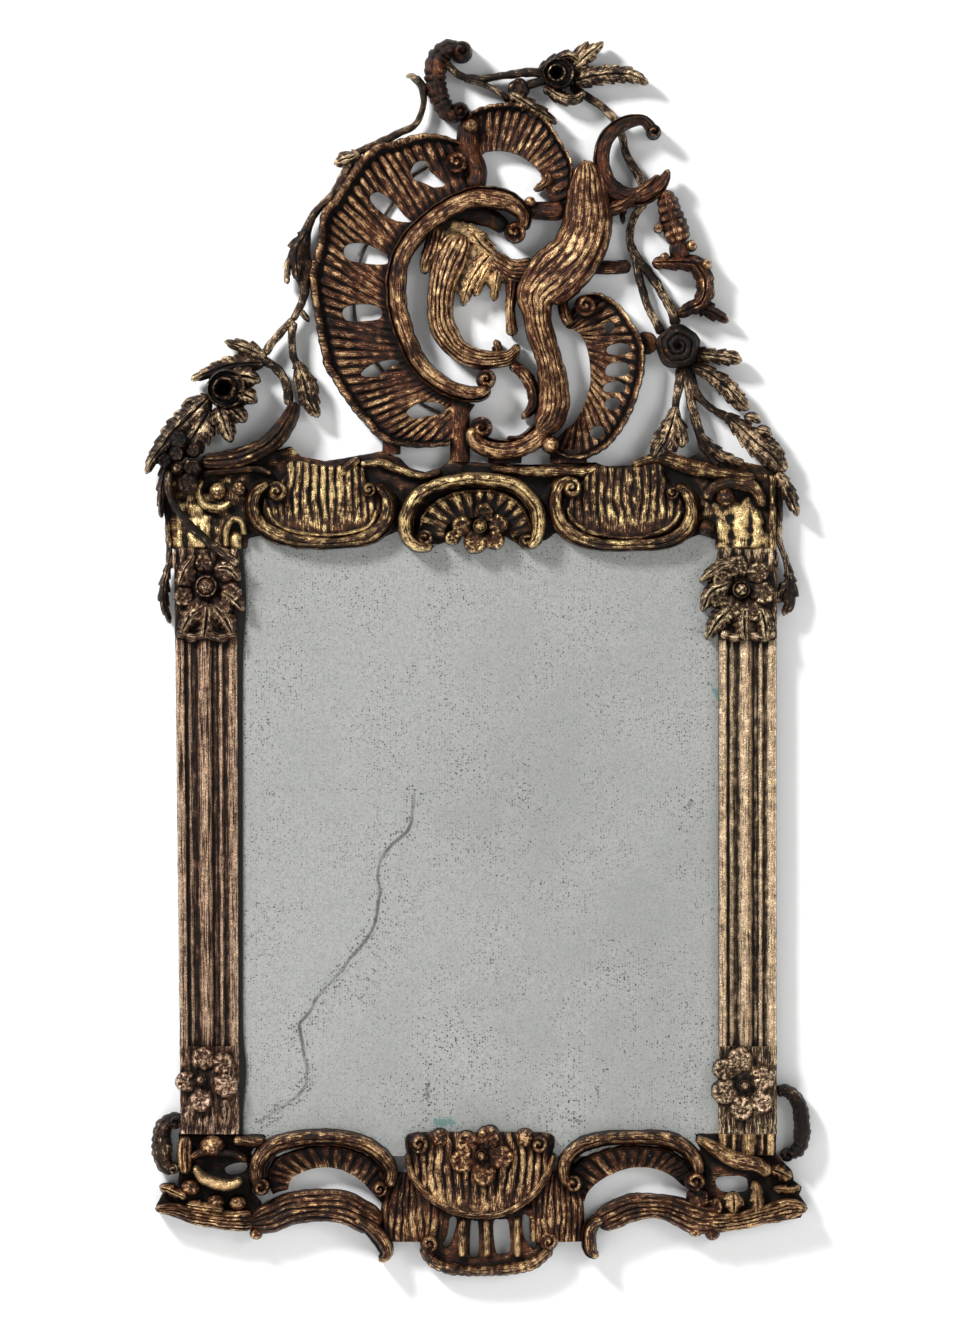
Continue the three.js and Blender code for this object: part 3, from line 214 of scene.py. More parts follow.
def blurred(field_mm: np.ndarray, reach: tuple[int, int], drop: float) -> np.ndarray:
    """Averages a height field over its neighbourhood, with lower ground outside it.

    Args:
        field_mm: Heights on a grid.
        reach: Half window in rows and columns.
        drop: How much lower the outside counts.

    Returns:
        The averaged heights.
    """
    result = field_mm
    for axis, half in enumerate(reach):
        pad = [(half, half) if k == axis else (0, 0) for k in range(2)]
        wide = np.pad(result, pad, mode="edge")
        edge = [slice(None)] * 2
        for part in (slice(0, half), slice(-half, None)):
            edge[axis] = part
            wide[tuple(edge)] -= drop if axis == 1 else 0
        result = sum(np.roll(wide, shift, axis=axis) for shift in range(-half, half + 1)) / (2 * half + 1)
        edge[axis] = slice(half, -half)
        result = result[tuple(edge)]
    return result


def within(x: np.ndarray, z: np.ndarray, ring: np.ndarray) -> np.ndarray:
    """Tells which points lie inside a closed outline.

    Args:
        x: Places across.
        z: Places up.
        ring: Outline points, one a row.

    Returns:
        True where a point is inside.
    """
    inside = np.zeros(x.shape, bool)
    for (ax, az), (bx, bz) in zip(ring, np.roll(ring, -1, axis=0)):
        if az == bz:
            continue
        crosses = (az > z) != (bz > z)
        inside ^= crosses & (x < (bx - ax) * (z - az) / (bz - az) + ax)
    return inside


def onto(x: np.ndarray, z: np.ndarray, ring: np.ndarray) -> tuple[np.ndarray, np.ndarray, np.ndarray]:
    """Finds the nearest point of a closed outline.

    Args:
        x: Places across.
        z: Places up.
        ring: Outline points, one a row.

    Returns:
        The nearest points' places across and up, and their distances.
    """
    best = np.full(x.shape, FAR_AWAY)
    near_x, near_z = x.copy(), z.copy()
    for a, b in zip(ring, np.roll(ring, -1, axis=0)):
        edge = b - a
        span = max(float(edge @ edge), 1e-9)
        share = np.clip(((x - a[0]) * edge[0] + (z - a[1]) * edge[1]) / span, 0, 1)
        px, pz = a[0] + share * edge[0], a[1] + share * edge[1]
        far = np.hypot(px - x, pz - z)
        nearer = far < best
        best = np.where(nearer, far, best)
        near_x, near_z = np.where(nearer, px, near_x), np.where(nearer, pz, near_z)
    return near_x, near_z, best


def profile(section: Section, s: np.ndarray, flutes: int, depth: float) -> np.ndarray:
    """Gives the height across a band.

    Args:
        section: Which profile.
        s: Place across, from -1 to 1.
        flutes: Number of reeds, where the profile has them.
        depth: Depth of the reeds as a share of the height.

    Returns:
        Heights as shares of the full height.
    """
    fall = rounded(np.abs(s) ** 5)
    if section is Section.ROUND:
        return 0.45 + 0.55 * rounded(s**2)
    if section is Section.ROLL:
        shifted = s + 0.15 * (1 - s**2)
        return 0.45 + 0.52 * rounded(shifted**2) - 0.05 * bell(s, 0.35, 0.12)
    if section is Section.COVED:
        body = rounded(np.abs((s + 0.2) / 0.86) ** 2.6)
        fillet = 0.2 * bell(s, 0.84, 0.11) - 0.05 * bell(s, 0.05, 0.06)
        return (0.6 + 0.36 * body + fillet) * (0.55 + 0.45 * fall)
    if section is Section.REEDED:
        reeds = np.abs(np.sin(math.pi * flutes * (s + 1) / 2)) ** 0.8
        crown = 0.16 * (1 - s**2)
        return (0.84 + crown - depth * (1 - reeds)) * (0.55 + 0.45 * fall)
    if section is Section.LEAF:
        fold = bell(s, 0, 0.11)
        rolled = 0.05 * bell(np.abs(s), 0.9, 0.1)
        return 0.5 + 0.42 * np.clip(1 - np.abs(s) ** 1.8, 0, 1) - 0.12 * fold + rolled
    if section is Section.SHAFT:
        return np.interp(s, SHAFT_PLACES, SHAFT_HEIGHTS)
    return 0.86 + 0.1 * fall + 0.04 * s


def grid_over(ring: np.ndarray, step: float) -> tuple[np.ndarray, np.ndarray, np.ndarray, np.ndarray]:
    """Lays a square grid over an outline.

    Args:
        ring: Outline points, one a row.
        step: Spacing of the grid.

    Returns:
        Places across, places up, and the lowest and highest corner.
    """
    low, top = ring.min(axis=0) - step, ring.max(axis=0) + step
    across, up = (np.arange(low[k], top[k] + step, step) for k in (0, 1))
    x, z = np.meshgrid(across, up, indexing="ij")
    return x, z, low, top


def closed_rows(rows: int, columns: int) -> tuple[np.ndarray, np.ndarray, list[list[int]]]:
    """Joins the rows of a grid whose columns close into a ring.

    Args:
        rows: Number of rows.
        columns: Number of corners in each row.

    Returns:
        The corner numbers, those of the next corner round, and the faces between the rows.
    """
    index = np.arange(rows * columns).reshape(rows, columns)
    after = np.roll(index, -1, axis=1)
    quads = np.stack([index[:-1], after[:-1], after[1:], index[1:]], axis=2)
    return index, after, quads.reshape(-1, 4).tolist()


def placed(name: str, data: bpy.types.ID) -> bpy.types.Object:
    """Adds an object to the scene.

    Args:
        name: Its name.
        data: Its mesh, lamp or camera.

    Returns:
        The object, at the origin.
    """
    item = bpy.data.objects.new(name, data)
    bpy.context.scene.collection.objects.link(item)
    return item


def as_piece(
        mesh: bpy.types.Mesh, material: bpy.types.Material, values: dict[str, np.ndarray],
        crease: float) -> bpy.types.Object:
    """Finishes a mesh and adds it to the scene.

    Args:
        mesh: The mesh, named as the piece.
        material: Its finish.
        values: Values that its corners carry, by name.
        crease: Angle in degrees from which an edge stays sharp.

    Returns:
        The piece.
    """
    for title, numbers in values.items():
        attribute = mesh.attributes.new(title, "FLOAT", "POINT")
        attribute.data.foreach_set("value", numbers.astype(np.float32))
    mesh.validate()
    mesh.shade_smooth()
    mesh.set_sharp_from_angle(angle=math.radians(crease))
    mesh.materials.append(material)
    piece = placed(mesh.name, mesh)
    LOG.info("%s: %d faces", mesh.name, len(mesh.polygons))
    return piece


@dataclass
class Carving:
    """Gathers closed carved forms and makes one mesh of them."""

    name: str
    seed: int = 1
    points: list[np.ndarray] = field(default_factory=list)
    faces: list[list[int]] = field(default_factory=list)
    flow: list[np.ndarray] = field(default_factory=list)
    relief: list[np.ndarray] = field(default_factory=list)
    gilt: list[np.ndarray] = field(default_factory=list)
    total: int = 0

    def add(
            self, points: np.ndarray, faces: Iterable[Sequence[int]], flow: np.ndarray, relief: np.ndarray,
            gilt: float | np.ndarray) -> None:
        """Adds one closed form.

        Args:
            points: Corners in millimetres: across, forward from the wall, up.
            faces: Corner numbers of each face.
            flow: Place along and across the form, in centimetres.
            relief: How high each corner stands in its neighbourhood, 0 to 1.
            gilt: How much gilding is left, 0 to 1.
        """
        self.points.append(points * [MM, -MM, MM])
        self.faces.extend([int(k) + self.total for k in face] for face in faces)
        self.flow.append(flow)
        self.relief.append(np.clip(relief, 0, 1))
        self.gilt.append(np.broadcast_to(gilt, len(points)))
        self.total += len(points)
        self.seed += 1

    def stroke(
            self, rows: Rows, back: float = 0, front: float = 44, section: Section = Section.ROLL,
            gilt: float = 0.4, flutes: int = 6, depth: float = 0.08, teeth: float = 0, pitch: float = 9,
            blunt: bool = False, square: bool = False, step: float = 2.6, grain: float = 1) -> None:
        """Carves a band along a path.

        Args:
            rows: Path rows of across, up, half width and, if needed, share of the height.
            back: Depth of its flat back.
            front: Depth of its highest line.
            section: Profile across it.
            gilt: How much gilding is left.
            flutes: Number of reeds.
            depth: Depth of the reeds.
            teeth: Depth of the notches in its edge, as a share of its half width.
            pitch: Spacing of notches, veins and gadroons in millimetres.
            blunt: Whether its ends are sawn square instead of rounded.
            square: Whether its width is measured level.
            step: Spacing of the mesh along it.
            grain: Strength of the tool marks.
        """
        control = np.array([[*row, 1.0][:4] for row in rows], float)
        samples = control if len(control) == 2 else catmull(control, False)
        line, along = spaced(samples, step)
        heading = np.gradient(line[:, :2], axis=0)
        heading /= np.maximum(np.hypot(*heading.T), 1e-9)[:, None]
        side = np.stack([heading[:, 1], -heading[:, 0]], axis=1)
        if square:
            side = np.tile([1.0, 0.0], (len(line), 1))
        half, lift = line[:, 2].copy(), line[:, 3].copy()
        if not blunt:
            self._ease_ends(half, lift, along)
        widest = line[:, 2].max()
        across = int(np.clip(2 * widest / COLUMN, 10, 100))
        s = np.linspace(-1, 1, across)
        wide = s[None, :] * widest
        u = along[:, None] + 0 * s
        notch = np.abs(np.sin(math.pi * along / pitch)) ** 0.6
        if not blunt:
            line[:, :2] += 0.9 * side * wobble(along / 27, 0, self.seed + 21)[:, None]
        ragged = (0.1 if blunt else 0.9) / np.maximum(half, 1)
        uneven = np.minimum(0.07, ragged) * wobble(along / 11, 0, self.seed)
        edge = half * (1 - teeth * (1 - notch)) * (1 + uneven)
        edge = np.repeat(edge[:, None], across, axis=1)
        warped = s[None, :] + 0 * u
        if section is Section.LEAF:
            edge = self._lobed(half, along / pitch, teeth, s)
        if section is Section.REEDED:
            warped = warped + 0.09 * wobble(u / 34, wide / 9, self.seed + 5) * (1 - warped**2)
            depth = depth * (1 + 0.5 * wobble(u / 30, wide / 7, self.seed + 11))
        height = profile(section, warped, flutes, depth)
        if section is Section.LEAF:
            veins = np.sin(2 * math.pi * (u / (0.5 * pitch) - 0.9 * np.abs(s)))
            height = height + 0.03 * veins * np.abs(s) ** 0.7
        if section is Section.ROLL and teeth > 0:
            height = height - 0.12 * (1 - notch[:, None]) * (0.4 + np.abs(s))
        marks = grain * self._tool_marks(u, wide) * np.minimum(1, half / 7)[:, None]
        rise = (front - back) * lift[:, None] * height + marks
        high = back + np.maximum(rise, 0.8)
        x = line[:, 0, None] + side[:, 0, None] * s * edge
        z = line[:, 1, None] + side[:, 1, None] * s * edge
        window = (2, max(1, int(round(3.2 / (2 * widest / across)))))
        standing = 0.5 + (high - blurred(high, window, 2.0)) / BAND_SPAN
        drawn_out = 0.22 if section is Section.SHAFT else 1
        self._tube(x, high, z, back, along * drawn_out, s * widest, standing, gilt)

    @staticmethod
    def _ease_ends(half: np.ndarray, lift: np.ndarray, along: np.ndarray) -> None:
        """Rounds off both ends of a band, in place.

        Args:
            half: Half width along the band.
            lift: Share of the height along the band.
            along: Distance along the band.
        """
        for reach in (along, along[-1] - along):
            share = np.clip(reach / np.maximum(half * 0.9, 0.5), 0, 1)
            ease = np.sqrt(1 - (1 - share) ** 2)
            half *= np.maximum(ease, 0.12)
            lift *= 0.55 + 0.45 * ease

    @staticmethod
    def _lobed(half: np.ndarray, beat: np.ndarray, teeth: float, s: np.ndarray) -> np.ndarray:
        """Notches the two edges of a leaf, out of step with each other.

        Args:
            half: Half width along the leaf.
            beat: Distance along the leaf, counted in notches.
            teeth: Depth of the notches, as a share of the half width.
            s: Place across, from -1 to 1.

        Returns:
            The half width on the grid.
        """
        lobes = []
        for shift in (0.0, 0.45):
            bite = 1 - np.mod(beat + shift, 1.0) ** 0.7
            lobes.append(half * (1 - teeth * bite))
        share = 1 / (1 + np.exp(-12 * s))[None, :]
        return lobes[0][:, None] * (1 - share) + lobes[1][:, None] * share

    def _tool_marks(self, u: np.ndarray, wide: np.ndarray) -> np.ndarray:
        """Gives the marks that the tools left on a band.

        Args:
            u: Distance along the band, on the grid.
            wide: Distance across the band.

        Returns:
            Heights in millimetres.
        """
        marks = 0.42 * wobble(u / 15, wide / 1.7, self.seed + 40)
        marks = marks + 0.5 * wobble(u / 22, wide / 4.4, self.seed + 60)
        return marks + 0.55 * wobble(u / 8, wide / 8, self.seed + 80)

    def _tube(
            self, x: np.ndarray, high: np.ndarray, z: np.ndarray, back: float, along: np.ndarray,
            across: np.ndarray, standing: np.ndarray, gilt: float) -> None:
        """Closes a carved surface with its sides, its flat back and its two ends.

        Args:
            x: Places across, on the grid of the surface.
            high: Depths forward, on the grid.
            z: Places up, on the grid.
            back: Depth of the flat back.
            along: Distance of each grid row along the form.
            across: Distance of each grid column across the form.
            standing: Relief on the grid.
            gilt: How much gilding is left.
        """
        rows, around = x.shape[0], x.shape[1] + 2
        inset = 0.06
        rings = []
        for places in (x, z):
            left, right = places[:, :1], places[:, -1:]
            tuck = inset * (right - left)
            rings.append(np.concatenate([left + tuck, places, right - tuck], axis=1))
        flat = np.full((rows, 1), back)
        deep = np.concatenate([flat, high, flat], axis=1)
        grid = np.stack([rings[0], deep, rings[1]], axis=2).reshape(-1, 3)
        ends = np.array([grid[:around].mean(axis=0), grid[-around:].mean(axis=0)])
        index, after, faces = closed_rows(rows, around)
        first, last = rows * around, rows * around + 1
        faces += [[int(b), int(a), first] for a, b in zip(index[0], after[0])]
        faces += [[int(a), int(b), last] for a, b in zip(index[-1], after[-1])]
        low = np.full((rows, 1), SIDE_SHADE_RELIEF)
        shade = np.concatenate([low, standing, low], axis=1).reshape(-1)
        span = np.concatenate([[across[0] - 4], across, [across[-1] + 4]])
        flow = np.stack(np.broadcast_arrays(along[:, None], span[None, :]), axis=2).reshape(-1, 2) / 10
        flow = np.concatenate([flow, flow[:1], flow[-1:]]) + self.seed * FLOW_SHIFT
        points = np.concatenate([grid, ends])
        self.add(points, self._outward(points, faces), flow, np.concatenate([shade, [0.4, 0.4]]), gilt)

    @staticmethod
    def _outward(points: np.ndarray, faces: list[list[int]]) -> list[list[int]]:
        """Turns the faces of a closed form outwards.

        Args:
            points: Its corners in millimetres.
            faces: Corner numbers of its faces, all turned the same way.

        Returns:
            The faces, turned outwards in the finished frame.
        """
        turned = points * [1, -1, 1]
        volume = 0.0
        for size in (3, 4):
            some = np.array([face for face in faces if len(face) == size])
            if not len(some):
                continue
            for a, b, c in [(0, 1, 2)] if size == 3 else [(0, 1, 2), (0, 2, 3)]:
                p, q, r = turned[some[:, a]], turned[some[:, b]], turned[some[:, c]]
                volume += float(np.einsum("ij,ij->i", p, np.cross(q, r)).sum())
        return [face[::-1] for face in faces] if volume < 0 else faces

    def slab(
            self, x: np.ndarray, high: np.ndarray, z: np.ndarray, back: float, flow: np.ndarray,
            gilt: float | np.ndarray, outline: np.ndarray | None = None,
            holes: Sequence[np.ndarray] = ()) -> None:
        """Carves a sheet of wood, cut to an outline and pierced.

        Args:
            x: Places across, on a grid.
            high: Depths of the carved front, on the grid.
            z: Places up, on the grid.
            back: Depth of the flat back.
            flow: Place along and across, in centimetres, on the grid.
            gilt: How much gilding is left.
            outline: Closed outline that the sheet is cut to.
            holes: Closed outlines that are cut out.
        """
        middle_x = (x[:-1, :-1] + x[1:, 1:] + x[:-1, 1:] + x[1:, :-1]) / 4
        middle_z = (z[:-1, :-1] + z[1:, 1:] + z[:-1, 1:] + z[1:, :-1]) / 4
        keep = np.ones(middle_x.shape, bool)
        if outline is not None:
            keep &= within(middle_x, middle_z, outline)
        for hole in holes:
            keep &= ~within(middle_x, middle_z, hole)
        touched = np.zeros(x.shape, int)
        for di in (0, 1):
            for dk in (0, 1):
                touched[di:x.shape[0] - 1 + di, dk:x.shape[1] - 1 + dk] += keep
        rim = (touched > 0) & (touched < 4)
        x, z = x.copy(), z.copy()
        distance = np.full(x.shape, FAR_AWAY)
        for ring in [*([outline] if outline is not None else []), *holes]:
            near_x, near_z, far = onto(x, z, ring)
            distance = np.minimum(distance, far)
            reach = rim & (far < OUTLINE_REACH)
            x, z = np.where(reach, near_x, x), np.where(reach, near_z, z)
        standing = 0.5 + (high - blurred(high, (3, 3), 0)) / SHEET_SPAN
        soft = np.clip(distance / 3.0, 0, 1)
        high = back + (high - back) * (1 - 0.22 * (1 - soft) ** 2)
        # Corners near a cut edge count as standing higher, so the finish paints less shade and more gold
        # there: a painted edge highlight
        standing = standing + 0.16 * bell(distance, 0, 2.2)
        self._sheet(x, high, z, back, keep, flow, standing, gilt)

    def _sheet(
            self, x: np.ndarray, high: np.ndarray, z: np.ndarray, back: float, keep: np.ndarray,
            flow: np.ndarray, standing: np.ndarray, gilt: float | np.ndarray) -> None:
        """Builds the front, back and walls of the kept cells of a grid.

        Args:
            x: Places across, on the grid.
            high: Depths of the front, on the grid.
            z: Places up, on the grid.
            back: Depth of the flat back.
            keep: Which cells are kept.
            flow: Place along and across, in centimetres, on the grid.
            standing: Relief on the grid.
            gilt: How much gilding is left.
        """
        rows, columns = x.shape
        index = np.arange(rows * columns).reshape(rows, columns)
        far = rows * columns
        cells = np.stack([index[:-1, :-1], index[:-1, 1:], index[1:, 1:], index[1:, :-1]], axis=2)[keep]
        faces = cells.tolist() + (cells[:, ::-1] + far).tolist()
        edges: dict[tuple[int, int], None] = {}
        for cell in cells.tolist():
            for a, b in zip(cell, cell[1:] + cell[:1]):
                if (b, a) in edges:
                    del edges[(b, a)]
                else:
                    edges[(a, b)] = None
        faces += [[b, a, a + far, b + far] for a, b in edges]
        points = np.concatenate([
            np.stack([x, high, z], axis=2).reshape(-1, 3),
            np.stack([x, np.full(x.shape, back), z], axis=2).reshape(-1, 3),
        ])
        live = np.array(sorted({k for face in faces for k in face}))
        renumber = np.full(len(points), -1)
        renumber[live] = np.arange(len(live))
        faces = [[int(renumber[k]) for k in face] for face in faces]
        both = np.concatenate([flow.reshape(-1, 2), flow.reshape(-1, 2)]) + self.seed * FLOW_SHIFT
        shade = np.concatenate([standing.reshape(-1), np.full(far, SIDE_SHADE_RELIEF)])
        points = points[live]
        faces = self._outward(points, faces)
        gold = np.tile(np.broadcast_to(gilt, x.shape).reshape(-1), 2)[live]
        self.add(points, faces, both[live], shade[live], gold)

    def shell(
            self, outer: Rows, inner: Rows, back: float, low: float, high: float, rim: float, ribs: int,
            gilt: float = 0.4, holes: Sequence[Rows] = (), rib_depth: float = 4.5,
            step: float = 2.2) -> None:
        """Carves a ribbed shell between two edge lines, with a rolled rim.

        Args:
            outer: Points of the outer edge.
            inner: Points of the inner edge.
            back: Depth of its flat back.
            low: Depth at the inner edge.
            high: Depth below the rim.
            rim: Depth of the rim.
            ribs: Number of ribs.
            gilt: How much gilding is left.
            holes: Openings between the ribs.
            rib_depth: Height of the ribs.
            step: Spacing of the mesh.
        """
        far = catmull(np.array(outer, float), False)
        near = catmull(np.array(inner, float), False)
        length = np.hypot(*np.diff(far, axis=0).T).sum()
        count = int(length / step)
        places = np.linspace(0, 1, count)
        far, near = resampled(far, places), resampled(near, places)
        width = float(np.hypot(*(far - near).T).max())
        v = np.linspace(0, 1, int(np.clip(width / step, 10, 50)))
        run, reach = places[:, None] * length, v[None, :] * width
        drift = 0.3 * wobble(run / 25, reach / 40, self.seed + 3)
        phase = math.pi * ribs * places[:, None] + drift
        scallop = np.abs(np.sin(phase)) ** 0.8
        out = (far - near) / np.maximum(np.hypot(*(far - near).T), 1e-6)[:, None]
        sway = 1.3 * (scallop[:, -1] - 0.6) + 2.0 * wobble(run[:, 0] / 34, 0, self.seed + 7)
        far = far + out * sway[:, None]
        x = near[:, 0, None] * (1 - v) + far[:, 0, None] * v
        z = near[:, 1, None] * (1 - v) + far[:, 1, None] * v
        base = low + (high - low) * v - 4.5 * np.sin(math.pi * v)
        roll = bell(v, 0.95, 0.045, 4) * (rim - high)
        groove = -1.6 * bell(v, 0.87, 0.03)
        swell = 0.4 + 0.6 * bell(v, 0.72, 0.2)
        ribbed = rib_depth * (scallop - 0.5) * swell * np.clip((0.93 - v) / 0.06, 0.25, 1)
        depth = base[None, :] + roll + groove + ribbed
        depth = depth + 1.1 * wobble(reach / 26, run / 4.6, self.seed)
        depth = depth + 0.75 * wobble(reach / 17, run / 1.9, self.seed + 1)
        depth = depth + 0.9 * wobble(run / 17, reach / 15, self.seed + 2)
        depth[:, -1] = depth[:, -1] - 5
        flow = np.stack(np.broadcast_arrays(v[None, :] * width / 10, places[:, None] * length / 10), axis=2)
        rings = [catmull(np.array(hole, float), True, 8)[:-1] for hole in holes]
        level = gilt - 0.14 * bell(v, 0.96, 0.08, 4)[None, :] + 0 * run
        self.slab(x, depth, z, back, flow, level, holes=rings)

    def plate(
            self, outline: Rows, back: float, front: float, gilt: float = 0.4, holes: Sequence[Rows] = (),
            swells: Rows = (), rough: float = 1.2, step: float = 3.0) -> None:
        """Carves a board with an uneven, rocky ground.

        Args:
            outline: Points of its outline.
            back: Depth of its flat back.
            front: Depth of its front.
            gilt: How much gilding is left.
            holes: Openings.
            swells: Soft upright ridges: across, top, half width and height.
            rough: Height of the unevenness.
            step: Spacing of the mesh.
        """
        ring = np.array(outline, float)
        x, z, _, _ = grid_over(ring, step)
        lumps = wobble(x / 31, z / 27, self.seed) + 0.5 * wobble(x / 11, z / 12, self.seed + 9)
        high = front - rough + rough * lumps
        level = np.full(x.shape, float(gilt))
        for middle, crest, half, tall in swells:
            aside = x - middle - 1.6 * wobble(z / 16, middle, self.seed)
            share = np.exp(-(np.abs(aside / half) ** 2.6)) / (1 + np.exp((z - crest) / 4))
            high, level = high + tall * share, level + 0.14 * share
        flow = np.stack([z, x] if len(swells) else [x, z], axis=2) / 10
        rings = [catmull(np.array(hole, float), True, 8)[:-1] for hole in holes]
        self.slab(x, high, z, back, flow, level, outline=ring, holes=rings)

    def fluted(
            self, outline: Rows, back: float, front: float, pitch: float, gilt: float, depth: float = 4.5,
            crown: float = 0, step: float = 1.9) -> None:
        """Carves a field of upright flutes with a smooth outline.

        Args:
            outline: Points of its outline.
            back: Depth of its flat back.
            front: Depth of its front.
            pitch: Spacing of the flutes.
            gilt: How much gilding is left.
            depth: Depth of the flutes.
            crown: How much the middle stands forward of the sides.
            step: Spacing of the mesh.
        """
        ring = catmull(np.array(outline, float), True, 8)[:-1]
        x, z, low, top = grid_over(ring, step)
        bent = x + 0.5 * pitch * wobble(x / 32, z / 50, self.seed)
        flute = np.abs(np.sin(math.pi * bent / pitch)) ** 0.8
        share = (z - low[1]) / (top[1] - low[1])
        fade = np.clip((share - 0.14) / 0.25, 0.12, 1) * (1 + 0.4 * wobble(x / 13, z / 34, self.seed + 2))
        away = (2 * x - low[0] - top[0]) / (top[0] - low[0])
        high = front - depth * (1 - flute) * fade - crown * away**2
        high = high + 0.8 * wobble(x / 2, z / 18, self.seed + 4) + 0.8 * wobble(x / 9, z / 9, self.seed + 6)
        self.slab(x, high, z, back, np.stack([z, x], axis=2) / 10, gilt, outline=ring)

    def _turned(
            self, kind: Turned, rr: np.ndarray, aa: np.ndarray, hand: int,
            x: float) -> tuple[np.ndarray, np.ndarray]:
        """Gives the relief of a round form.

        Args:
            kind: Which relief.
            rr: Distance from the middle, from 0 to 1, on the grid.
            aa: Angle, on the grid.
            hand: Way round of a spiral.
            x: Place across, which sets the lobes of a rose.

        Returns:
            How far out the edge lies at each angle, and the heights on the grid.
        """
        angle = aa[0]
        edge = np.ones_like(angle)
        dome = rounded(rr**2.4)
        if kind is Turned.KNOB:
            height = 0.5 + 0.5 * dome
        elif kind is Turned.SPIRAL:
            coil = np.cos(hand * aa + 2 * math.pi * 1.25 * rr)
            height = 0.58 + 0.34 * dome + 0.13 * coil * np.clip(rr * 3, 0, 1) * (1 - 0.4 * rr)
        elif kind is Turned.PETAL:
            edge = 1 + 0.06 * wobble(angle * 2.2, 0, self.seed) - 0.05 * np.cos(angle)
            cup = 0.16 * bell(rr, 0.76, 0.26) * (0.6 + 0.4 * np.cos(aa))
            vein = 0.05 * np.cos(6 * aa + 3 * self.seed) * rr
            height = 0.58 + cup + vein + 0.14 * dome - 0.1 * np.clip(-np.cos(aa), 0, 1) * rr
        elif kind is Turned.BUTTON:
            rim = 0.22 * bell(rr, 0.84, 0.11)
            height = 0.66 + rim + 0.34 * rounded((rr / 0.7) ** 2)
        elif kind is Turned.CUP:
            edge = 1 + 0.05 * wobble(angle * 1.8, 0, self.seed)
            rings = 0.2 * bell(rr, 0.9, 0.07) + 0.26 * bell(rr, 0.5, 0.09)
            height = 0.7 + rings + 0.05 * wobble(rr * 5, aa * 2, self.seed) - 0.55 * bell(rr, 0, 0.3, 4)
        else:
            edge = 1 + 0.04 * np.cos(5 * angle + x)
            coil = np.abs(np.sin(aa / 2 + math.pi * 3.2 * rr)) ** 0.5
            height = 0.7 + 0.2 * dome + 0.11 * coil * np.clip(rr * 4, 0, 1) - 0.12 * bell(rr, 0, 0.14)
        return edge, height

    def boss(
            self, x: float, z: float, radius: float, back: float = 0, front: float = 44,
            kind: Turned = Turned.KNOB, wide: float = 1, turn: float = 0, hand: int = 1,
            gilt: float = 0.4) -> None:
        """Carves a round or oval form.

        Args:
            x: Place across.
            z: Place up.
            radius: Its half height.
            back: Depth of its flat back.
            front: Depth of its highest point.
            kind: Its relief.
            wide: Half width as a share of the half height.
            turn: Angle that it is turned by.
            hand: Way round of a spiral.
            gilt: How much gilding is left.
        """
        circles = int(np.clip(radius / 0.9, 8, 26))
        sides = int(np.clip(radius * 3.2, 20, 64))
        r = np.linspace(0, 1, circles + 1)[1:]
        angle = np.linspace(0, 2 * math.pi, sides, endpoint=False)
        rr, aa = np.meshgrid(r, angle, indexing="ij")
        edge, height = self._turned(kind, rr, aa, hand, x)
        height = np.maximum(height * (1 - 0.25 * rr**8), 0.2)
        deep = back + (front - back) * height
        deep = deep + 0.3 * wobble(rr * radius / 9, aa, self.seed)
        aside = -0.26 * radius * (1 - rr) if kind is Turned.CUP else 0
        px, pz = rr * edge * radius * wide * np.cos(aa) + aside, rr * edge * radius * np.sin(aa)
        gx = x + px * math.cos(turn) - pz * math.sin(turn)
        gz = z + px * math.sin(turn) + pz * math.cos(turn)
        top = np.stack([gx, deep, gz], axis=2).reshape(-1, 3)
        foot = np.stack([gx[-1], np.full(sides, back), gz[-1]], axis=1)
        centre = np.array([[gx[0].mean(), deep[0].mean(), gz[0].mean()], [x, back, z]])
        points = np.concatenate([top, foot, centre])
        index, _, faces = closed_rows(circles, sides)
        base = circles * sides
        hub, pin = base + sides, base + sides + 1
        for k in range(sides):
            after = (k + 1) % sides
            faces.append([hub, int(index[0, after]), int(index[0, k])])
            faces.append([int(index[-1, k]), int(index[-1, after]), base + after, base + k])
            faces.append([pin, base + k, base + after])
        wrapped = np.concatenate([deep[:, -2:], deep, deep[:, :2]], axis=1)
        standing = 0.5 + (deep - blurred(wrapped, (1, 1), 0)[:, 2:-2]) / BOSS_SPAN
        # The outer ring counts as standing higher, so the finish paints less shade and more gold on it: a
        # painted highlight
        standing[-1] += 0.25
        shade = np.concatenate([standing.reshape(-1), np.full(sides, SIDE_SHADE_RELIEF), [0.5, SIDE_SHADE_RELIEF]])
        flow = points[:, [0, 2]] * (0.3, 0.033)
        self.add(points, self._outward(points, faces), flow, shade, gilt)

    def flower(
            self, heart: Row, petals: Rows, back: float = 0, front: float = 54, gilt: float = 0.4) -> None:
        """Carves a flower.

        Args:
            heart: Across, up and radius of its buttoned heart.
            petals: Across, up, half width and half height of each petal.
            back: Depth of its flat back.
            front: Depth of its heart.
            gilt: How much gilding is left.
        """
        x, z, radius = heart
        for px, pz, wide, high in petals:
            out = math.atan2(pz - z, px - x)
            size = (wide + high) / 2
            self.boss(px, pz, size * 1.12, back, front - 5, Turned.PETAL, wide=1.1, turn=out, gilt=gilt)
        self.boss(x, z, radius, back, front, Turned.BUTTON, gilt=gilt)

    def leaf(
            self, rows: Rows, back: float = 0, front: float = 34, gilt: float = 0.2, teeth: float = 0.4,
            pitch: float = 17) -> None:
        """Carves a veined leaf with a notched edge.

        Args:
            rows: Path rows of across, up and half width.
            back: Depth of its flat back.
            front: Depth of its highest line.
            gilt: How much gilding is left.
            teeth: Depth of the notches, as a share of the half width.
            pitch: Spacing of the notches and veins.
        """
        self.stroke(rows, back, front, Section.LEAF, gilt, teeth=teeth, pitch=pitch, step=1.8)

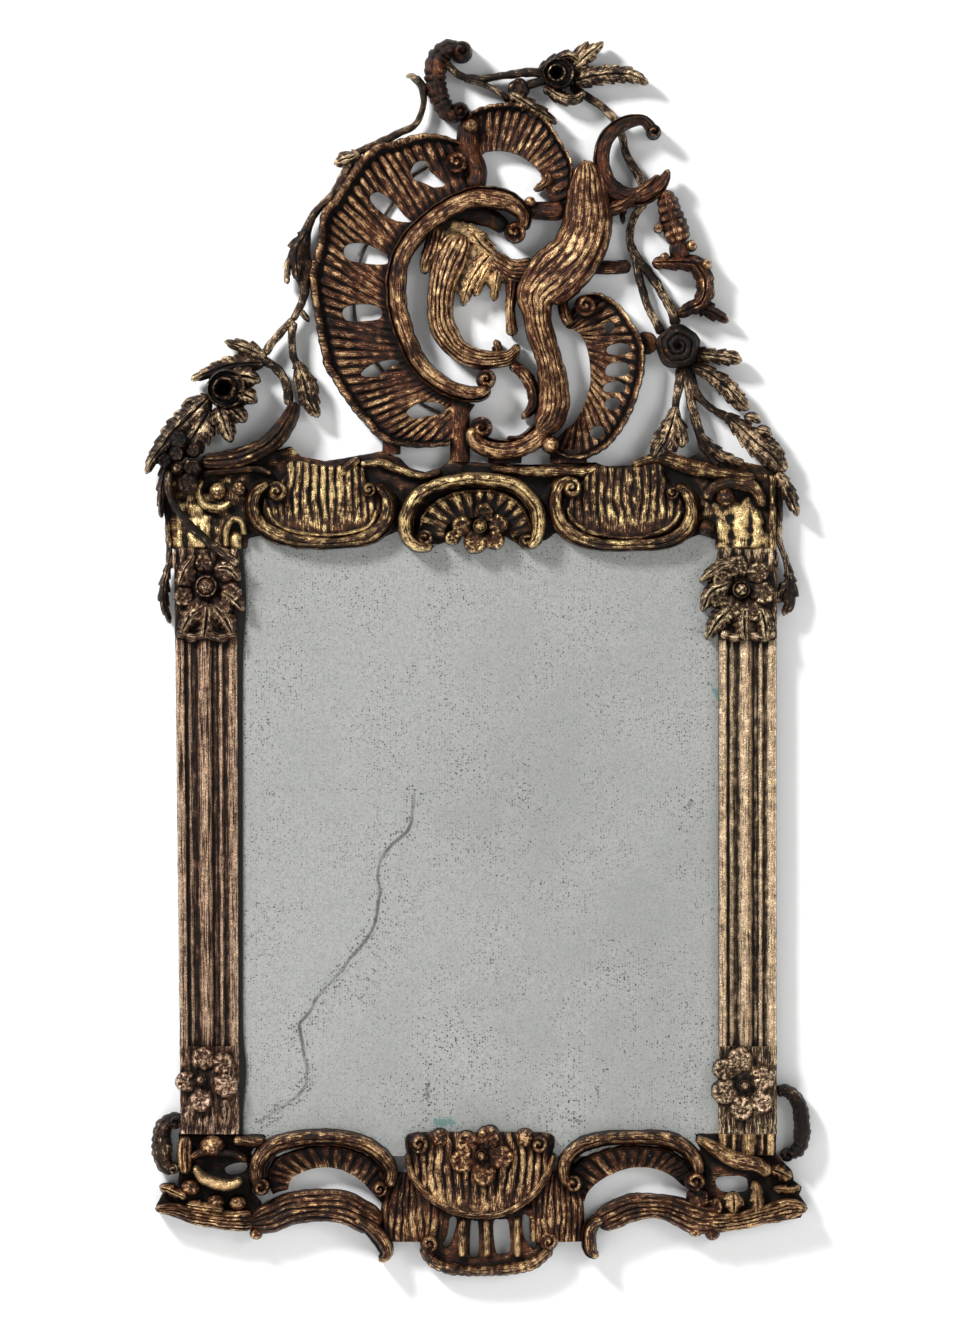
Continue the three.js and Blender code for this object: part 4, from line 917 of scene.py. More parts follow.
    @staticmethod
    def sunken(points: np.ndarray) -> np.ndarray:
        """Works out how far each corner lies below the carving round it.

        Args:
            points: The corners, in metres.

        Returns:
            Values from 0, level with its surroundings, to 1, deep in a hollow.
        """
        cell, reach, deep = 2.0, 3, 11.0
        place = points[:, [0, 2]] / MM / cell
        place = place - place.min(axis=0) + 2 * reach
        index = np.floor(place).astype(int)
        top = np.zeros(index.max(axis=0) + 2 * reach + 1)
        forward = -points[:, 1] / MM
        np.maximum.at(top, tuple(index.T), forward)
        for axis in (0, 1, 0, 1):
            top = np.maximum(top, np.maximum(np.roll(top, 1, axis=axis), np.roll(top, -1, axis=axis)))
        around = blurred(blurred(top, (reach, reach), 0), (1, 1), 0)
        low = np.floor(place - 0.5).astype(int)
        share = place - 0.5 - low
        level = np.zeros(len(points))
        for i in (0, 1):
            for k in (0, 1):
                weight = np.abs(1 - i - share[:, 0]) * np.abs(1 - k - share[:, 1])
                level += weight * around[low[:, 0] + i, low[:, 1] + k]
        return np.clip((level - forward) / deep, 0, 1)

    def build(self, material: bpy.types.Material) -> bpy.types.Object:
        """Makes the mesh object.

        Args:
            material: Its finish.

        Returns:
            The object, at the origin.
        """
        mesh = bpy.data.meshes.new(self.name)
        points = np.concatenate(self.points)
        mesh.from_pydata(points.tolist(), [], self.faces)
        flow = np.concatenate(self.flow)
        corner = np.empty(len(mesh.loops), dtype=np.int32)
        mesh.loops.foreach_get("vertex_index", corner)
        layer = mesh.uv_layers.new(name="flow")
        layer.data.foreach_set("uv", flow[corner].astype(np.float32).ravel())
        # relief and sunk feed the finish's painted shade in low and sunk places and its painted highlight
        # on high ones
        values = {
            "relief": np.concatenate(self.relief), "gilt": np.concatenate(self.gilt),
            "sunk": self.sunken(points)}
        return as_piece(mesh, material, values, WOOD_CREASE)


class NodeSheet:
    """Adds and joins nodes in a node tree."""

    def __init__(self, tree: bpy.types.NodeTree) -> None:
        """Takes the tree that it works on."""
        self.tree = tree

    def add(
            self, kind: str, values: dict[int | str, object] | None = None,
            **settings: object) -> bpy.types.Node:
        """Adds a node.

        Args:
            kind: Name of the node type.
            values: Socket values by name or number; a socket given as a value is joined.
            **settings: Properties of the node.

        Returns:
            The node.
        """
        node = self.tree.nodes.new(kind)
        for name, value in settings.items():
            setattr(node, name, value)
        self.feed(node, values or {})
        return node

    def feed(self, node: bpy.types.Node, values: dict[int | str, object]) -> None:
        """Sets the sockets of a node and joins those that are given a socket.

        Args:
            node: The node.
            values: Socket values by name or number.
        """
        for key, value in values.items():
            if isinstance(value, Socket):
                self.tree.links.new(value, node.inputs[key])
            else:
                node.inputs[key].default_value = value

    def maths(self, operation: str, *terms: object, clamp: bool = False) -> Socket:
        """Adds a Math node and returns its result."""
        node = self.add("ShaderNodeMath", dict(enumerate(terms)), operation=operation, use_clamp=clamp)
        return node.outputs[0]

    def product(self, first: object, second: object) -> Socket:
        """Multiplies two values and returns the result."""
        return self.maths("MULTIPLY", first, second)

    def total(self, base: object, *parts: tuple[object, object]) -> Socket:
        """Adds weighted values to a value.

        Args:
            base: The value that they are added to.
            *parts: Pairs of a value and its weight.

        Returns:
            The sum.
        """
        for value, weight in parts:
            base = self.maths("ADD", base, self.product(value, weight))
        return base

    def ramp(self, value: object, low: float, high: float, start: float = 0, end: float = 1) -> Socket:
        """Eases a value between two limits.

        Args:
            value: The value.
            low: Where it starts to change.
            high: Where it has changed.
            start: Result at the low limit.
            end: Result at the high limit.

        Returns:
            The result.
        """
        limits = {0: value, 1: low, 2: high, 3: start, 4: end}
        return self.add("ShaderNodeMapRange", limits, interpolation_type="SMOOTHSTEP").outputs[0]

    def mix(self, share: object, first: object, second: object, way: str = "MIX") -> Socket:
        """Mixes two colours, plainly or in another named way, and returns the result."""
        colours = {0: share, 6: first, 7: second}
        return self.add("ShaderNodeMix", colours, data_type="RGBA", blend_type=way).outputs[2]

    def noise(self, place: object, scale: float, detail: float = 3, rough: float = 0.55) -> Socket:
        """Adds a noise pattern and returns its value."""
        values = {"Vector": place, "Scale": scale, "Detail": detail, "Roughness": rough}
        return self.add("ShaderNodeTexNoise", values).outputs[0]

    def stretched(self, place: object, by: tuple[float, float, float]) -> Socket:
        """Scales a place along each axis and returns it."""
        return self.add("ShaderNodeVectorMath", {0: place, 1: by}, operation="MULTIPLY").outputs[0]

    def carried(self, name: str) -> Socket:
        """Reads a value that the corners of the mesh carry."""
        return self.add("ShaderNodeAttribute", attribute_name=name).outputs["Fac"]

    def place(self) -> Socket:
        """Reads the place on the part, in metres."""
        return self.add("ShaderNodeTexCoord").outputs["Object"]


def new_tree(
        name: str, kind: str, inputs: Sequence[tuple[str, str]],
        outputs: Sequence[tuple[str, str]]) -> NodeSheet:
    """Makes a node tree with its sockets.

    Args:
        name: Its name.
        kind: Its type.
        inputs: Name and kind of each input.
        outputs: Name and kind of each output.

    Returns:
        A sheet on the tree.
    """
    tree = bpy.data.node_groups.new(name, kind)
    for way, sockets in (("INPUT", inputs), ("OUTPUT", outputs)):
        for title, held in sockets:
            tree.interface.new_socket(name=title, in_out=way, socket_type="NodeSocket" + held)
    return NodeSheet(tree)


def new_finish(name: str) -> tuple[bpy.types.Material, NodeSheet, bpy.types.Node]:
    """Makes a plain material.

    Args:
        name: Its name.

    Returns:
        The material, a sheet on its tree and its shader.
    """
    material = bpy.data.materials.new(name)
    material.use_nodes = True
    tree = material.node_tree
    return material, NodeSheet(tree), tree.nodes["Principled BSDF"]


def worn_gilding() -> bpy.types.NodeTree:
    """Builds the shared effect of gold leaf worn through to the bole and the wood, with painted shade in
    low and sunk places and painted highlights and glints on the gold.

    Returns:
        The node group, with its colour, roughness, metal and height.
    """
    sheet = new_tree(
        "worn gilding", "ShaderNodeTree",
        (("Gold", "Color"), ("Bole", "Color"), ("Grime", "Color"), ("Cover", "Float"), ("Shine", "Float"),
         ("Blush", "Float"), ("Streaky", "Float")),
        (("Color", "Color"), ("Roughness", "Float"), ("Metallic", "Float"), ("Height", "Float")))
    given = sheet.add("NodeGroupInput").outputs
    place = sheet.place()
    flow = sheet.add("ShaderNodeUVMap", uv_map="flow").outputs[0]
    relief, gilt, sunk = (sheet.carried(name) for name in ("relief", "gilt", "sunk"))
    patches = sheet.noise(place, 26, 4)
    blotches = sheet.noise(place, 105, 5, 0.66)
    streaks = sheet.noise(sheet.stretched(flow, (0.36, 3.3, 1.0)), 2.4, 6, 0.66)
    specks = sheet.noise(place, 640, 3, 0.65)

    streaky = given["Streaky"]
    even, drawn = sheet.total(0.9, (streaky, -0.75)), sheet.total(1.15, (streaky, 0.6))
    tone = sheet.total(sheet.product(streaky, 0.45), (patches, even), (blotches, even), (streaks, drawn))
    # Gold share: worn gilding at random, raised on high corners as a painted highlight and lowered in sunk
    # ones as painted shade
    gold = sheet.total(tone, (sunk, -0.3), (relief, 0.3), (gilt, 0.8), (specks, 0.5), (given["Cover"], 0.8))
    gold = sheet.ramp(gold, 2.5, 2.72)
    # Darkening towards the grime colour: partly dirt at random from the blotches, partly painted shade in
    # low and sunk places
    grime_and_shade = sheet.ramp(sheet.total(relief, (sunk, -0.5), (blotches, 0.5)), 0.6, 0.3)
    warm = sheet.ramp(sheet.total(tone, (gilt, 0.5)), 1.46, 1.82)
    under = sheet.mix(warm, given["Grime"], given["Bole"])

    # Brighter and darker leaf at random; where this lifts the gold colour above 1 it is a painted glint
    tone_and_glint = sheet.ramp(sheet.total(blotches, (streaks, 0.9), (specks, 0.7)), 1.08, 1.6, 0.3, 1.24)
    leaf = sheet.mix(1.0, given["Gold"], tone_and_glint, "MULTIPLY")
    blushed = sheet.product(given["Blush"], sheet.ramp(gilt, 0.3, 0.42))
    blushed = sheet.product(blushed, sheet.ramp(streaks, 0.42, 0.6))
    colour = sheet.mix(gold, under, sheet.mix(blushed, leaf, (0.5, 0.3, 0.25, 1)))
    colour = sheet.mix(sheet.product(grime_and_shade, 0.9), colour, given["Grime"])
    # Painted shade: the colour is darkened in sunk hollows and on low corners, sides and backs included
    hollow = sheet.ramp(sunk, 0.2, 0.9, 1.0, 0.36)
    hollow = sheet.product(sheet.ramp(relief, 0.24, 0.58, 0.26, 1.0), hollow)
    colour = sheet.mix(1.0, colour, hollow, "MULTIPLY")

    rough = sheet.maths("SUBTRACT", 0.36, sheet.product(gold, given["Shine"]))
    rough = sheet.total(rough, (grime_and_shade, 0.2), (specks, 0.12))
    metal = sheet.maths("MULTIPLY", gold, sheet.maths("SUBTRACT", 0.95, grime_and_shade), clamp=True)
    height = sheet.total(streaks, (blotches, 0.6), (specks, 0.5), (gold, 0.1))
    sheet.add("NodeGroupOutput", {"Color": colour, "Roughness": rough, "Metallic": metal, "Height": height})
    return sheet.tree


@dataclass(frozen=True)
class Gilding:
    """A worn gilded finish, with painted shade in its hollows and painted highlights and glints on its
    gold.
    """

    name: str
    gold: Colour
    bole: Colour
    grime_and_shade: Colour
    cover: float
    shine: float = 0.15
    blush: float = 0.0
    streaky: float = 0.3
    relief: float = 0.0012
    specular: float = 0.15

    def make(self, effect: bpy.types.NodeTree) -> bpy.types.Material:
        """Makes the material.

        Args:
            effect: The shared worn gilding group.

        Returns:
            The material.
        """
        material, sheet, shader = new_finish(self.name)
        worn = sheet.add("ShaderNodeGroup", node_tree=effect)
        sheet.feed(
            worn,
            {"Gold": self.gold, "Bole": self.bole, "Grime": self.grime_and_shade, "Cover": self.cover,
             "Shine": self.shine, "Blush": self.blush, "Streaky": self.streaky})
        result = worn.outputs
        bump = sheet.add(
            "ShaderNodeBump", {"Height": result["Height"], "Strength": 1.0, "Distance": self.relief})
        sheet.feed(
            shader,
            {"Base Color": result["Color"], "Roughness": result["Roughness"],
             "Metallic": result["Metallic"], "Normal": bump.outputs[0],
             "Specular IOR Level": self.specular})
        return material


@dataclass(frozen=True)
class OldGlass:
    """Aged silvering behind old glass, finely speckled, with a dark vein, dark and teal stains and a
    painted shadow strip along its left edge; its pale, half-metal silver is partly a painted reflection of
    the lit room.
    """

    name: str = "old mirror glass"
    # The silver is pale and the plate only half metal, so its even brightness partly stands in for the
    # reflected lit room: a painted reflection on the aged silvering
    silver_and_reflection: Colour = (0.52, 0.53, 0.51, 1)
    cloud: Colour = (0.36, 0.37, 0.355, 1)
    mark_and_shadow: Colour = (0.014, 0.014, 0.013, 1)
    teal: Colour = (0.12, 0.2, 0.19, 1)
    roughness: float = 0.24
    metal: float = 0.45
    specular: float = 0.2

    @staticmethod
    def pepper(sheet: NodeSheet, place: Socket, scale: float, crowd: Socket) -> Socket:
        """Scatters small round dark dots.

        Args:
            sheet: The tree to add to.
            place: Where on the plate.
            scale: Dots in a metre.
            crowd: How large the dots are, from none at 0.

        Returns:
            The mask of the dots.
        """
        where = {"Vector": place, "Scale": scale}
        cells = sheet.add("ShaderNodeTexVoronoi", where, voronoi_dimensions="2D").outputs
        luck = sheet.add("ShaderNodeSeparateColor", {0: cells["Color"]}).outputs[0]
        reach = sheet.product(sheet.maths("POWER", luck, 1.8), sheet.maths("MINIMUM", crowd, 1.5))
        reach = sheet.product(reach, 0.31)
        return sheet.ramp(sheet.maths("SUBTRACT", cells["Distance"], reach), 0.03, -0.05)

    def make(self) -> bpy.types.Material:
        """Makes the material.

        Returns:
            The material.
        """
        material, sheet, shader = new_finish(self.name)
        place = sheet.place()
        vein, stain, lost = (sheet.carried(name) for name in ("vein", "stain", "lost"))
        haze = sheet.noise(place, 3.2, 6, 0.68)
        grain = sheet.noise(place, 420, 5, 0.85)
        spread = sheet.noise(place, 13, 6, 0.72)
        rugged = sheet.noise(place, 120, 5, 0.7)
        colour = sheet.mix(sheet.ramp(haze, 0.3, 0.6, 0.35, 1.0), self.cloud, self.silver_and_reflection)
        colour = sheet.mix(sheet.product(sheet.ramp(grain, 0.4, 0.64), 0.9), colour, self.cloud)

        far = sheet.maths("ABSOLUTE", vein)
        line = sheet.ramp(sheet.total(far, (rugged, 4.0)), 6.8, 2.3)
        line = sheet.product(line, sheet.ramp(spread, 0.38, 0.6, 0.42, 0.85))
        halo = sheet.ramp(sheet.total(far, (rugged, 8.0)), 19.0, 5.0)
        even = sheet.total(sheet.ramp(spread, 0.32, 0.68, 0.5, 1.0), (stain, 0.8))
        crowd = sheet.total(even, (halo, 1.3))
        spot = sheet.add("ShaderNodeSeparateXYZ", {0: place}).outputs
        flat = sheet.add("ShaderNodeCombineXYZ", {0: spot[0], 1: spot[2]}).outputs[0]
        fine = self.pepper(sheet, flat, 310, sheet.product(crowd, 1.25))
        specks = sheet.maths("MAXIMUM", fine, self.pepper(sheet, flat, 150, sheet.product(even, 0.75)))

        # Dark smudges: real stains, and the painted shadow strip along the left edge beside the stile
        smudge_and_shadow = sheet.ramp(sheet.total(stain, (rugged, 0.9)), 0.8, 1.0)
        smudge_and_shadow = sheet.product(smudge_and_shadow, sheet.ramp(stain, 0.62, 0.8, 0.62, 0.98))
        dark = sheet.maths("MAXIMUM", sheet.maths("MAXIMUM", sheet.product(specks, 0.85), line), smudge_and_shadow)
        colour = sheet.mix(dark, colour, self.mark_and_shadow)
        bare = sheet.ramp(sheet.total(lost, (rugged, 1.1)), 0.86, 1.2, 0.0, 0.9)
        colour = sheet.mix(bare, colour, self.teal)
        dull = sheet.maths("MAXIMUM", dark, bare)
        sheet.feed(
            shader,
            {"Base Color": colour, "Roughness": sheet.total(self.roughness, (dark, 0.3)),
             "Metallic": sheet.total(self.metal, (dull, -0.6)), "Specular IOR Level": self.specular})
        return material


@dataclass(frozen=True)
class BarePine:
    """Old bare pine boards with upright grain."""

    name: str = "bare pine"
    light: Colour = (0.3, 0.19, 0.1, 1)
    dark: Colour = (0.16, 0.095, 0.05, 1)

    def make(self) -> bpy.types.Material:
        """Makes the material.

        Returns:
            The material.
        """
        material, sheet, shader = new_finish(self.name)
        place = sheet.place()
        grain = sheet.noise(sheet.stretched(place, (60.0, 60.0, 2.4)), 1.3, 5, 0.6)
        stain = sheet.noise(place, 7, 4)
        colour = sheet.mix(sheet.ramp(sheet.total(grain, (stain, 0.5)), 0.55, 0.95), self.dark, self.light)
        bump = sheet.add("ShaderNodeBump", {"Height": grain, "Strength": 0.5, "Distance": 0.0008})
        sheet.feed(
            shader,
            {"Base Color": colour, "Roughness": sheet.ramp(grain, 0.3, 0.7, 0.85, 0.68),
             "Normal": bump.outputs[0]})
        return material


@dataclass(frozen=True)
class DarkIron:
    """Dull dark wire."""

    name: str = "dark iron"
    iron: Colour = (0.03, 0.027, 0.024, 1)
    rust: Colour = (0.09, 0.045, 0.025, 1)
    metal: float = 0.6

    def make(self) -> bpy.types.Material:
        """Makes the material.

        Returns:
            The material.
        """
        material, sheet, shader = new_finish(self.name)
        spots = sheet.noise(sheet.place(), 260, 4)
        sheet.feed(
            shader,
            {"Base Color": sheet.mix(sheet.ramp(spots, 0.45, 0.65), self.iron, self.rust),
             "Roughness": sheet.ramp(spots, 0.3, 0.7, 0.5, 0.8), "Metallic": self.metal})
        return material


@dataclass
class Crest:
    """The pierced crest: ribbed shells, scrolls and a leafy S between them."""

    back: float = 5
    shell_gilt: float = 0.38
    scroll_gilt: float = 0.46
    dark_gilt: float = 0.08
    fan_gilt: float = 0.72

    def shells(self, wood: Carving) -> None:
        """Carves the three ribbed shells with their openings.

        Args:
            wood: The carving that it is added to.
        """
        openings = [
            [(-83, 393), (-77, 404), (-66, 406), (-59, 393), (-48, 385), (-42, 377), (-54, 374), (-69, 380),
             (-79, 384)],
            [(-132, 363), (-123, 369), (-111, 363), (-99, 351), (-89, 339), (-79, 333), (-96, 333),
             (-111, 339), (-126, 351)],
            [(-163, 300), (-156, 307), (-138, 307), (-117, 297), (-111, 291), (-113, 282), (-138, 283),
             (-159, 288)],
            [(-165, 225), (-156, 233), (-132, 234), (-118, 228), (-120, 217), (-138, 214), (-159, 214)],
            [(-143, 150), (-132, 161), (-114, 167), (-101, 168), (-97, 163), (-111, 156), (-126, 147)],
            [(-88, 105), (-75, 115), (-54, 117), (-42, 111), (-45, 103), (-63, 100), (-78, 97)],
        ]
        wood.shell(
            [(-24, 428), (-58, 438), (-100, 431), (-128, 422), (-152, 396), (-174, 366), (-190, 340),
             (-197, 304), (-203, 262), (-199, 226), (-191, 186), (-182, 150), (-160, 117), (-137, 90),
             (-114, 67), (-80, 62), (-38, 64)],
            [(-6, 374), (-30, 364), (-52, 350), (-72, 333), (-88, 312), (-98, 290), (-104, 266),
             (-106, 244), (-103, 222), (-96, 200), (-86, 178), (-74, 160), (-60, 144), (-46, 132),
             (-34, 124), (-22, 118), (-6, 114)],
            self.back, 20, 25, 34, 46, self.shell_gilt, openings, rib_depth=4.6)
        wood.shell(
            [(-20, 446), (-8, 464), (22, 474), (55, 471), (80, 455), (100, 426), (111, 398), (106, 362)],
            [(-2, 380), (2, 412), (16, 418), (34, 417), (52, 410), (66, 399), (76, 384), (84, 352)],
            self.back, 20, 27, 37, 19, self.shell_gilt + 0.05, rib_depth=4.2)
        slots = [
            [(151, 150), (153, 161), (166, 165), (178, 162), (178, 150), (165, 147)],
            [(150, 111), (152, 120), (163, 122), (169, 116), (160, 107)],
            [(132, 76), (136, 87), (146, 88), (149, 81), (142, 73)],
            [(152, 176), (154, 184), (168, 188), (180, 184), (178, 176), (165, 173)],
            [(149, 130), (151, 139), (164, 142), (174, 137), (170, 129)],
            [(148, 207), (155, 214), (162, 207), (155, 200)],
        ]
        wood.shell(
            [(82, 62), (102, 51), (128, 51), (152, 63), (170, 84), (186, 112), (196, 146), (198, 178),
             (188, 204), (166, 234), (142, 248), (122, 244)],
            [(102, 84), (112, 92), (121, 106), (128, 122), (132, 140), (132, 158), (130, 174), (126, 188),
             (120, 198), (112, 204), (104, 206), (100, 214)],
            self.back, 20, 25, 35, 24, self.scroll_gilt, slots, rib_depth=4)

    def scrolls(self, wood: Carving) -> None:
        """Carves the C-scrolls and the long leafy S.

        Args:
            wood: The carving that it is added to.
        """
        gilt = self.scroll_gilt
        wood.stroke(
            [(52, 322, 7), (53, 340, 9), (36, 356, 13), (8, 362, 14), (-22, 357, 13), (-50, 342, 12.5),
             (-76, 318, 12.5), (-94, 290, 12.5), (-101, 258, 12.5), (-98, 222, 12.5), (-84, 182, 12.5),
             (-62, 150, 12), (-36, 133, 11), (-6, 126, 10), (12, 134, 7)],
            self.back, 47, Section.COVED, gilt - 0.06)
        wood.stroke(
            [(-24, 540, 10), (-38, 540, 12), (-51, 526, 14), (-53, 502, 14), (-48, 480, 13), (-38, 463, 11),
             (-24, 457, 9)],
            self.back, 38, Section.ROLL, self.dark_gilt, teeth=0.24, pitch=8.5)
        wood.stroke(
            [(-52, 330, 8), (-60, 300, 9), (-66, 283, 7), (-66, 270, 5)], self.back, 33, Section.REEDED,
            gilt, flutes=3, depth=0.12)
        wood.stroke(
            [(-54, 328, 8), (-24, 342, 10), (10, 338, 12), (32, 324, 8)], self.back, 20, Section.ROUND,
            0.05)
        wood.stroke(
            [(10, 292, 12), (40, 274, 14), (72, 276, 18)], self.back, 34, Section.REEDED, gilt, flutes=6,
            depth=0.08)
        wood.stroke(
            [(-22, 318, 18), (-36, 285, 21), (-46, 250, 16), (-47, 220, 16), (-38, 194, 15), (-20, 175, 13),
             (6, 167, 12), (34, 170, 9), (46, 186, 5)],
            self.back, 35, Section.REEDED, gilt + 0.05, flutes=6, depth=0.09)
        wood.stroke(
            [(125, 406, 9), (128, 384, 20), (129, 352, 28), (126, 320, 31), (112, 290, 33), (88, 266, 34),
             (68, 244, 26), (68, 220, 17), (73, 195, 17), (82, 168, 16), (88, 142, 18), (89, 118, 19),
             (84, 98, 18), (70, 80, 14)],
            self.back, 49, Section.REEDED, gilt, flutes=7, depth=0.05)
        wood.stroke(
            [(80, 92, 15), (66, 74, 14), (42, 62, 12.5), (16, 61, 12.5), (-4, 72, 11.5), (-6, 88, 9)],
            self.back, 42, Section.COVED, gilt)
        wood.stroke(
            [(40, 282, 14), (38, 250, 8), (36, 225, 6), (40, 196, 8)], self.back, 31, Section.LEAF, gilt,
            pitch=14)
        wood.stroke(
            [(112, 262, 14), (100, 242, 7), (101, 224, 7), (108, 208, 6)], self.back, 33, Section.LEAF,
            gilt)
        wood.stroke(
            [(36, 164, 7), (54, 150, 8), (64, 132, 9), (65, 112, 8), (50, 97, 4)], self.back, 31,
            Section.LEAF, gilt, teeth=0.12, pitch=16)
        wood.stroke(
            [(206, 440, 8), (194, 453, 7), (172, 449, 9), (152, 432, 9.5), (146, 405, 10), (152, 378, 12),
             (174, 362, 12), (200, 366, 11), (218, 380, 8), (226, 395, 3)],
            16, 41, Section.COVED, self.dark_gilt + 0.08)

    def leaves(self, wood: Carving) -> None:
        """Carves the acanthus leaves inside the scrolls.

        Args:
            wood: The carving that it is added to.
        """
        fan = {"back": self.back, "front": 33, "gilt": self.fan_gilt, "teeth": 0.3}
        wood.plate(
            [(-56, 330), (-38, 337), (-10, 330), (8, 318), (16, 300), (26, 284), (46, 272), (44, 256),
             (20, 262), (14, 250), (4, 262), (-6, 244), (-12, 256), (-22, 240), (-30, 250), (-34, 270),
             (-60, 290)],
            self.back, 25, self.fan_gilt + 0.16, step=2.4)
        wood.leaf([(-44, 326, 10), (-50, 306, 10), (-58, 286, 7), (-68, 273, 3)], self.back, 31, 0.5)
        wood.leaf([(16, 296, 12), (0, 278, 14), (-14, 255, 10), (-21, 232, 4)], **fan)
        wood.leaf([(18, 292, 9), (4, 268, 9), (-7, 244, 5)], **fan)
        wood.leaf([(24, 284, 9), (20, 262, 8), (16, 238, 5)], **fan)
        wood.leaf([(-10, 320, 16), (2, 305, 14), (20, 290, 10)], **fan)
        wood.leaf([(24, 168, 10), (21, 184, 7), (19, 192, 4)], self.back, 32, 0.3)
        wood.leaf([(72, 82, 8), (54, 74, 6), (32, 74, 3)], self.back, 37, 0.4)
        wood.leaf([(84, 392, 10), (76, 376, 7), (64, 372, 4)], self.back, 29, 0.4)
        wood.leaf([(168, 358, 9), (171, 342, 5), (172, 330, 2)], self.back, 25, 0.2)
        wood.leaf([(262, 232, 14), (284, 220, 9), (298, 213, 4)], self.back, 31, 0.2)
        wood.leaf([(146, 344, 10), (166, 350, 9), (190, 366, 8), (214, 388, 3)], 16, 44, 0.3, teeth=0.1)

    def horn(self, wood: Carving) -> None:
        """Carves the ribbed horn and the leafy band at the right.

        Args:
            wood: The carving that it is added to.
        """
        wood.stroke(
            [(221, 371, 10), (224, 358, 13), (228, 342, 15), (234, 324, 17), (241, 305, 17)], self.back, 42,
            Section.ROLL, 0.3, teeth=0.2, pitch=9.5)
        wood.stroke(
            [(206, 284, 8), (230, 284, 10), (256, 282, 12), (270, 262, 12), (266, 238, 12), (250, 228, 9),
             (236, 222, 7)],
            self.back, 39, Section.LEAF, 0.25, teeth=0.24, pitch=19)
        wood.stroke([(240, 312, 12), (240, 296, 12), (242, 284, 10)], self.back, 34, Section.ROUND, 0.2)
        for x, z, radius in ((214, 325, 6), (253, 304, 7), (221, 290, 6), (271, 281, 7)):
            wood.boss(x, z, radius, self.back, 39, Turned.KNOB, gilt=0.5)

    def links(self, wood: Carving) -> None:
        """Carves the plain bridges and knobs that tie the crest together.

        Args:
            wood: The carving that it is added to.
        """
        low = {"back": self.back, "section": Section.ROUND, "gilt": 0.25}
        wood.stroke(
            [(-6, 462, 9), (-15, 440, 12), (-12, 414, 13), (-3, 392, 12), (-8, 368, 12)], front=31, **low)
        wood.stroke([(56, 346, 10), (80, 346, 11), (104, 346, 11)], front=31, **low)
        wood.stroke([(126, 280, 10), (156, 278, 8), (181, 280, 9)], front=20, **low)
        wood.stroke([(186, 190, 14), (204, 186, 13), (213, 184, 12)], front=20, **low)
        for x, top, foot, half in (
                (-106, 70, 54.5, 11), (-24, 124, 45, 12), (30, 60, 43.6, 20), (106, 60, 44, 22)):
            wood.stroke([(x, top, half), (x, foot, half)], front=24, blunt=True, **low)
        for x, z, radius, front in ((84, 66, 11, 43), (-11, 447, 9, 43), (60, 356, 7, 40)):
            wood.boss(x, z, radius, self.back, front, Turned.KNOB, gilt=0.6)

    def eyes(self, wood: Carving) -> None:
        """Carves the spiral ends of the scrolls.

        Args:
            wood: The carving that it is added to.
        """
        eyes = (
            (42, 320, 13, 50, 1, 0.4), (7, 144, 12, 49, -1, 0.4), (-22, 536, 13, 43, -1, 0.1),
            (-24, 465, 11, 41, 1, 0.1), (2, 86, 13, 45, -1, 0.35), (126, 232, 13, 43, 1, 0.4),
            (208, 440, 9, 43, -1, 0.15), (-28, 404, 14, 40, 1, 0.35))
        for x, z, radius, front, hand, gilt in eyes:
            wood.boss(x, z, radius, self.back, front, Turned.SPIRAL, hand=hand, gilt=gilt)

    def build(self, finish: bpy.types.Material) -> bpy.types.Object:
        """Builds the carved crest as one piece.

        Args:
            finish: Its finish.

        Returns:
            The piece.
        """
        wood = Carving("carved_crest", seed=100)
        for step in (self.shells, self.scrolls, self.leaves, self.horn, self.links, self.eyes):
            step(wood)
        return wood.build(finish)

    def wire(self, finish: bpy.types.Material) -> bpy.types.Object:
        """Builds the thin iron wire behind the shell.

        Args:
            finish: Its finish.

        Returns:
            The piece.
        """
        line = Carving("iron_wire", seed=900)
        line.stroke(
            [(-62, 399, 2), (-84, 384, 2), (-104, 356, 2), (-124, 326, 2), (-140, 296, 2), (-149, 260, 2),
             (-150, 224, 2), (-142, 190, 2), (-122, 162, 2), (-100, 136, 2), (-72, 116, 2), (-46, 104, 2)],
            0.8, 4.7, Section.ROUND, 0, grain=0.1, step=4)
        return line.build(finish)


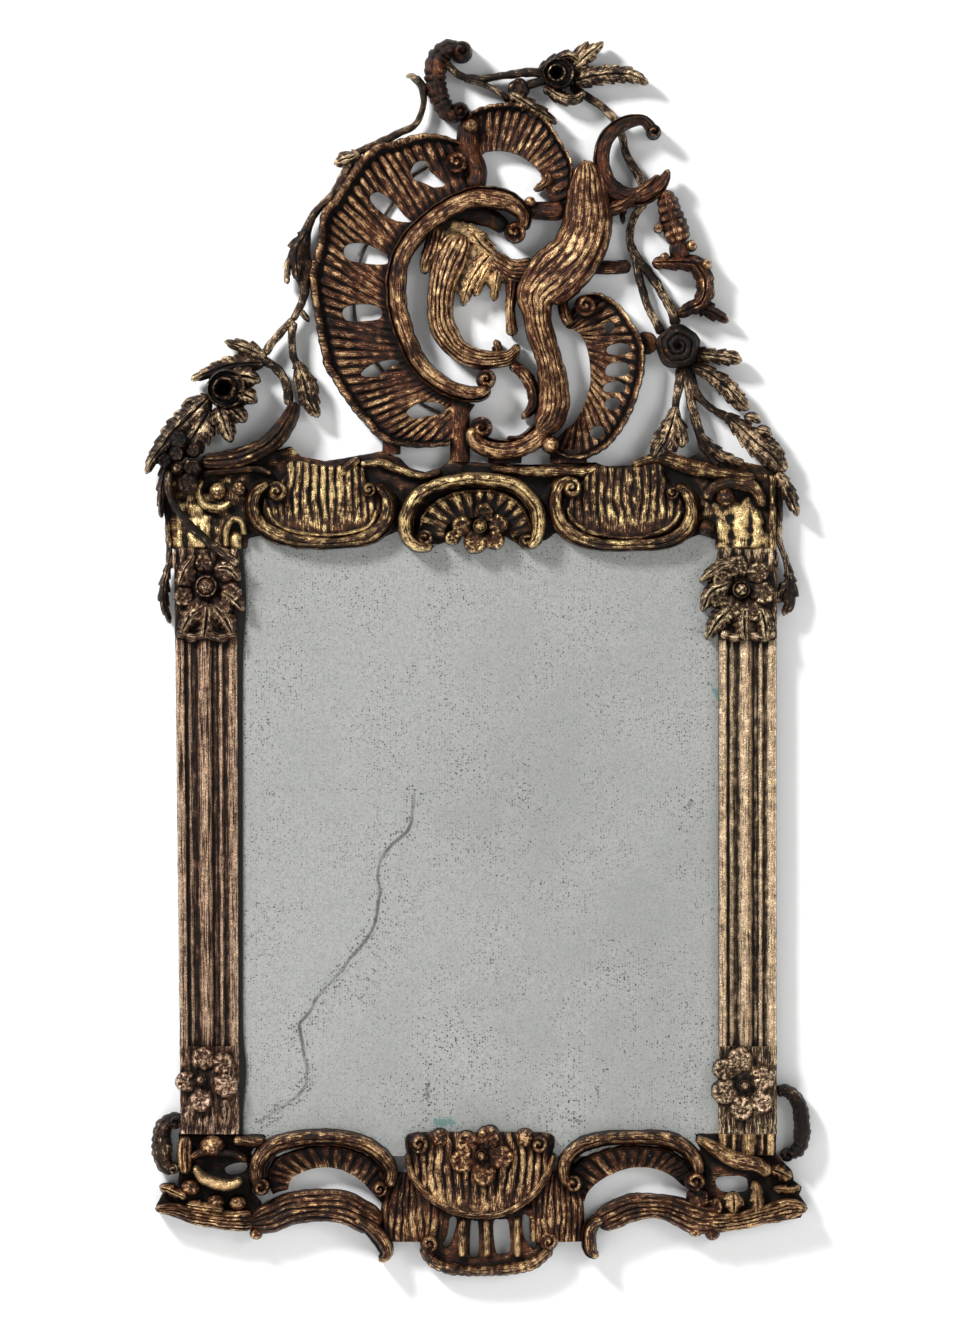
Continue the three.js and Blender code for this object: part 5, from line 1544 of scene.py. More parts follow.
@dataclass
class TopRail:
    """The top rail: a rocky ground with two fluted panels, a shell cartouche and carved corners."""

    depth: float = 24
    foot: float = -59
    left_gilt: float = 0.47
    right_gilt: float = 0.39
    corner_gilt: float = 0.52

    def board(self, wood: Carving) -> None:
        """Carves the board that carries the rest.

        Args:
            wood: The carving that it is added to.
        """
        outline = [
            (-368, self.foot), (-279, self.foot), (-277, -46), (-262, -43), (-230, -52), (-150, -54),
            (-120, -47), (-98, -38), (-80, -50), (-50, -54), (-20, -44), (30, -44), (50, -56), (80, -48),
            (90, -40), (110, -50), (140, -56), (215, -56), (245, -48), (262, -42), (281, -44),
            (283, self.foot), (355, self.foot), (355, 24), (360, 36), (322, 44), (262, 56), (250, 50),
            (205, 54), (192, 42), (150, 40), (138, 45), (60, 42), (0, 44), (-34, 48), (-48, 38), (-66, 33),
            (-84, 38), (-96, 50), (-118, 58), (-150, 52), (-185, 46), (-215, 52), (-226, 64), (-262, 54),
            (-290, 42), (-330, 44), (-362, 44), (-376, 16), (-374, -14)]
        wood.plate(outline, 0, self.depth, 0.32, rough=3, step=2.4)

    def panel(self, wood: Carving, fluted: Rows, frame: Rows, lip: Rows, eyes: Rows, gilt: float) -> None:
        """Carves a fluted panel held by a C-scroll.

        Args:
            wood: The piece it belongs to.
            fluted: Outline of the fluted field.
            frame: Path of the C-scroll.
            lip: Path of the bright lip inside it.
            eyes: Across, up, radius and way round of the spiral ends.
            gilt: How much gilding is left on the flutes.
        """
        wood.fluted(fluted, 8, 31, 9.6, gilt, depth=3.6)
        wood.stroke(frame, 8, 44, Section.COVED, 0.3)
        wood.stroke(lip, 16, 37, Section.ROUND, gilt)
        for x, z, radius, hand in eyes:
            wood.boss(x, z, radius, 10, 47, Turned.SPIRAL, hand=int(hand), gilt=0.45)

    def panels(self, wood: Carving) -> None:
        """Carves both panels.

        Args:
            wood: The carving that it is added to.
        """
        self.panel(
            wood,
            [(-226, 46), (-234, 26), (-256, 6), (-262, -14), (-250, -32), (-222, -42), (-186, -46),
             (-150, -44), (-126, -34), (-114, -14), (-118, 4), (-136, 24), (-144, 40), (-185, 40)],
            [(-252, 20, 5), (-266, 12, 8), (-273, -4, 9), (-268, -24, 10), (-250, -40, 10),
             (-222, -49, 8.5), (-186, -52, 7.5), (-152, -50, 8), (-128, -42, 10), (-113, -28, 10),
             (-108, -9, 10), (-113, 8, 8), (-124, 18, 5)],
            [(-254, -8, 3), (-246, -26, 3.5), (-224, -38, 3.5), (-188, -43, 3), (-156, -40, 3),
             (-132, -31, 3), (-122, -12, 3)],
            [(-243, 9, 13, -1), (-133, 12, 9, 1)], self.left_gilt)
        self.panel(
            wood,
            [(132, 42), (124, 24), (102, 4), (98, -14), (110, -34), (136, -45), (172, -49), (208, -46),
             (234, -36), (246, -16), (240, 4), (222, 24), (213, 44), (172, 37)],
            [(110, 26, 5), (96, 19, 8), (90, 2, 9), (92, -20, 10), (106, -40, 10), (134, -52, 8.5),
             (172, -55, 7.5), (210, -53, 8), (238, -44, 10), (252, -28, 10), (254, -8, 9), (246, 9, 8),
             (233, 15, 5)],
            [(105, -8, 3), (111, -26, 3.5), (134, -40, 3.5), (172, -46, 3), (206, -42, 3), (230, -30, 3),
             (240, -12, 3)],
            [(109, 14, 13, -1), (230, 8, 8, 1)], self.right_gilt)

    def cartouche(self, wood: Carving) -> None:
        """Carves the shell cartouche and its flower.

        Args:
            wood: The carving that it is added to.
        """
        wood.stroke(
            [(-56, -55, 6), (-76, -53, 9), (-87, -38, 10), (-85, -14, 10), (-70, 6, 10), (-44, 18, 9.5),
             (-8, 24, 9.5), (26, 21, 9.5), (50, 11, 10), (66, -8, 10), (70, -30, 10), (66, -48, 9),
             (56, -56, 6)],
            8, 48, Section.COVED, 0.44)
        wood.shell(
            [(-76, -46), (-70, -18), (-50, 1), (-20, 11), (6, 13), (32, 6), (52, -10), (62, -32),
             (62, -52)],
            [(-44, -46), (-40, -32), (-28, -24), (-12, -22), (4, -22), (16, -24), (28, -30), (36, -40),
             (42, -52)],
            12, 28, 33, 36, 14, 0.5)
        wood.boss(-66, -46, 10, 10, 50, Turned.SPIRAL, hand=-1, gilt=0.4)
        wood.boss(56, -50, 10, 10, 44, Turned.SPIRAL, gilt=0.4)
        wood.flower(
            (0, -32, 9),
            [(-21, -32, 13, 10), (5, -17, 12, 10), (21, -29, 12, 10), (-5, -50, 14, 12), (17, -48, 12, 10),
             (-33, -46, 9, 7)],
            16, 54, 0.45)

    def corners(self, wood: Carving) -> None:
        """Carves the two corner blocks and the leafy curl at the left.

        Args:
            wood: The carving that it is added to.
        """
        gilt = self.corner_gilt
        left = [
            (-364, self.foot), (-280, self.foot), (-280, -46), (-272, -30), (-272, 8), (-262, 30),
            (-300, 33), (-345, 26), (-364, 8)]
        swells = [
            (-360, -8, 5, 5), (-345, -22, 8, 7), (-329, -24, 7, 8), (-313, -38, 6, 4), (-336, 20, 12, 3),
            (-292, -29, 9, 8)]
        wood.plate(left, 4, 30, gilt + 0.05, swells=swells, rough=6, step=2)
        right = [
            (264, -42), (282, -48), (282, self.foot), (354, self.foot), (354, 30), (322, 36), (280, 34),
            (262, 16)]
        swells = [(313, -4, 14, 11), (331, -12, 6, 8), (290, -28, 8, 8), (341, -36, 6, 6)]
        wood.plate(right, 4, 28, gilt + 0.04, swells=swells, rough=5, step=2)
        wood.stroke(
            [(350, 28, 5), (350, -20, 5), (350, self.foot, 5)], 10, 35, Section.ROUND, gilt - 0.3,
            blunt=True)
        wood.stroke(
            [(272, -2, 6), (278, 12, 8), (296, 19, 9), (318, 18, 9), (333, 8, 8), (338, -10, 5)], 10, 39,
            Section.ROLL, gilt - 0.28)
        wood.stroke(
            [(-330, 24, 4), (-337, 8, 5), (-329, -7, 6), (-311, -11, 6), (-297, -2, 4)], 10, 36,
            Section.ROLL, gilt - 0.1)
        wood.stroke(
            [(-304, -58, 4), (-303, -37, 4.5), (-295, -25, 5), (-285, -28, 4.5), (-282, -44, 4)], 10, 40,
            Section.ROUND, gilt - 0.1)
        wood.stroke(
            [(-332, 31, 4), (-300, 34, 5), (-268, 36, 5), (-248, 30, 4)], 10, 36, Section.ROLL, 0.15)
        knobs = (
            (-313, 10, 11, 40, Turned.KNOB, 0.0), (294, 3, 12, 40, Turned.KNOB, -0.1),
            (271, -34, 10, 40, Turned.KNOB, -0.4), (-288, 12, 9, 36, Turned.PETAL, 0.0))
        for x, z, radius, front, kind, level in knobs:
            wood.boss(x, z, radius, 12, front, kind, gilt=gilt + level)
        wood.stroke(
            [(-222, 117, 7), (-228, 98, 10), (-239, 80, 12), (-256, 64, 12.5), (-278, 53, 12.5),
             (-304, 47, 12.5), (-334, 46, 9)],
            0, 43, Section.REEDED, 0.18, flutes=4, depth=0.08)

    def ridges(self, wood: Carving) -> None:
        """Carves the low rocky ridges along the top edge.

        Args:
            wood: The carving that it is added to.
        """
        paths = [
            [(-170, 26, 4), (-158, 38, 7), (-144, 50, 4)],
            [(-144, 42, 4), (-120, 44, 6), (-98, 36, 6), (-78, 29, 5), (-60, 29, 5), (-46, 34, 4)],
            [(12, 36, 5), (46, 34, 6), (84, 33, 7), (122, 33, 7), (140, 38, 4)],
            [(182, 40, 4), (214, 50, 8), (250, 40, 10), (290, 30, 8), (330, 26, 6)],
        ]
        for rows in paths:
            wood.stroke(rows, 14, 36, Section.LEAF, 0.4, teeth=0.1, pitch=13)

    def build(self, finish: bpy.types.Material) -> bpy.types.Object:
        """Builds the carved top rail as one piece.

        Args:
            finish: Its finish.

        Returns:
            The piece.
        """
        wood = Carving("carved_top_rail", seed=200)
        for step in (self.board, self.panels, self.cartouche, self.corners, self.ridges):
            step(wood)
        return wood.build(finish)


@dataclass
class Glass:
    """The mirror plate: a flat plate that carries the places of its vein, its stains and a painted shadow
    strip beside the left stile.
    """

    step: float = 3
    vein: tuple[Row, ...] = (
        (-79, -347), (-78, -370), (-88, -396), (-107, -414), (-118, -431), (-121, -450), (-121, -478),
        (-125, -505), (-139, -529), (-164, -562), (-191, -592), (-206, -616), (-216, -634), (-209, -660),
        (-209, -688), (-211, -707), (-240, -731), (-266, -745))
    stains: tuple[Row, ...] = (
        (251, -366, 8, 13, 0.58), (242, -393, 7, 10, 0.54), (-62, -708, 6, 34, 0.57),
        (148, -685, 5, 8, 0.56), (141, -709, 4, 12, 0.6), (118, -744, 9, 7, 0.6),
        (-132, -160, 3.5, 3.5, 0.6), (-122, -202, 3, 3, 0.5), (-122, -226, 3, 3, 0.55),
        (-20, -330, 60, 120, 0.12), (230, -690, 50, 60, 0.2), (-230, -140, 50, 70, 0.14))
    lost: tuple[Row, ...] = ((-43, -746, 20, 9, 0.75), (286, -234, 9, 10, 0.85), (281, -228, 7, 6, 0.7))
    # Where the painted shadow strip beside the left stile begins, and how wide it is
    left_edge: float = -290
    edge: float = 8.0

    def marks(self, x: np.ndarray, z: np.ndarray) -> dict[str, np.ndarray]:
        """Works out the marks in the silvering.

        Args:
            x: Places across.
            z: Places up.

        Returns:
            Distance from the vein, with its side as its sign, strength of the stains together with the
            painted shadow strip along the left edge, and strength of the lost silvering, at each place.
        """
        path = catmull(np.array(self.vein, float), False, 5)
        path[:, 0] += 3.2 * wobble(path[:, 1] / 19, 0, 77)
        ring = np.concatenate([path, path[-2:0:-1]])
        _, _, far = onto(x, z, ring)
        beside = (z < path[0, 1]) & (z > path[-1, 1]) & (x < np.interp(-z, -path[:, 1], path[:, 0]))
        side = np.where(beside, -1, 1)
        fields = {"vein": side * np.minimum(far, 24)}
        for title, rows in (("stain", self.stains), ("lost", self.lost)):
            total = np.zeros(x.shape)
            for cx, cz, wide, high, strength in rows:
                total = np.maximum(
                    total, strength * np.exp(-(((x - cx) / wide) ** 2 + ((z - cz) / high) ** 2)))
            fields[title] = total
        # Painted shadow: a dark strip along the left edge beside the stile, wider at the capital and the
        # foot, laid into the stains
        lumps = 1 + 0.7 * (bell(z, -122, 46) + bell(z, -684, 34))
        shade = bell(np.maximum(x - self.left_edge, 0), 0, self.edge * lumps, 4)
        fields["stain"] = np.maximum(fields["stain"], shade)
        return fields

    def build(
            self, low: Sequence[float], high: Sequence[float],
            finish: bpy.types.Material) -> bpy.types.Object:
        """Builds the plate.

        Args:
            low: Lowest corner of its place, in metres.
            high: Highest corner of its place, in metres.
            finish: Its finish.

        Returns:
            The plate.
        """
        across = np.linspace(low[0], high[0], int((high[0] - low[0]) / MM / self.step))
        up = np.linspace(low[2], high[2], int((high[2] - low[2]) / MM / self.step))
        x, z = np.meshgrid(across, up, indexing="ij")
        front = np.stack([x, np.full(x.shape, low[1]), z], axis=2).reshape(-1, 3)
        index = np.arange(x.size).reshape(x.shape)
        quads = np.stack(
            [index[:-1, :-1], index[1:, :-1], index[1:, 1:], index[:-1, 1:]], axis=2).reshape(-1, 4)
        corners = [
            (low[0], high[1], low[2]), (high[0], high[1], low[2]), (high[0], high[1], high[2]),
            (low[0], high[1], high[2])]
        a, b, c, d = range(x.size, x.size + 4)
        sides = [
            [a, b, *index[::-1, 0].tolist()], [b, c, *index[-1, ::-1].tolist()],
            [c, d, *index[:, -1].tolist()], [d, a, *index[0].tolist()]]
        mesh = bpy.data.meshes.new("old_glass")
        mesh.from_pydata(front.tolist() + corners, [], quads.tolist() + sides + [[d, c, b, a]])
        marks = {
            title: np.concatenate([values.reshape(-1), np.zeros(len(corners))]) for title,
            values in self.marks(x / MM, z / MM).items()}
        return as_piece(mesh, finish, marks, GLASS_CREASE)


@dataclass
class Stile:
    """A stile: a moulded shaft with a carved capital and a carved foot."""

    name: str
    top: tuple[float, float]
    foot: tuple[float, float]
    gilt: float
    wear: float = 0.12
    foot_wear: float = 0.06
    depth: float = 32
    head: float = -59.3
    sole: float = -758.7
    capital_foot: float = -168
    flutes: float = 26
    foot_top: float = -654
    petals: tuple[Row, ...] = ()
    heart: Row = ()
    low_heart: Row = ()
    low_petals: tuple[Row, ...] = ()
    leaves: tuple[Rows, ...] = ()
    low_leaves: tuple[Rows, ...] = ()

    def lean(self, z: float) -> tuple[float, float, float]:
        """Gives a path row of the stile at a height: its middle, the height and its half width.

        Args:
            z: The height.

        Returns:
            The path row.
        """
        share = (z - self.head) / (self.sole - self.head)
        return (
            self.top[0] + share * (self.foot[0] - self.top[0]), z,
            self.top[1] + share * (self.foot[1] - self.top[1]))

    def capital(self, wood: Carving) -> None:
        """Carves the flutes at the top of the capital and the wavy collar at its foot.

        Args:
            wood: The carving that it is added to.
        """
        x, z, half = self.lean(self.head)
        left, right, foot = x - half + 2, x + half - 2, z - self.flutes
        wood.fluted(
            [(left, z), (x, z), (right, z), (right, foot), (x, foot), (left, foot)], 8, self.depth + 2,
            12.5, self.gilt + 0.06 - self.wear, depth=4)
        x, z, half = self.lean(self.capital_foot)
        collar = [
            (x + share * half, z + 5 + 2.6 * math.cos(7 * share),
             6.5) for share in np.linspace(-0.98, 0.98, 9)]
        wood.stroke(collar, 12, 41, Section.ROLL, self.gilt - 0.16, teeth=0.2, pitch=13, grain=2)

    def build(self, finish: bpy.types.Material) -> bpy.types.Object:
        """Builds the carved stile as one piece.

        Args:
            finish: Its finish.

        Returns:
            The piece.
        """
        wood = Carving(self.name, seed=300 + len(self.name))
        for start, end, section in (
                (self.head, self.capital_foot, Section.GROUND),
                (self.capital_foot, self.foot_top, Section.SHAFT),
                (self.foot_top, self.sole, Section.GROUND)):
            plain = section is Section.SHAFT
            worn = 0 if plain else self.wear if start == self.head else self.foot_wear
            wood.stroke(
                [self.lean(start), self.lean(end)], 0, self.depth, section, self.gilt - worn, blunt=True,
                square=True, step=3.4, grain=0.7 if plain else 2.6)
        self.capital(wood)
        for rows in self.leaves:
            wood.leaf(rows, 14, 46, self.gilt - self.wear, teeth=0.3, pitch=15)
        wood.flower(self.heart, self.petals, 14, 53, self.gilt - self.wear)
        for rows in self.low_leaves:
            wood.leaf(rows, 14, 40, self.gilt - self.foot_wear, teeth=0.3, pitch=15)
        wood.flower(self.low_heart, self.low_petals, 14, 50, self.gilt + 0.08 - self.foot_wear)
        return wood.build(finish)


def left_stile() -> Stile:
    """Gives the left stile with its flowers and leaves.

    Returns:
        The stile.
    """
    return Stile(
        "carved_left_stile", (-328, 38), (-323, 35), 0.46,
        petals=((-337, -132, 13, 13), (-311, -130, 14, 14), (-298, -112, 13, 11), (-305, -86, 13, 12),
                (-330, -76, 11, 10), (-350, -92, 11, 12), (-354, -116, 10, 12)),
        heart=(-327, -104, 14),
        leaves=([(-340, -66, 5), (-352, -84, 10), (-360, -104, 6)],
                [(-330, -128, 10), (-346, -140, 14), (-356, -160, 6)],
                [(-326, -126, 10), (-326, -146, 15), (-330, -167, 6)],
                [(-318, -126, 10), (-304, -144, 14), (-296, -162, 6)],
                [(-316, -84, 8), (-300, -84, 12), (-286, -98, 4)],
                [(-310, -110, 8), (-294, -120, 11), (-282, -134, 4)]),
        low_heart=(-334, -693, 7),
        low_petals=((-331, -668, 11, 15), (-351, -696, 11, 12), (-333, -718, 13, 13), (-304, -700, 14, 13),
                    (-308, -674, 12, 12)),
        low_leaves=([(-344, -722, 6), (-346, -736, 10), (-346, -750, 7)],
                    [(-304, -716, 6), (-302, -734, 10), (-306, -750, 7)],
                    [(-300, -664, 5), (-297, -682, 9), (-301, -706, 6)]))


def right_stile() -> Stile:
    """Gives the right stile with its flowers and leaves.

    Returns:
        The stile.
    """
    return Stile(
        "carved_right_stile", (320, 35), (320, 35), 0.58, wear=0.27, foot_wear=0.24,
        petals=((300, -130, 13, 13), (324, -132, 14, 13), (338, -112, 13, 13), (332, -88, 13, 12),
                (308, -80, 12, 12), (290, -96, 12, 12), (286, -118, 12, 11)),
        heart=(312, -108, 11),
        leaves=([(306, -74, 8), (284, -82, 10), (263, -99, 3)],
                [(300, -100, 10), (276, -112, 12), (266, -134, 4)],
                [(302, -130, 12), (284, -146, 14), (270, -167, 4)],
                [(316, -128, 12), (316, -150, 16), (318, -170, 8)],
                [(334, -128, 10), (340, -148, 13), (342, -170, 8)]),
        low_heart=(316, -700, 7),
        low_petals=((311, -670, 12, 16), (293, -682, 12, 13), (293, -708, 14, 14), (338, -692, 14, 14),
                    (313, -727, 14, 13), (337, -720, 13, 13)))


@dataclass
class BottomRail:
    """The bottom rail: a pierced apron with two arches, a bowl with a flower and a basket below it."""

    arch_gilt: float = 0.3
    bowl_gilt: float = 0.44
    left_gilt: float = 0.26
    right_gilt: float = 0.58
    depth: float = 22

    def arch(
            self, wood: Carving, scroll: Rows, outer: Rows, inner: Rows, lower: Rows, drop: Rows,
            eyes: Rows, beads: Rows) -> None:
        """Carves one arch of the apron.

        Args:
            wood: The piece it belongs to.
            scroll: Path of the C-scroll.
            outer: Outer edge of the ribbed cove below it.
            inner: Inner edge of the cove.
            lower: Path of the moulded band below the opening.
            drop: Path of the hanging scroll.
            eyes: Across, up, radius and way round of the spiral ends.
            beads: Across, up and radius of the small knobs.
        """
        wood.stroke(scroll, 0, 43, Section.COVED, self.arch_gilt)
        wood.shell(outer, inner, 4, 18, 24, 29, 17, self.arch_gilt + 0.06, rib_depth=3)
        wood.stroke(lower, 0, 37, Section.REEDED, self.arch_gilt, flutes=6, depth=0.08)
        wood.stroke(drop, 3, 42, Section.COVED, self.arch_gilt)
        for x, z, radius, hand in eyes:
            wood.boss(x, z, radius, 6, 46, Turned.SPIRAL, hand=int(hand), gilt=self.arch_gilt + 0.1)
        for x, z, radius in beads:
            wood.boss(x, z, radius, 8, 33, gilt=0.4)

    def arches(self, wood: Carving) -> None:
        """Carves both arches.

        Args:
            wood: The carving that it is added to.
        """
        self.arch(
            wood,
            [(-256, -826, 6), (-266, -812, 10), (-264, -790, 11), (-246, -773, 11), (-215, -765, 10.5),
             (-175, -764, 10.5), (-142, -770, 10.5), (-120, -784, 10), (-107, -804, 9), (-112, -822, 7)],
            [(-250, -832), (-254, -806), (-240, -786), (-208, -774), (-170, -773), (-138, -782),
             (-118, -798), (-108, -822), (-106, -838)],
            [(-230, -826), (-226, -814), (-212, -805), (-192, -800), (-172, -801), (-152, -809),
             (-137, -821), (-126, -833), (-117, -843)],
            [(-276, -864, 13), (-252, -860, 19), (-225, -849, 20), (-195, -845, 20), (-165, -847, 20),
             (-138, -859, 19), (-118, -868, 16)],
            [(-150, -860, 5), (-132, -872, 9), (-117, -888, 11), (-112, -902, 9), (-121, -911, 4)],
            [(-120, -824, 10, 1), (-262, -822, 11, -1)], [(-268, -878, 8), (-275, -864, 10)])
        self.arch(
            wood,
            [(114, -824, 6), (103, -810, 9), (104, -790, 10), (122, -773, 10), (150, -765, 10),
             (185, -764, 9.5), (220, -765, 10), (244, -775, 10), (258, -792, 10), (260, -810, 8)],
            [(106, -836), (104, -812), (118, -792), (148, -777), (185, -772), (218, -775), (240, -786),
             (252, -804), (252, -824)],
            [(125, -840), (131, -827), (146, -814), (164, -805), (183, -800), (202, -800), (218, -804),
             (232, -812), (243, -822)],
            [(140, -868, 13), (158, -858, 17), (182, -848, 17), (208, -845, 15), (235, -851, 17),
             (260, -861, 19), (292, -862, 14)],
            [(148, -858, 6), (134, -868, 9), (130, -886, 9), (133, -900, 8), (142, -906, 4)],
            [(111, -818, 11, -1), (257, -815, 13, 1)], [(278, -878, 9), (258, -874, 9)])

    def bowl(self, wood: Carving) -> None:
        """Carves the bowl, its flower and the ribbed blocks beside it.

        Args:
            wood: The carving that it is added to.
        """
        gilt = self.bowl_gilt
        wood.fluted(
            [(-86, -760), (-44, -757), (0, -757), (44, -757), (86, -760), (87, -782), (80, -808),
             (62, -830), (34, -848), (0, -853), (-34, -848), (-62, -830), (-82, -808), (-88, -782)],
            0, 38, 10.6, gilt, depth=4, crown=9)
        wood.stroke(
            [(-88, -782, 4), (-82, -808, 5), (-62, -832, 5.5), (-32, -850, 6.5), (0, -855, 6.5),
             (34, -850, 6.5), (62, -832, 5.5), (80, -808, 5), (88, -782, 4)],
            6, 38, Section.ROLL, gilt - 0.1)
        wood.stroke(
            [(-68, -894, 7), (-58, -911, 8), (-34, -921, 8), (0, -923, 7), (36, -921, 8), (64, -913, 8),
             (86, -896, 7)],
            0, 33, Section.ROLL, gilt - 0.1, teeth=0.14, pitch=9)
        for x, z, radius, front, hand in (
                (-73, -770, 12, 50, 1), (70, -771, 11, 48, -1), (-61, -890, 11, 38, 1),
                (82, -888, 11, 36, -1)):
            wood.boss(x, z, radius, 8, front, Turned.SPIRAL, hand=hand, gilt=gilt)
        for x, z in ((-48, -764), (54, -764)):
            wood.boss(x, z, 12, 8, 41, gilt=gilt)
        wood.flower(
            (2, -784, 8),
            [(10, -764, 14, 13), (-20, -790, 15, 13), (25, -785, 15, 12), (5, -805, 14, 14),
             (-15, -769, 13, 12)],
            12, 57, gilt)
        for x, half in ((-80, 38), (92, 32)):
            wood.stroke(
                [(x, -806, half * 0.6), (x, -842, half), (x, -888, half)], 4, 28, Section.REEDED,
                gilt - 0.1, flutes=9, depth=0.12, blunt=True)

    def basket(self, wood: Carving) -> None:
        """Carves the pierced basket.

        Args:
            wood: The carving that it is added to.
        """
        outline = [
            (-70, -893), (-62, -910), (-38, -924), (25, -925), (62, -916), (88, -898), (84, -862),
            (60, -846), (-42, -846), (-62, -862)]
        holes = [
            [(-36, -861), (-28, -861), (-31, -880), (-38, -895), (-45, -893), (-39, -880)],
            [(-11, -866), (-6, -864), (-2, -867), (-2, -904), (-7, -908), (-12, -905)],
            [(16, -866), (25, -862), (34, -865), (36, -899), (27, -904), (19, -901)],
            [(51, -859), (58, -859), (67, -888), (64, -898), (53, -884)]]
        wood.plate(outline, 0, self.depth, 0.35, holes=holes, step=2.4)
        for x, lean in ((-53, -4), (-20, -1), (8, 0), (43, 1), (74, 5)):
            wood.stroke(
                [(x, -858, 5), (x + lean, -880, 5), (x + 1.6 * lean, -908, 5)], 8, 28, Section.ROUND, 0.4)

    def left_corner(self, wood: Carving) -> None:
        """Carves the leafy block at the lower left.

        Args:
            wood: The carving that it is added to.
        """
        gilt = self.left_gilt
        outline = [
            (-361, -759), (-252, -759), (-268, -775), (-276, -796), (-273, -830), (-262, -842),
            (-262, -870), (-285, -876), (-330, -871), (-352, -864), (-370, -855), (-386, -854),
            (-388, -846), (-380, -830), (-362, -822), (-360, -800)]
        hollow = [(-306, -801), (-298, -796), (-280, -794), (-281, -804), (-292, -809), (-303, -808)]
        wood.plate(outline, 0, 20, gilt, holes=[hollow], rough=2.2)
        wood.stroke(
            [(-342, -796, 5), (-332, -811, 8), (-313, -819, 8.5), (-295, -819, 7), (-284, -811, 5)], 8, 41,
            Section.ROUND, 0.8)
        wood.stroke(
            [(-346, -788, 5), (-334, -780, 6), (-312, -781, 6), (-290, -784, 6), (-278, -792, 4)], 8, 36,
            Section.ROLL, 0.1)
        wood.stroke(
            [(-352, -761, 8), (-353, -784, 10), (-351, -808, 8)], 8, 37, Section.REEDED, gilt, flutes=3,
            depth=0.12)
        wood.stroke([(-296, -766, 6), (-274, -768, 8), (-256, -770, 8)], 8, 35, Section.ROLL, gilt)
        for x, z, radius, front in (
                (-320, -773, 13, 43), (-316, -840, 9, 37), (-290, -842, 9, 35), (-346, -823, 10, 35)):
            wood.boss(x, z, radius, 8, front, wide=1.2, gilt=gilt + 0.2)
        wood.leaf([(-384, -822, 5), (-370, -826, 9), (-350, -836, 8)], 0, 41, gilt + 0.2)
        wood.leaf([(-352, -842, 7), (-334, -846, 9), (-306, -850, 5)], 8, 40, gilt + 0.25)
        wood.stroke(
            [(-389, -849, 4), (-366, -850, 9), (-334, -858, 12), (-300, -862, 13), (-270, -862, 14)], 0, 39,
            Section.REEDED, gilt + 0.1, flutes=6, depth=0.09)

    def right_corner(self, wood: Carving) -> None:
        """Carves the leafy block at the lower right.

        Args:
            wood: The carving that it is added to.
        """
        gilt = self.right_gilt
        outline = [
            (256, -759), (355, -759), (354, -784), (374, -804), (376, -816), (386, -824), (382, -832),
            (392, -846), (384, -860), (350, -865), (312, -873), (268, -878), (250, -858), (256, -826),
            (270, -806), (262, -778)]
        opening = [(282, -813), (300, -810), (316, -811), (321, -818), (318, -829), (290, -829)]
        wood.plate(outline, 0, 20, gilt - 0.2, holes=[opening], rough=2.0)
        wood.stroke([(319, -759, 34), (319, -784, 34)], 0, 32, Section.SHAFT, gilt + 0.1, blunt=True)
        wood.stroke(
            [(258, -764, 5), (280, -776, 9), (306, -790, 11), (334, -796, 10), (348, -808, 8)], 8, 39,
            Section.ROLL, gilt - 0.1)
        wood.leaf([(304, -828, 13), (304, -842, 14), (303, -856, 7)], 8, 35, gilt)
        wood.leaf([(328, -814, 5), (332, -836, 10), (332, -860, 7)], 8, 39, gilt)
        wood.leaf([(346, -800, 6), (360, -806, 12), (374, -812, 6)], 0, 42, gilt - 0.1)
        wood.leaf([(350, -824, 5), (366, -826, 8), (384, -824, 4)], 0, 37, gilt - 0.1)
        for x, z, radius, front in ((262, -836, 14, 35), (280, -846, 12, 33)):
            wood.boss(x, z, radius, 8, front, Turned.PETAL, gilt=gilt - 0.1)
        wood.stroke(
            [(272, -864, 12), (300, -864, 12), (340, -856, 12), (370, -848, 14), (392, -848, 5)], 0, 38,
            Section.REEDED, gilt - 0.15, flutes=6, depth=0.09)

    def build(self, finish: bpy.types.Material) -> bpy.types.Object:
        """Builds the carved apron as one piece.

        Args:
            finish: Its finish.

        Returns:
            The piece.
        """
        wood = Carving("carved_apron", seed=500)
        for step in (self.basket, self.bowl, self.arches, self.left_corner, self.right_corner):
            step(wood)
        return wood.build(finish)


@dataclass
class Ear:
    """A gadrooned C-scroll that stands out at the foot of a stile."""

    name: str
    path: tuple[Row, ...]
    eyes: tuple[Row, ...]
    back: float = 2
    front: float = 29
    gilt: float = 0.08

    def build(self, finish: bpy.types.Material) -> bpy.types.Object:
        """Builds the ear as one piece.

        Args:
            finish: Its finish.

        Returns:
            The piece.
        """
        wood = Carving(self.name, seed=700 + len(self.name))
        wood.stroke(self.path, self.back, self.front, Section.ROLL, self.gilt, teeth=0.22, pitch=8)
        for x, z, radius, hand in self.eyes:
            wood.boss(
                x, z, radius, self.back, self.front + 4, Turned.SPIRAL, hand=int(hand),
                gilt=self.gilt + 0.1)
        return wood.build(finish)


LEFT_EAR = Ear(
    "left_scroll_ear",
    ((-354, -744, 8), (-368, -742, 9), (-380, -754, 12), (-381, -776, 13), (-377, -796, 11),
     (-366, -806, 8)),
    ((-365, -745, 9, 1), (-367, -801, 7, -1))
)
RIGHT_EAR = Ear(
    "right_scroll_ear",
    ((354, -710, 9), (368, -709, 9), (381, -722, 10), (386, -748, 10.5), (383, -774, 10), (370, -786, 8)),
    ((368, -785, 8, 1),))


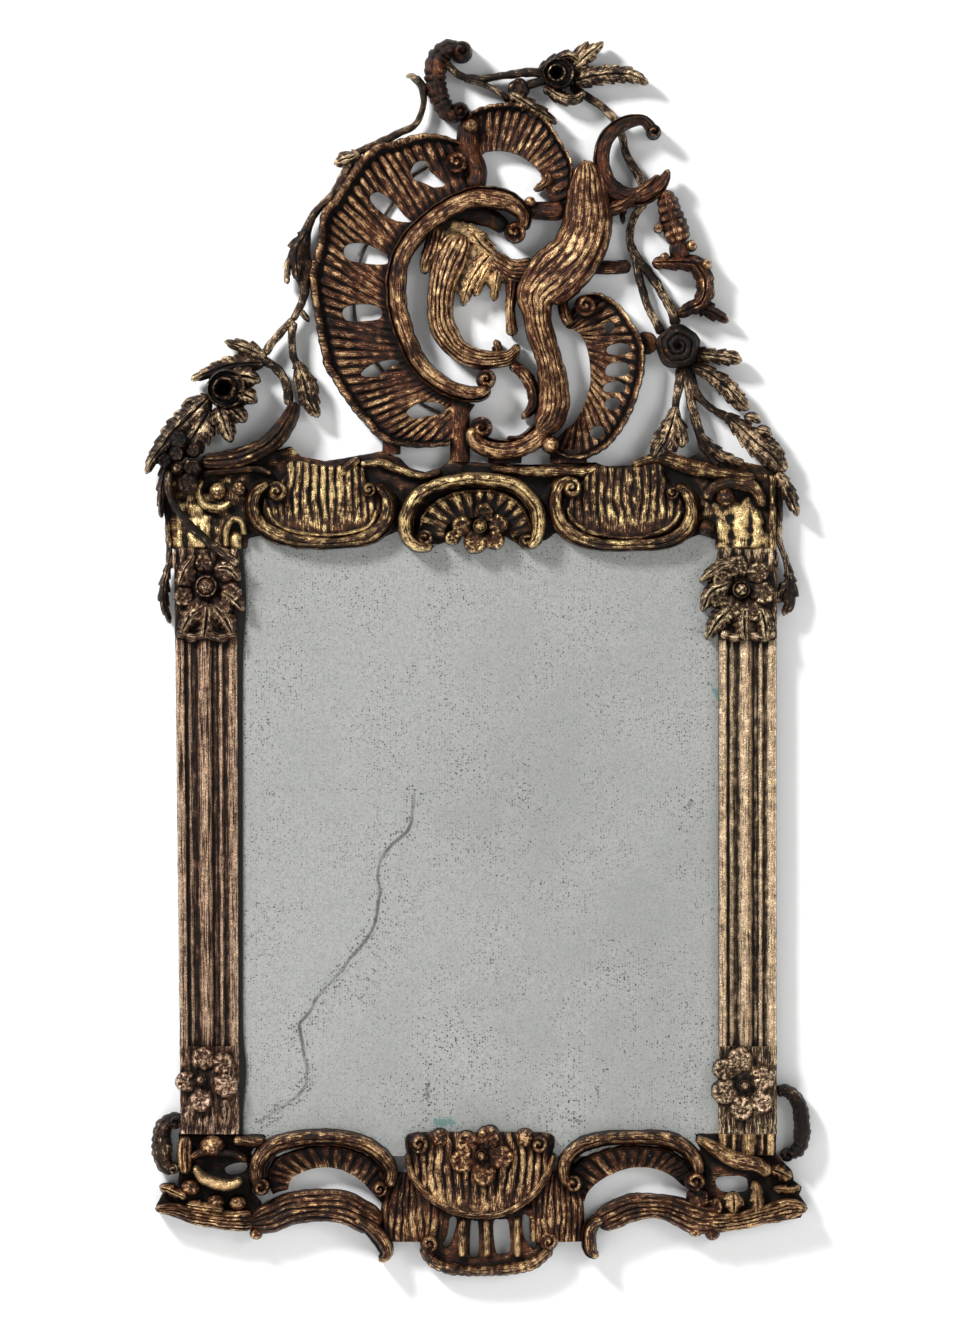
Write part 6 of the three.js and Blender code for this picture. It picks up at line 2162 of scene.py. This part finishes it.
@dataclass
class Garlands:
    """The garlands: stems, leaves, buds and roses laid on the frame."""

    stem_back: float = 12
    stem_front: float = 25
    leaf_gilt: float = 0.34
    rose_gilt: float = 0.0

    def stem(
            self, wood: Carving, rows: Rows, back: float | None = None, front: float | None = None,
            gilt: float = 0.2) -> None:
        """Carves a stem.

        Args:
            wood: The piece it belongs to.
            rows: Path rows of across, up and half width.
            back: Depth of its flat back, if not the usual one.
            front: Depth of its highest line, if not the usual one.
            gilt: How much gilding is left.
        """
        wood.stroke(
            rows, self.stem_back if back is None else back, self.stem_front if front is None else front,
            Section.ROUND, gilt, teeth=0.12, pitch=17, grain=0.8)

    def left(self, finish: bpy.types.Material) -> bpy.types.Object:
        """Builds the garland at the left.

        Args:
            finish: Its finish.

        Returns:
            The piece.
        """
        wood = Carving("left_flowers", seed=610)
        self.stem(
            wood,
            [(-82, 506, 4), (-70, 496, 5), (-68, 474, 4), (-76, 450, 4), (-96, 440, 5), (-120, 427, 5),
             (-148, 414, 5), (-160, 394, 6), (-176, 366, 5), (-196, 346, 5), (-206, 328, 6),
             (-214, 304, 10), (-214, 280, 14), (-211, 258, 8), (-213, 236, 5), (-224, 214, 5)])
        blade = {"back": 12, "front": 29, "gilt": self.leaf_gilt}
        wood.leaf([(-70, 498, 6), (-80, 507, 5), (-89, 507, 3)], **blade)
        wood.leaf([(-142, 412, 6), (-160, 407, 12), (-175, 402, 5)], 12, 33, self.leaf_gilt)
        wood.leaf([(-220, 300, 5), (-230, 280, 5), (-230, 258, 4)], **blade)
        wood.leaf([(-206, 322, 8), (-218, 296, 14), (-216, 262, 6)], 12, 34, 0.05)
        self.stem(wood, [(-214, 228, 4), (-209, 220, 4), (-204, 213, 3)])
        self.stem(wood, [(-222, 216, 5), (-236, 202, 5), (-248, 188, 5), (-258, 174, 6)])
        self.stem(wood, [(-224, 214, 5), (-226, 194, 5), (-223, 170, 5), (-216, 156, 7)])
        wood.leaf(
            [(-220, 166, 6), (-211, 142, 14), (-204, 118, 14), (-194, 98, 5)], 12, 35, 0.3, teeth=0.3,
            pitch=15)
        wood.leaf([(-212, 150, 6), (-200, 138, 8), (-196, 124, 4)], 12, 33, 0.2)
        wood.leaf([(-256, 168, 8), (-280, 182, 12), (-306, 190, 3)], **blade)
        wood.leaf([(-258, 164, 8), (-300, 160, 13), (-346, 143, 4)], **blade, teeth=0.24, pitch=14)
        self.stem(wood, [(-262, 168, 6), (-244, 158, 6), (-232, 140, 6), (-228, 112, 6)])
        wood.boss(-302, 132, 24, 16, 58, Turned.CUP, gilt=0.1)
        for front, *rows in (
                (52, (-300, 150, 10), (-278, 146, 14), (-262, 142, 4)),
                (52, (-296, 128, 14), (-276, 122, 12), (-267, 116, 5)),
                (52, (-300, 110, 14), (-286, 98, 12), (-281, 92, 5)),
                (52, (-312, 112, 18), (-304, 86, 14), (-298, 68, 5)),
                (48, (-322, 122, 14), (-348, 98, 18), (-372, 72, 15), (-390, 48, 9), (-399, 30, 3)),
                (40, (-330, 116, 8), (-346, 116, 6), (-356, 111, 3)),
                (45, (-322, 108, 18), (-340, 78, 22), (-356, 52, 18))):
            wood.leaf(rows, 16, front, self.leaf_gilt, teeth=0.26, pitch=13)
        petals = (
            (-360, 71, 12), (-362, 54, 10), (-376, 46, 9), (-344, 38, 11), (-349, 19, 13), (-342, 58, 9))
        for x, z, radius in petals:
            wood.boss(x, z, radius, 24.5, 57, Turned.PETAL, turn=x + z, gilt=0.05)
        wood.boss(-361, 37, 8, 24.5, 58, Turned.BUTTON, gilt=0.2)
        wood.leaf([(-368, 50, 12), (-378, 26, 9), (-381, 0, 7), (-381, -22, 3)], 16, 46, 0.15)
        self.stem(
            wood,
            [(-370, 34, 6), (-372, 8, 5), (-358, -18, 5), (-332, -45, 6), (-304, -66, 6), (-288, -78, 5)],
            38, 50, 0.08)
        self.stem(wood, [(-374, 8, 5), (-374, -24, 4), (-372, -56, 4), (-372, -84, 5)], 14, 28)
        wood.leaf([(-372, -78, 4), (-377, -104, 8), (-377, -126, 7), (-370, -148, 3)], 10, 29, 0.2)
        return wood.build(finish)

    def top(self, finish: bpy.types.Material) -> bpy.types.Object:
        """Builds the garland over the crest.

        Args:
            finish: Its finish.

        Returns:
            The piece.
        """
        wood = Carving("top_flowers", seed=640)
        self.stem(
            wood, [(-44, 526, 5), (-24, 508, 5), (0, 504, 5), (30, 508, 5), (60, 512, 6), (84, 510, 7)])
        self.stem(wood, [(-20, 505, 4), (4, 498, 4), (24, 488, 4), (36, 478, 5)])
        wood.boss(46, 492, 13, 10, 35, Turned.PETAL, turn=2.4, gilt=0.1)
        wood.leaf([(34, 486, 8), (56, 472, 11), (76, 460, 9), (92, 450, 3)], 10, 35, self.leaf_gilt)
        self.stem(wood, [(54, 496, 5), (70, 500, 6), (84, 504, 6)])
        wood.boss(94, 509, 19, 10, 47, Turned.CUP, gilt=0.1)
        for rows, front in (
                ([(70, 512, 6), (88, 524, 9), (108, 530, 9), (120, 520, 6)], 36),
                ([(76, 494, 6), (94, 482, 9), (112, 478, 8), (126, 488, 5)], 36),
                ([(108, 514, 10), (126, 530, 12), (148, 548, 3)], 33),
                ([(112, 500, 14), (150, 508, 13), (178, 508, 11), (202, 499, 4)], 33),
                ([(106, 520, 8), (118, 534, 8), (130, 549, 3)], 29)):
            wood.leaf(rows, 10, front, self.leaf_gilt, teeth=0.3, pitch=14)
        self.stem(
            wood,
            [(108, 496, 6), (136, 479, 5), (156, 463, 5), (168, 440, 5), (176, 414, 5), (188, 392, 6),
             (200, 368, 7)],
            5, 15.6)
        return wood.build(finish)

    def right(self, finish: bpy.types.Material) -> bpy.types.Object:
        """Builds the garland at the right.

        Args:
            finish: Its finish.

        Returns:
            The piece.
        """
        wood = Carving("right_flowers", seed=670)
        behind = {"back": 5.0, "front": 15.6}
        self.stem(
            wood,
            [(199, 358, 6), (185, 338, 5), (180, 314, 5), (186, 294, 6), (202, 274, 6), (216, 252, 6),
             (228, 230, 6), (236, 208, 7)],
            **behind)
        self.stem(
            wood, [(187, 292, 5), (190, 268, 5), (197, 244, 5), (208, 218, 5), (218, 198, 6)], **behind)
        wood.boss(237, 183, 26, 5, 50, Turned.ROSE, gilt=self.rose_gilt)
        leafy = {"back": 12, "front": 35, "gilt": self.leaf_gilt}
        wood.leaf(
            [(256, 176, 10), (282, 172, 10), (300, 170, 11), (314, 166, 5)], **leafy, teeth=0.3, pitch=13)
        wood.leaf(
            [(252, 162, 10), (272, 152, 10), (296, 134, 13), (312, 116, 11), (322, 108, 5)], **leafy,
            teeth=0.26, pitch=15)
        self.stem(wood, [(246, 162, 10), (252, 140, 8), (262, 122, 5), (282, 106, 5), (302, 96, 6)])
        wood.leaf(
            [(292, 102, 6), (312, 86, 13), (334, 66, 18), (352, 50, 16), (366, 34, 8)], **leafy, teeth=0.26,
            pitch=17)
        for x, z, tip_x, tip_z in ((316, 100, 336, 92), (330, 84, 350, 78), (344, 66, 359, 58)):
            wood.leaf([(x, z, 9), ((x + tip_x) / 2, (z + tip_z) / 2 + 2, 8), (tip_x, tip_z, 3)], **leafy)
        self.stem(wood, [(248, 156, 7), (252, 124, 6), (258, 96, 6), (268, 66, 6), (284, 40, 5)])
        wood.leaf([(264, 80, 4), (278, 62, 8), (296, 50, 8), (316, 44, 4)], **leafy)
        self.stem(wood, [(243, 160, 8), (238, 136, 6), (234, 112, 5), (233, 96, 8)])
        wood.leaf(
            [(234, 112, 5), (228, 88, 14), (220, 66, 18), (206, 48, 10)], 12, 38, 0.4, teeth=0.24, pitch=17)
        wood.leaf([(236, 100, 6), (240, 82, 10), (242, 62, 6)], 12, 38, 0.3)
        wood.leaf([(356, 34, 8), (364, 20, 9), (376, 4, 6)], 12, 37, 0.3)
        wood.leaf([(358, 26, 6), (370, 4, 11), (380, -20, 4)], 12, 37, 0.3)
        self.stem(wood, [(358, 24, 5), (359, -10, 4), (358, -46, 4), (366, -72, 4), (371, -94, 7)], 12, 26)
        wood.leaf([(369, -82, 4), (371, -106, 11), (369, -124, 9), (364, -139, 4)], 10, 29, 0.2)
        wood.leaf([(368, -98, 7), (360, -112, 8), (357, -124, 5)], 10, 27, 0.2)
        return wood.build(finish)


@dataclass
class BeadStrips:
    """Rows of small beads along the inner edges of the stiles, laid by Geometry Nodes."""

    pitch: float = 5.4
    radius: float = 2.1
    forward: float = 25.5
    lines: tuple[tuple[str, float, float, float, float], ...] = (
        ("left_beads", -295.2, -172, -292.6, -650),
        ("right_beads", 288.4, -172, 288.4, -650),
    )

    def tree(self) -> bpy.types.NodeTree:
        """Builds the tree: a line of beads from one end to the other.

        Returns:
            The Geometry Nodes tree, with its ends, count, bead radius and finish as inputs.
        """
        sheet = new_tree(
            "bead strip", "GeometryNodeTree",
            (("Start", "Vector"), ("End", "Vector"), ("Count", "Int"), ("Radius", "Float"),
             ("Finish", "Material")),
            (("Geometry", "Geometry"),))
        given = sheet.add("NodeGroupInput").outputs
        line = sheet.add(
            "GeometryNodeMeshLine",
            {"Count": given["Count"], "Start Location": given["Start"], "Offset": given["End"]},
            mode="END_POINTS")
        ball = sheet.add("GeometryNodeMeshIcoSphere", {"Radius": given["Radius"], "Subdivisions": 2})
        size = sheet.add("FunctionNodeRandomValue", {2: 0.82, 3: 1.08, "Seed": 7}, data_type="FLOAT")
        laid = sheet.add(
            "GeometryNodeInstanceOnPoints",
            {"Points": line.outputs[0], "Instance": ball.outputs[0], "Scale": size.outputs[1]})
        real = sheet.add("GeometryNodeRealizeInstances", {0: laid.outputs[0]})
        dressed = sheet.add(
            "GeometryNodeSetMaterial", {"Geometry": real.outputs[0], "Material": given["Finish"]})
        sheet.add("NodeGroupOutput", {0: dressed.outputs[0]})
        return sheet.tree

    def build(self, finish: bpy.types.Material) -> list[bpy.types.Object]:
        """Builds both strips as plain meshes.

        Args:
            finish: Its finish.

        Returns:
            The pieces.
        """
        tree = self.tree()
        strips = []
        for name, x, top, foot_x, foot in self.lines:
            start = Point(x, self.forward, top)
            end = Point(foot_x, self.forward, foot)
            count = int((top - foot) / self.pitch)
            values = {
                "Start": start.metres(), "End": end.metres(), "Count": count, "Radius": self.radius * MM,
                "Finish": finish}
            strips.append(grown(name, tree, values))
        return strips


@dataclass(frozen=True)
class Point:
    """A point: across, forward from the wall and up, in millimetres."""

    x: float
    forward: float
    z: float

    def metres(self) -> tuple[float, float, float]:
        """Gives the point in the frame of the part, in metres."""
        return self.x * MM, -self.forward * MM, self.z * MM


def grown(
        name: str, tree: bpy.types.NodeTree, values: dict[str, object],
        base: bpy.types.Object | None = None) -> bpy.types.Object:
    """Runs a Geometry Nodes tree and keeps its result as a plain mesh.

    Args:
        name: Name of the piece.
        tree: The tree.
        values: Inputs by name.
        base: Object whose mesh the tree works on, if any.

    Returns:
        The piece, without the modifier.
    """
    holder = base or placed(name + "_base", bpy.data.meshes.new(name + "_base"))
    modifier = holder.modifiers.new("grow", "NODES")
    modifier.node_group = tree
    for item in tree.interface.items_tree:
        if item.in_out == "INPUT" and item.name in values:
            modifier[item.identifier] = values[item.name]
    graph = bpy.context.evaluated_depsgraph_get()
    result = holder.evaluated_get(graph)
    mesh = bpy.data.meshes.new_from_object(result, preserve_all_data_layers=True, depsgraph=graph)
    holder.modifiers.remove(modifier)
    if base is not None:
        old = base.data
        base.data = mesh
        bpy.data.meshes.remove(old)
        return base
    bpy.data.objects.remove(holder)
    mesh.name = name
    mesh.shade_smooth()
    LOG.info("%s: %d faces", name, len(mesh.polygons))
    return placed(name, mesh)


def weathering() -> bpy.types.NodeTree:
    """Builds the tree that roughens carved wood with small knocks and gouges.

    Returns:
        The Geometry Nodes tree, with its depth, sizes and finish as inputs.
    """
    sheet = new_tree(
        "weathered carving", "GeometryNodeTree",
        (("Geometry", "Geometry"), ("Depth", "Float"), ("Size", "Float"), ("Fine Size", "Float"),
         ("Finish", "Material")),
        (("Geometry", "Geometry"),))
    given = sheet.add("NodeGroupInput").outputs
    coarse = sheet.add("ShaderNodeTexNoise", {"Scale": given["Size"], "Detail": 2.0}).outputs[0]
    fine = sheet.add("ShaderNodeTexNoise", {"Scale": given["Fine Size"], "Detail": 2.0}).outputs[0]
    both = sheet.total(sheet.maths("SUBTRACT", coarse, 0.5), (fine, 0.5))
    push = sheet.product(sheet.maths("SUBTRACT", both, 0.25), given["Depth"])
    normal = sheet.add("GeometryNodeInputNormal").outputs[0]
    shift = sheet.add("ShaderNodeVectorMath", {0: normal, 3: push}, operation="SCALE").outputs[0]
    place = sheet.add("GeometryNodeInputPosition").outputs[0]
    depth = sheet.add("ShaderNodeSeparateXYZ", {0: place}).outputs[1]
    front = sheet.maths("LESS_THAN", depth, -FLAT_BACK)
    moved = sheet.add(
        "GeometryNodeSetPosition", {"Geometry": given["Geometry"], "Selection": front, "Offset": shift})
    real = sheet.add("GeometryNodeRealizeInstances", {0: moved.outputs[0]})
    dressed = sheet.add(
        "GeometryNodeSetMaterial", {"Geometry": real.outputs[0], "Material": given["Finish"]})
    sheet.add("NodeGroupOutput", {0: dressed.outputs[0]})
    return sheet.tree


@dataclass
class Studio:
    """The pale wall and floor, the soft lights and the camera in front of the mirror."""

    image: tuple[int, int] = (967, 1333)
    mm_per_pixel: float = 1.2
    left_pixel: float = 480
    zero_pixel: float = 500
    distance: float = 8.0
    sensor: float = 36.0
    floor: float = -1.35
    wall_colour: Colour = (0.9, 0.9, 0.9, 1)
    wall_reach: float = 3.0
    wall_gap: float = 0.0012
    lamps: tuple[tuple[str, Row, Row, float, float], ...] = (
        ("key", (-2.4, -2.6, 2.5), (0, 0, -0.1), 0.9, 250),
        ("fill", (2.8, -3.4, 0.3), (0, 0, -0.2), 1.6, 50),
    )
    sky_colour: Colour = (0.9, 0.9, 0.89, 1)
    sky_strength: float = 0.3

    def camera(self) -> None:
        """Sets the camera square to the wall, framed as the photograph is."""
        high = self.image[1] * self.mm_per_pixel * MM
        x = (self.image[0] / 2 - self.left_pixel) * self.mm_per_pixel * MM
        z = (self.zero_pixel - self.image[1] / 2) * self.mm_per_pixel * MM
        data = bpy.data.cameras.new("camera")
        data.sensor_width = self.sensor
        data.sensor_fit = "AUTO"
        data.lens = self.sensor * self.distance / high
        data.clip_end = 60
        camera = placed("camera", data)
        camera.location = (x, -self.distance, z)
        camera.rotation_euler = (math.pi / 2, 0, 0)
        bpy.context.scene.camera = camera

    def backdrop(self) -> None:
        """Makes the wall behind the mirror and the floor below it."""
        material, sheet, shader = new_finish("pale plaster")
        sheet.feed(shader, {"Base Color": self.wall_colour, "Roughness": 0.9})
        reach, gap, floor = self.wall_reach, self.wall_gap, self.floor
        outlines = {
            "wall": [(-reach, gap, floor), (reach, gap, floor), (reach, gap, reach), (-reach, gap, reach)],
            "floor": [(-reach, -2 * reach, floor), (reach, -2 * reach, floor), (reach, gap, floor),
                      (-reach, gap, floor)]}
        for name, corners in outlines.items():
            mesh = bpy.data.meshes.new(name)
            mesh.from_pydata(corners, [], [(0, 1, 2, 3)])
            mesh.materials.append(material)
            backdrop = placed(name, mesh)

    def lights(self) -> None:
        """Hangs one large soft light high at the left, a weak one at the right and an even sky."""
        for name, place, aim, size, power in self.lamps:
            data = bpy.data.lights.new(name, "AREA")
            data.size = size
            data.energy = power
            light = placed(name, data)
            light.location = place
            toward = np.array(aim) - np.array(place)
            tilt = math.atan2(math.hypot(toward[0], toward[1]), -toward[2])
            light.rotation_euler = (tilt, 0, math.atan2(toward[1], toward[0]) - math.pi / 2)
        world = bpy.data.worlds.new("sky")
        world.use_nodes = True
        sky = world.node_tree.nodes["Background"]
        sky.inputs[0].default_value = self.sky_colour
        sky.inputs[1].default_value = self.sky_strength
        bpy.context.scene.world = world
        bpy.context.scene.view_settings.view_transform = "Standard"

    def build(self) -> None:
        """Sets up the camera, the backdrop and the lights."""
        self.camera()
        self.backdrop()
        self.lights()


CREST_GILDING = Gilding(
    "dark gilded crest", (0.86, 0.57, 0.29, 1), (0.122, 0.034, 0.012, 1), (0.005, 0.003, 0.002, 1), 0.35)
RAIL_GILDING = Gilding(
    "gilded rail", (0.96, 0.7, 0.33, 1), (0.098, 0.033, 0.012, 1), (0.006, 0.004, 0.0025, 1), 0.37)
LEFT_GILDING = Gilding(
    "brown gilded stile", (0.86, 0.63, 0.39, 1), (0.1, 0.04, 0.019, 1), (0.008, 0.005, 0.0035, 1), 0.42,
    blush=0.6, streaky=0.9)
RIGHT_GILDING = Gilding(
    "pink gilded stile", (0.98, 0.76, 0.46, 1), (0.125, 0.062, 0.027, 1), (0.013, 0.009, 0.006, 1), 0.48,
    blush=0.5, streaky=0.9)
APRON_GILDING = Gilding(
    "dark gilded apron", (0.82, 0.54, 0.27, 1), (0.112, 0.033, 0.012, 1), (0.005, 0.0035, 0.002, 1), 0.38)
DARK_WOOD = Gilding(
    "dark garland", (0.86, 0.63, 0.38, 1), (0.07, 0.029, 0.013, 1), (0.006, 0.004, 0.003, 1), 0.46)


def attach(piece: bpy.types.Object, slot: str, *nodes: str) -> None:
    """Rides a piece on the frame and hides the nodes that it stands for.

    Args:
        piece: The piece.
        slot: Not used.
        *nodes: Nodes that it stands for, if any.
    """
    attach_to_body(piece, "root")
    if nodes:
        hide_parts(*nodes)


def dress_solids(finishes: dict[str, bpy.types.Material]) -> None:
    """Gives the solids that stay their finishes.

    Args:
        finishes: Finishes by node.
    """
    for node, finish in finishes.items():
        solid = next(item for item in bpy.data.objects if item.name == node)
        for holder in solid.material_slots:
            holder.material = finish


def main() -> None:
    """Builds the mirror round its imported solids."""
    logging.basicConfig(level=logging.INFO, format="%(message)s")
    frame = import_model()
    LOG.info("nodes: %s", sorted(frame["nodes"]))
    Studio().build()

    effect, weather = worn_gilding(), weathering()
    dark, apron_finish, rail_finish, left_finish, right_finish, crest_finish = (
        gilding.make(effect)
        for gilding in (DARK_WOOD, APRON_GILDING, RAIL_GILDING, LEFT_GILDING, RIGHT_GILDING, CREST_GILDING))
    crest, garlands = Crest(), Garlands()
    carved = [
        (crest.build(crest_finish), crest_finish, "carved_crest", "crest"),
        (TopRail().build(rail_finish), rail_finish, "carved_rail", "top_rail"),
        (left_stile().build(left_finish), left_finish, "gilt_stile", "left_stile"),
        (right_stile().build(right_finish), right_finish, "gilt_stile", "right_stile"),
        (BottomRail().build(apron_finish), apron_finish, "carved_apron", "bottom_rail"),
        (LEFT_EAR.build(dark), dark, "dark_carving", "left_ear"),
        (RIGHT_EAR.build(dark), dark, "dark_carving", "right_ear"),
        (garlands.left(dark), dark, "dark_carving", "left_garland"),
        (garlands.top(dark), dark, "dark_carving", "top_garland"),
        (garlands.right(dark), dark, "dark_carving", "right_garland"),
    ]
    for piece, finish, slot, node in carved:
        grown(piece.name, weather, {**KNOCKS, "Finish": finish}, piece)
        attach(piece, slot, node)
    attach(crest.wire(DarkIron().make()), "iron_wire", "crest_wire")
    for strip in BeadStrips().build(right_finish):
        attach(strip, "gilt_stile")
    plate = Glass().build(*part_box("mirror_plate"), OldGlass().make())
    attach(plate, "mirror_glass", "mirror_plate")
    dress_solids({"backboard": BarePine().make()})


if __name__ == "__main__":
    main()
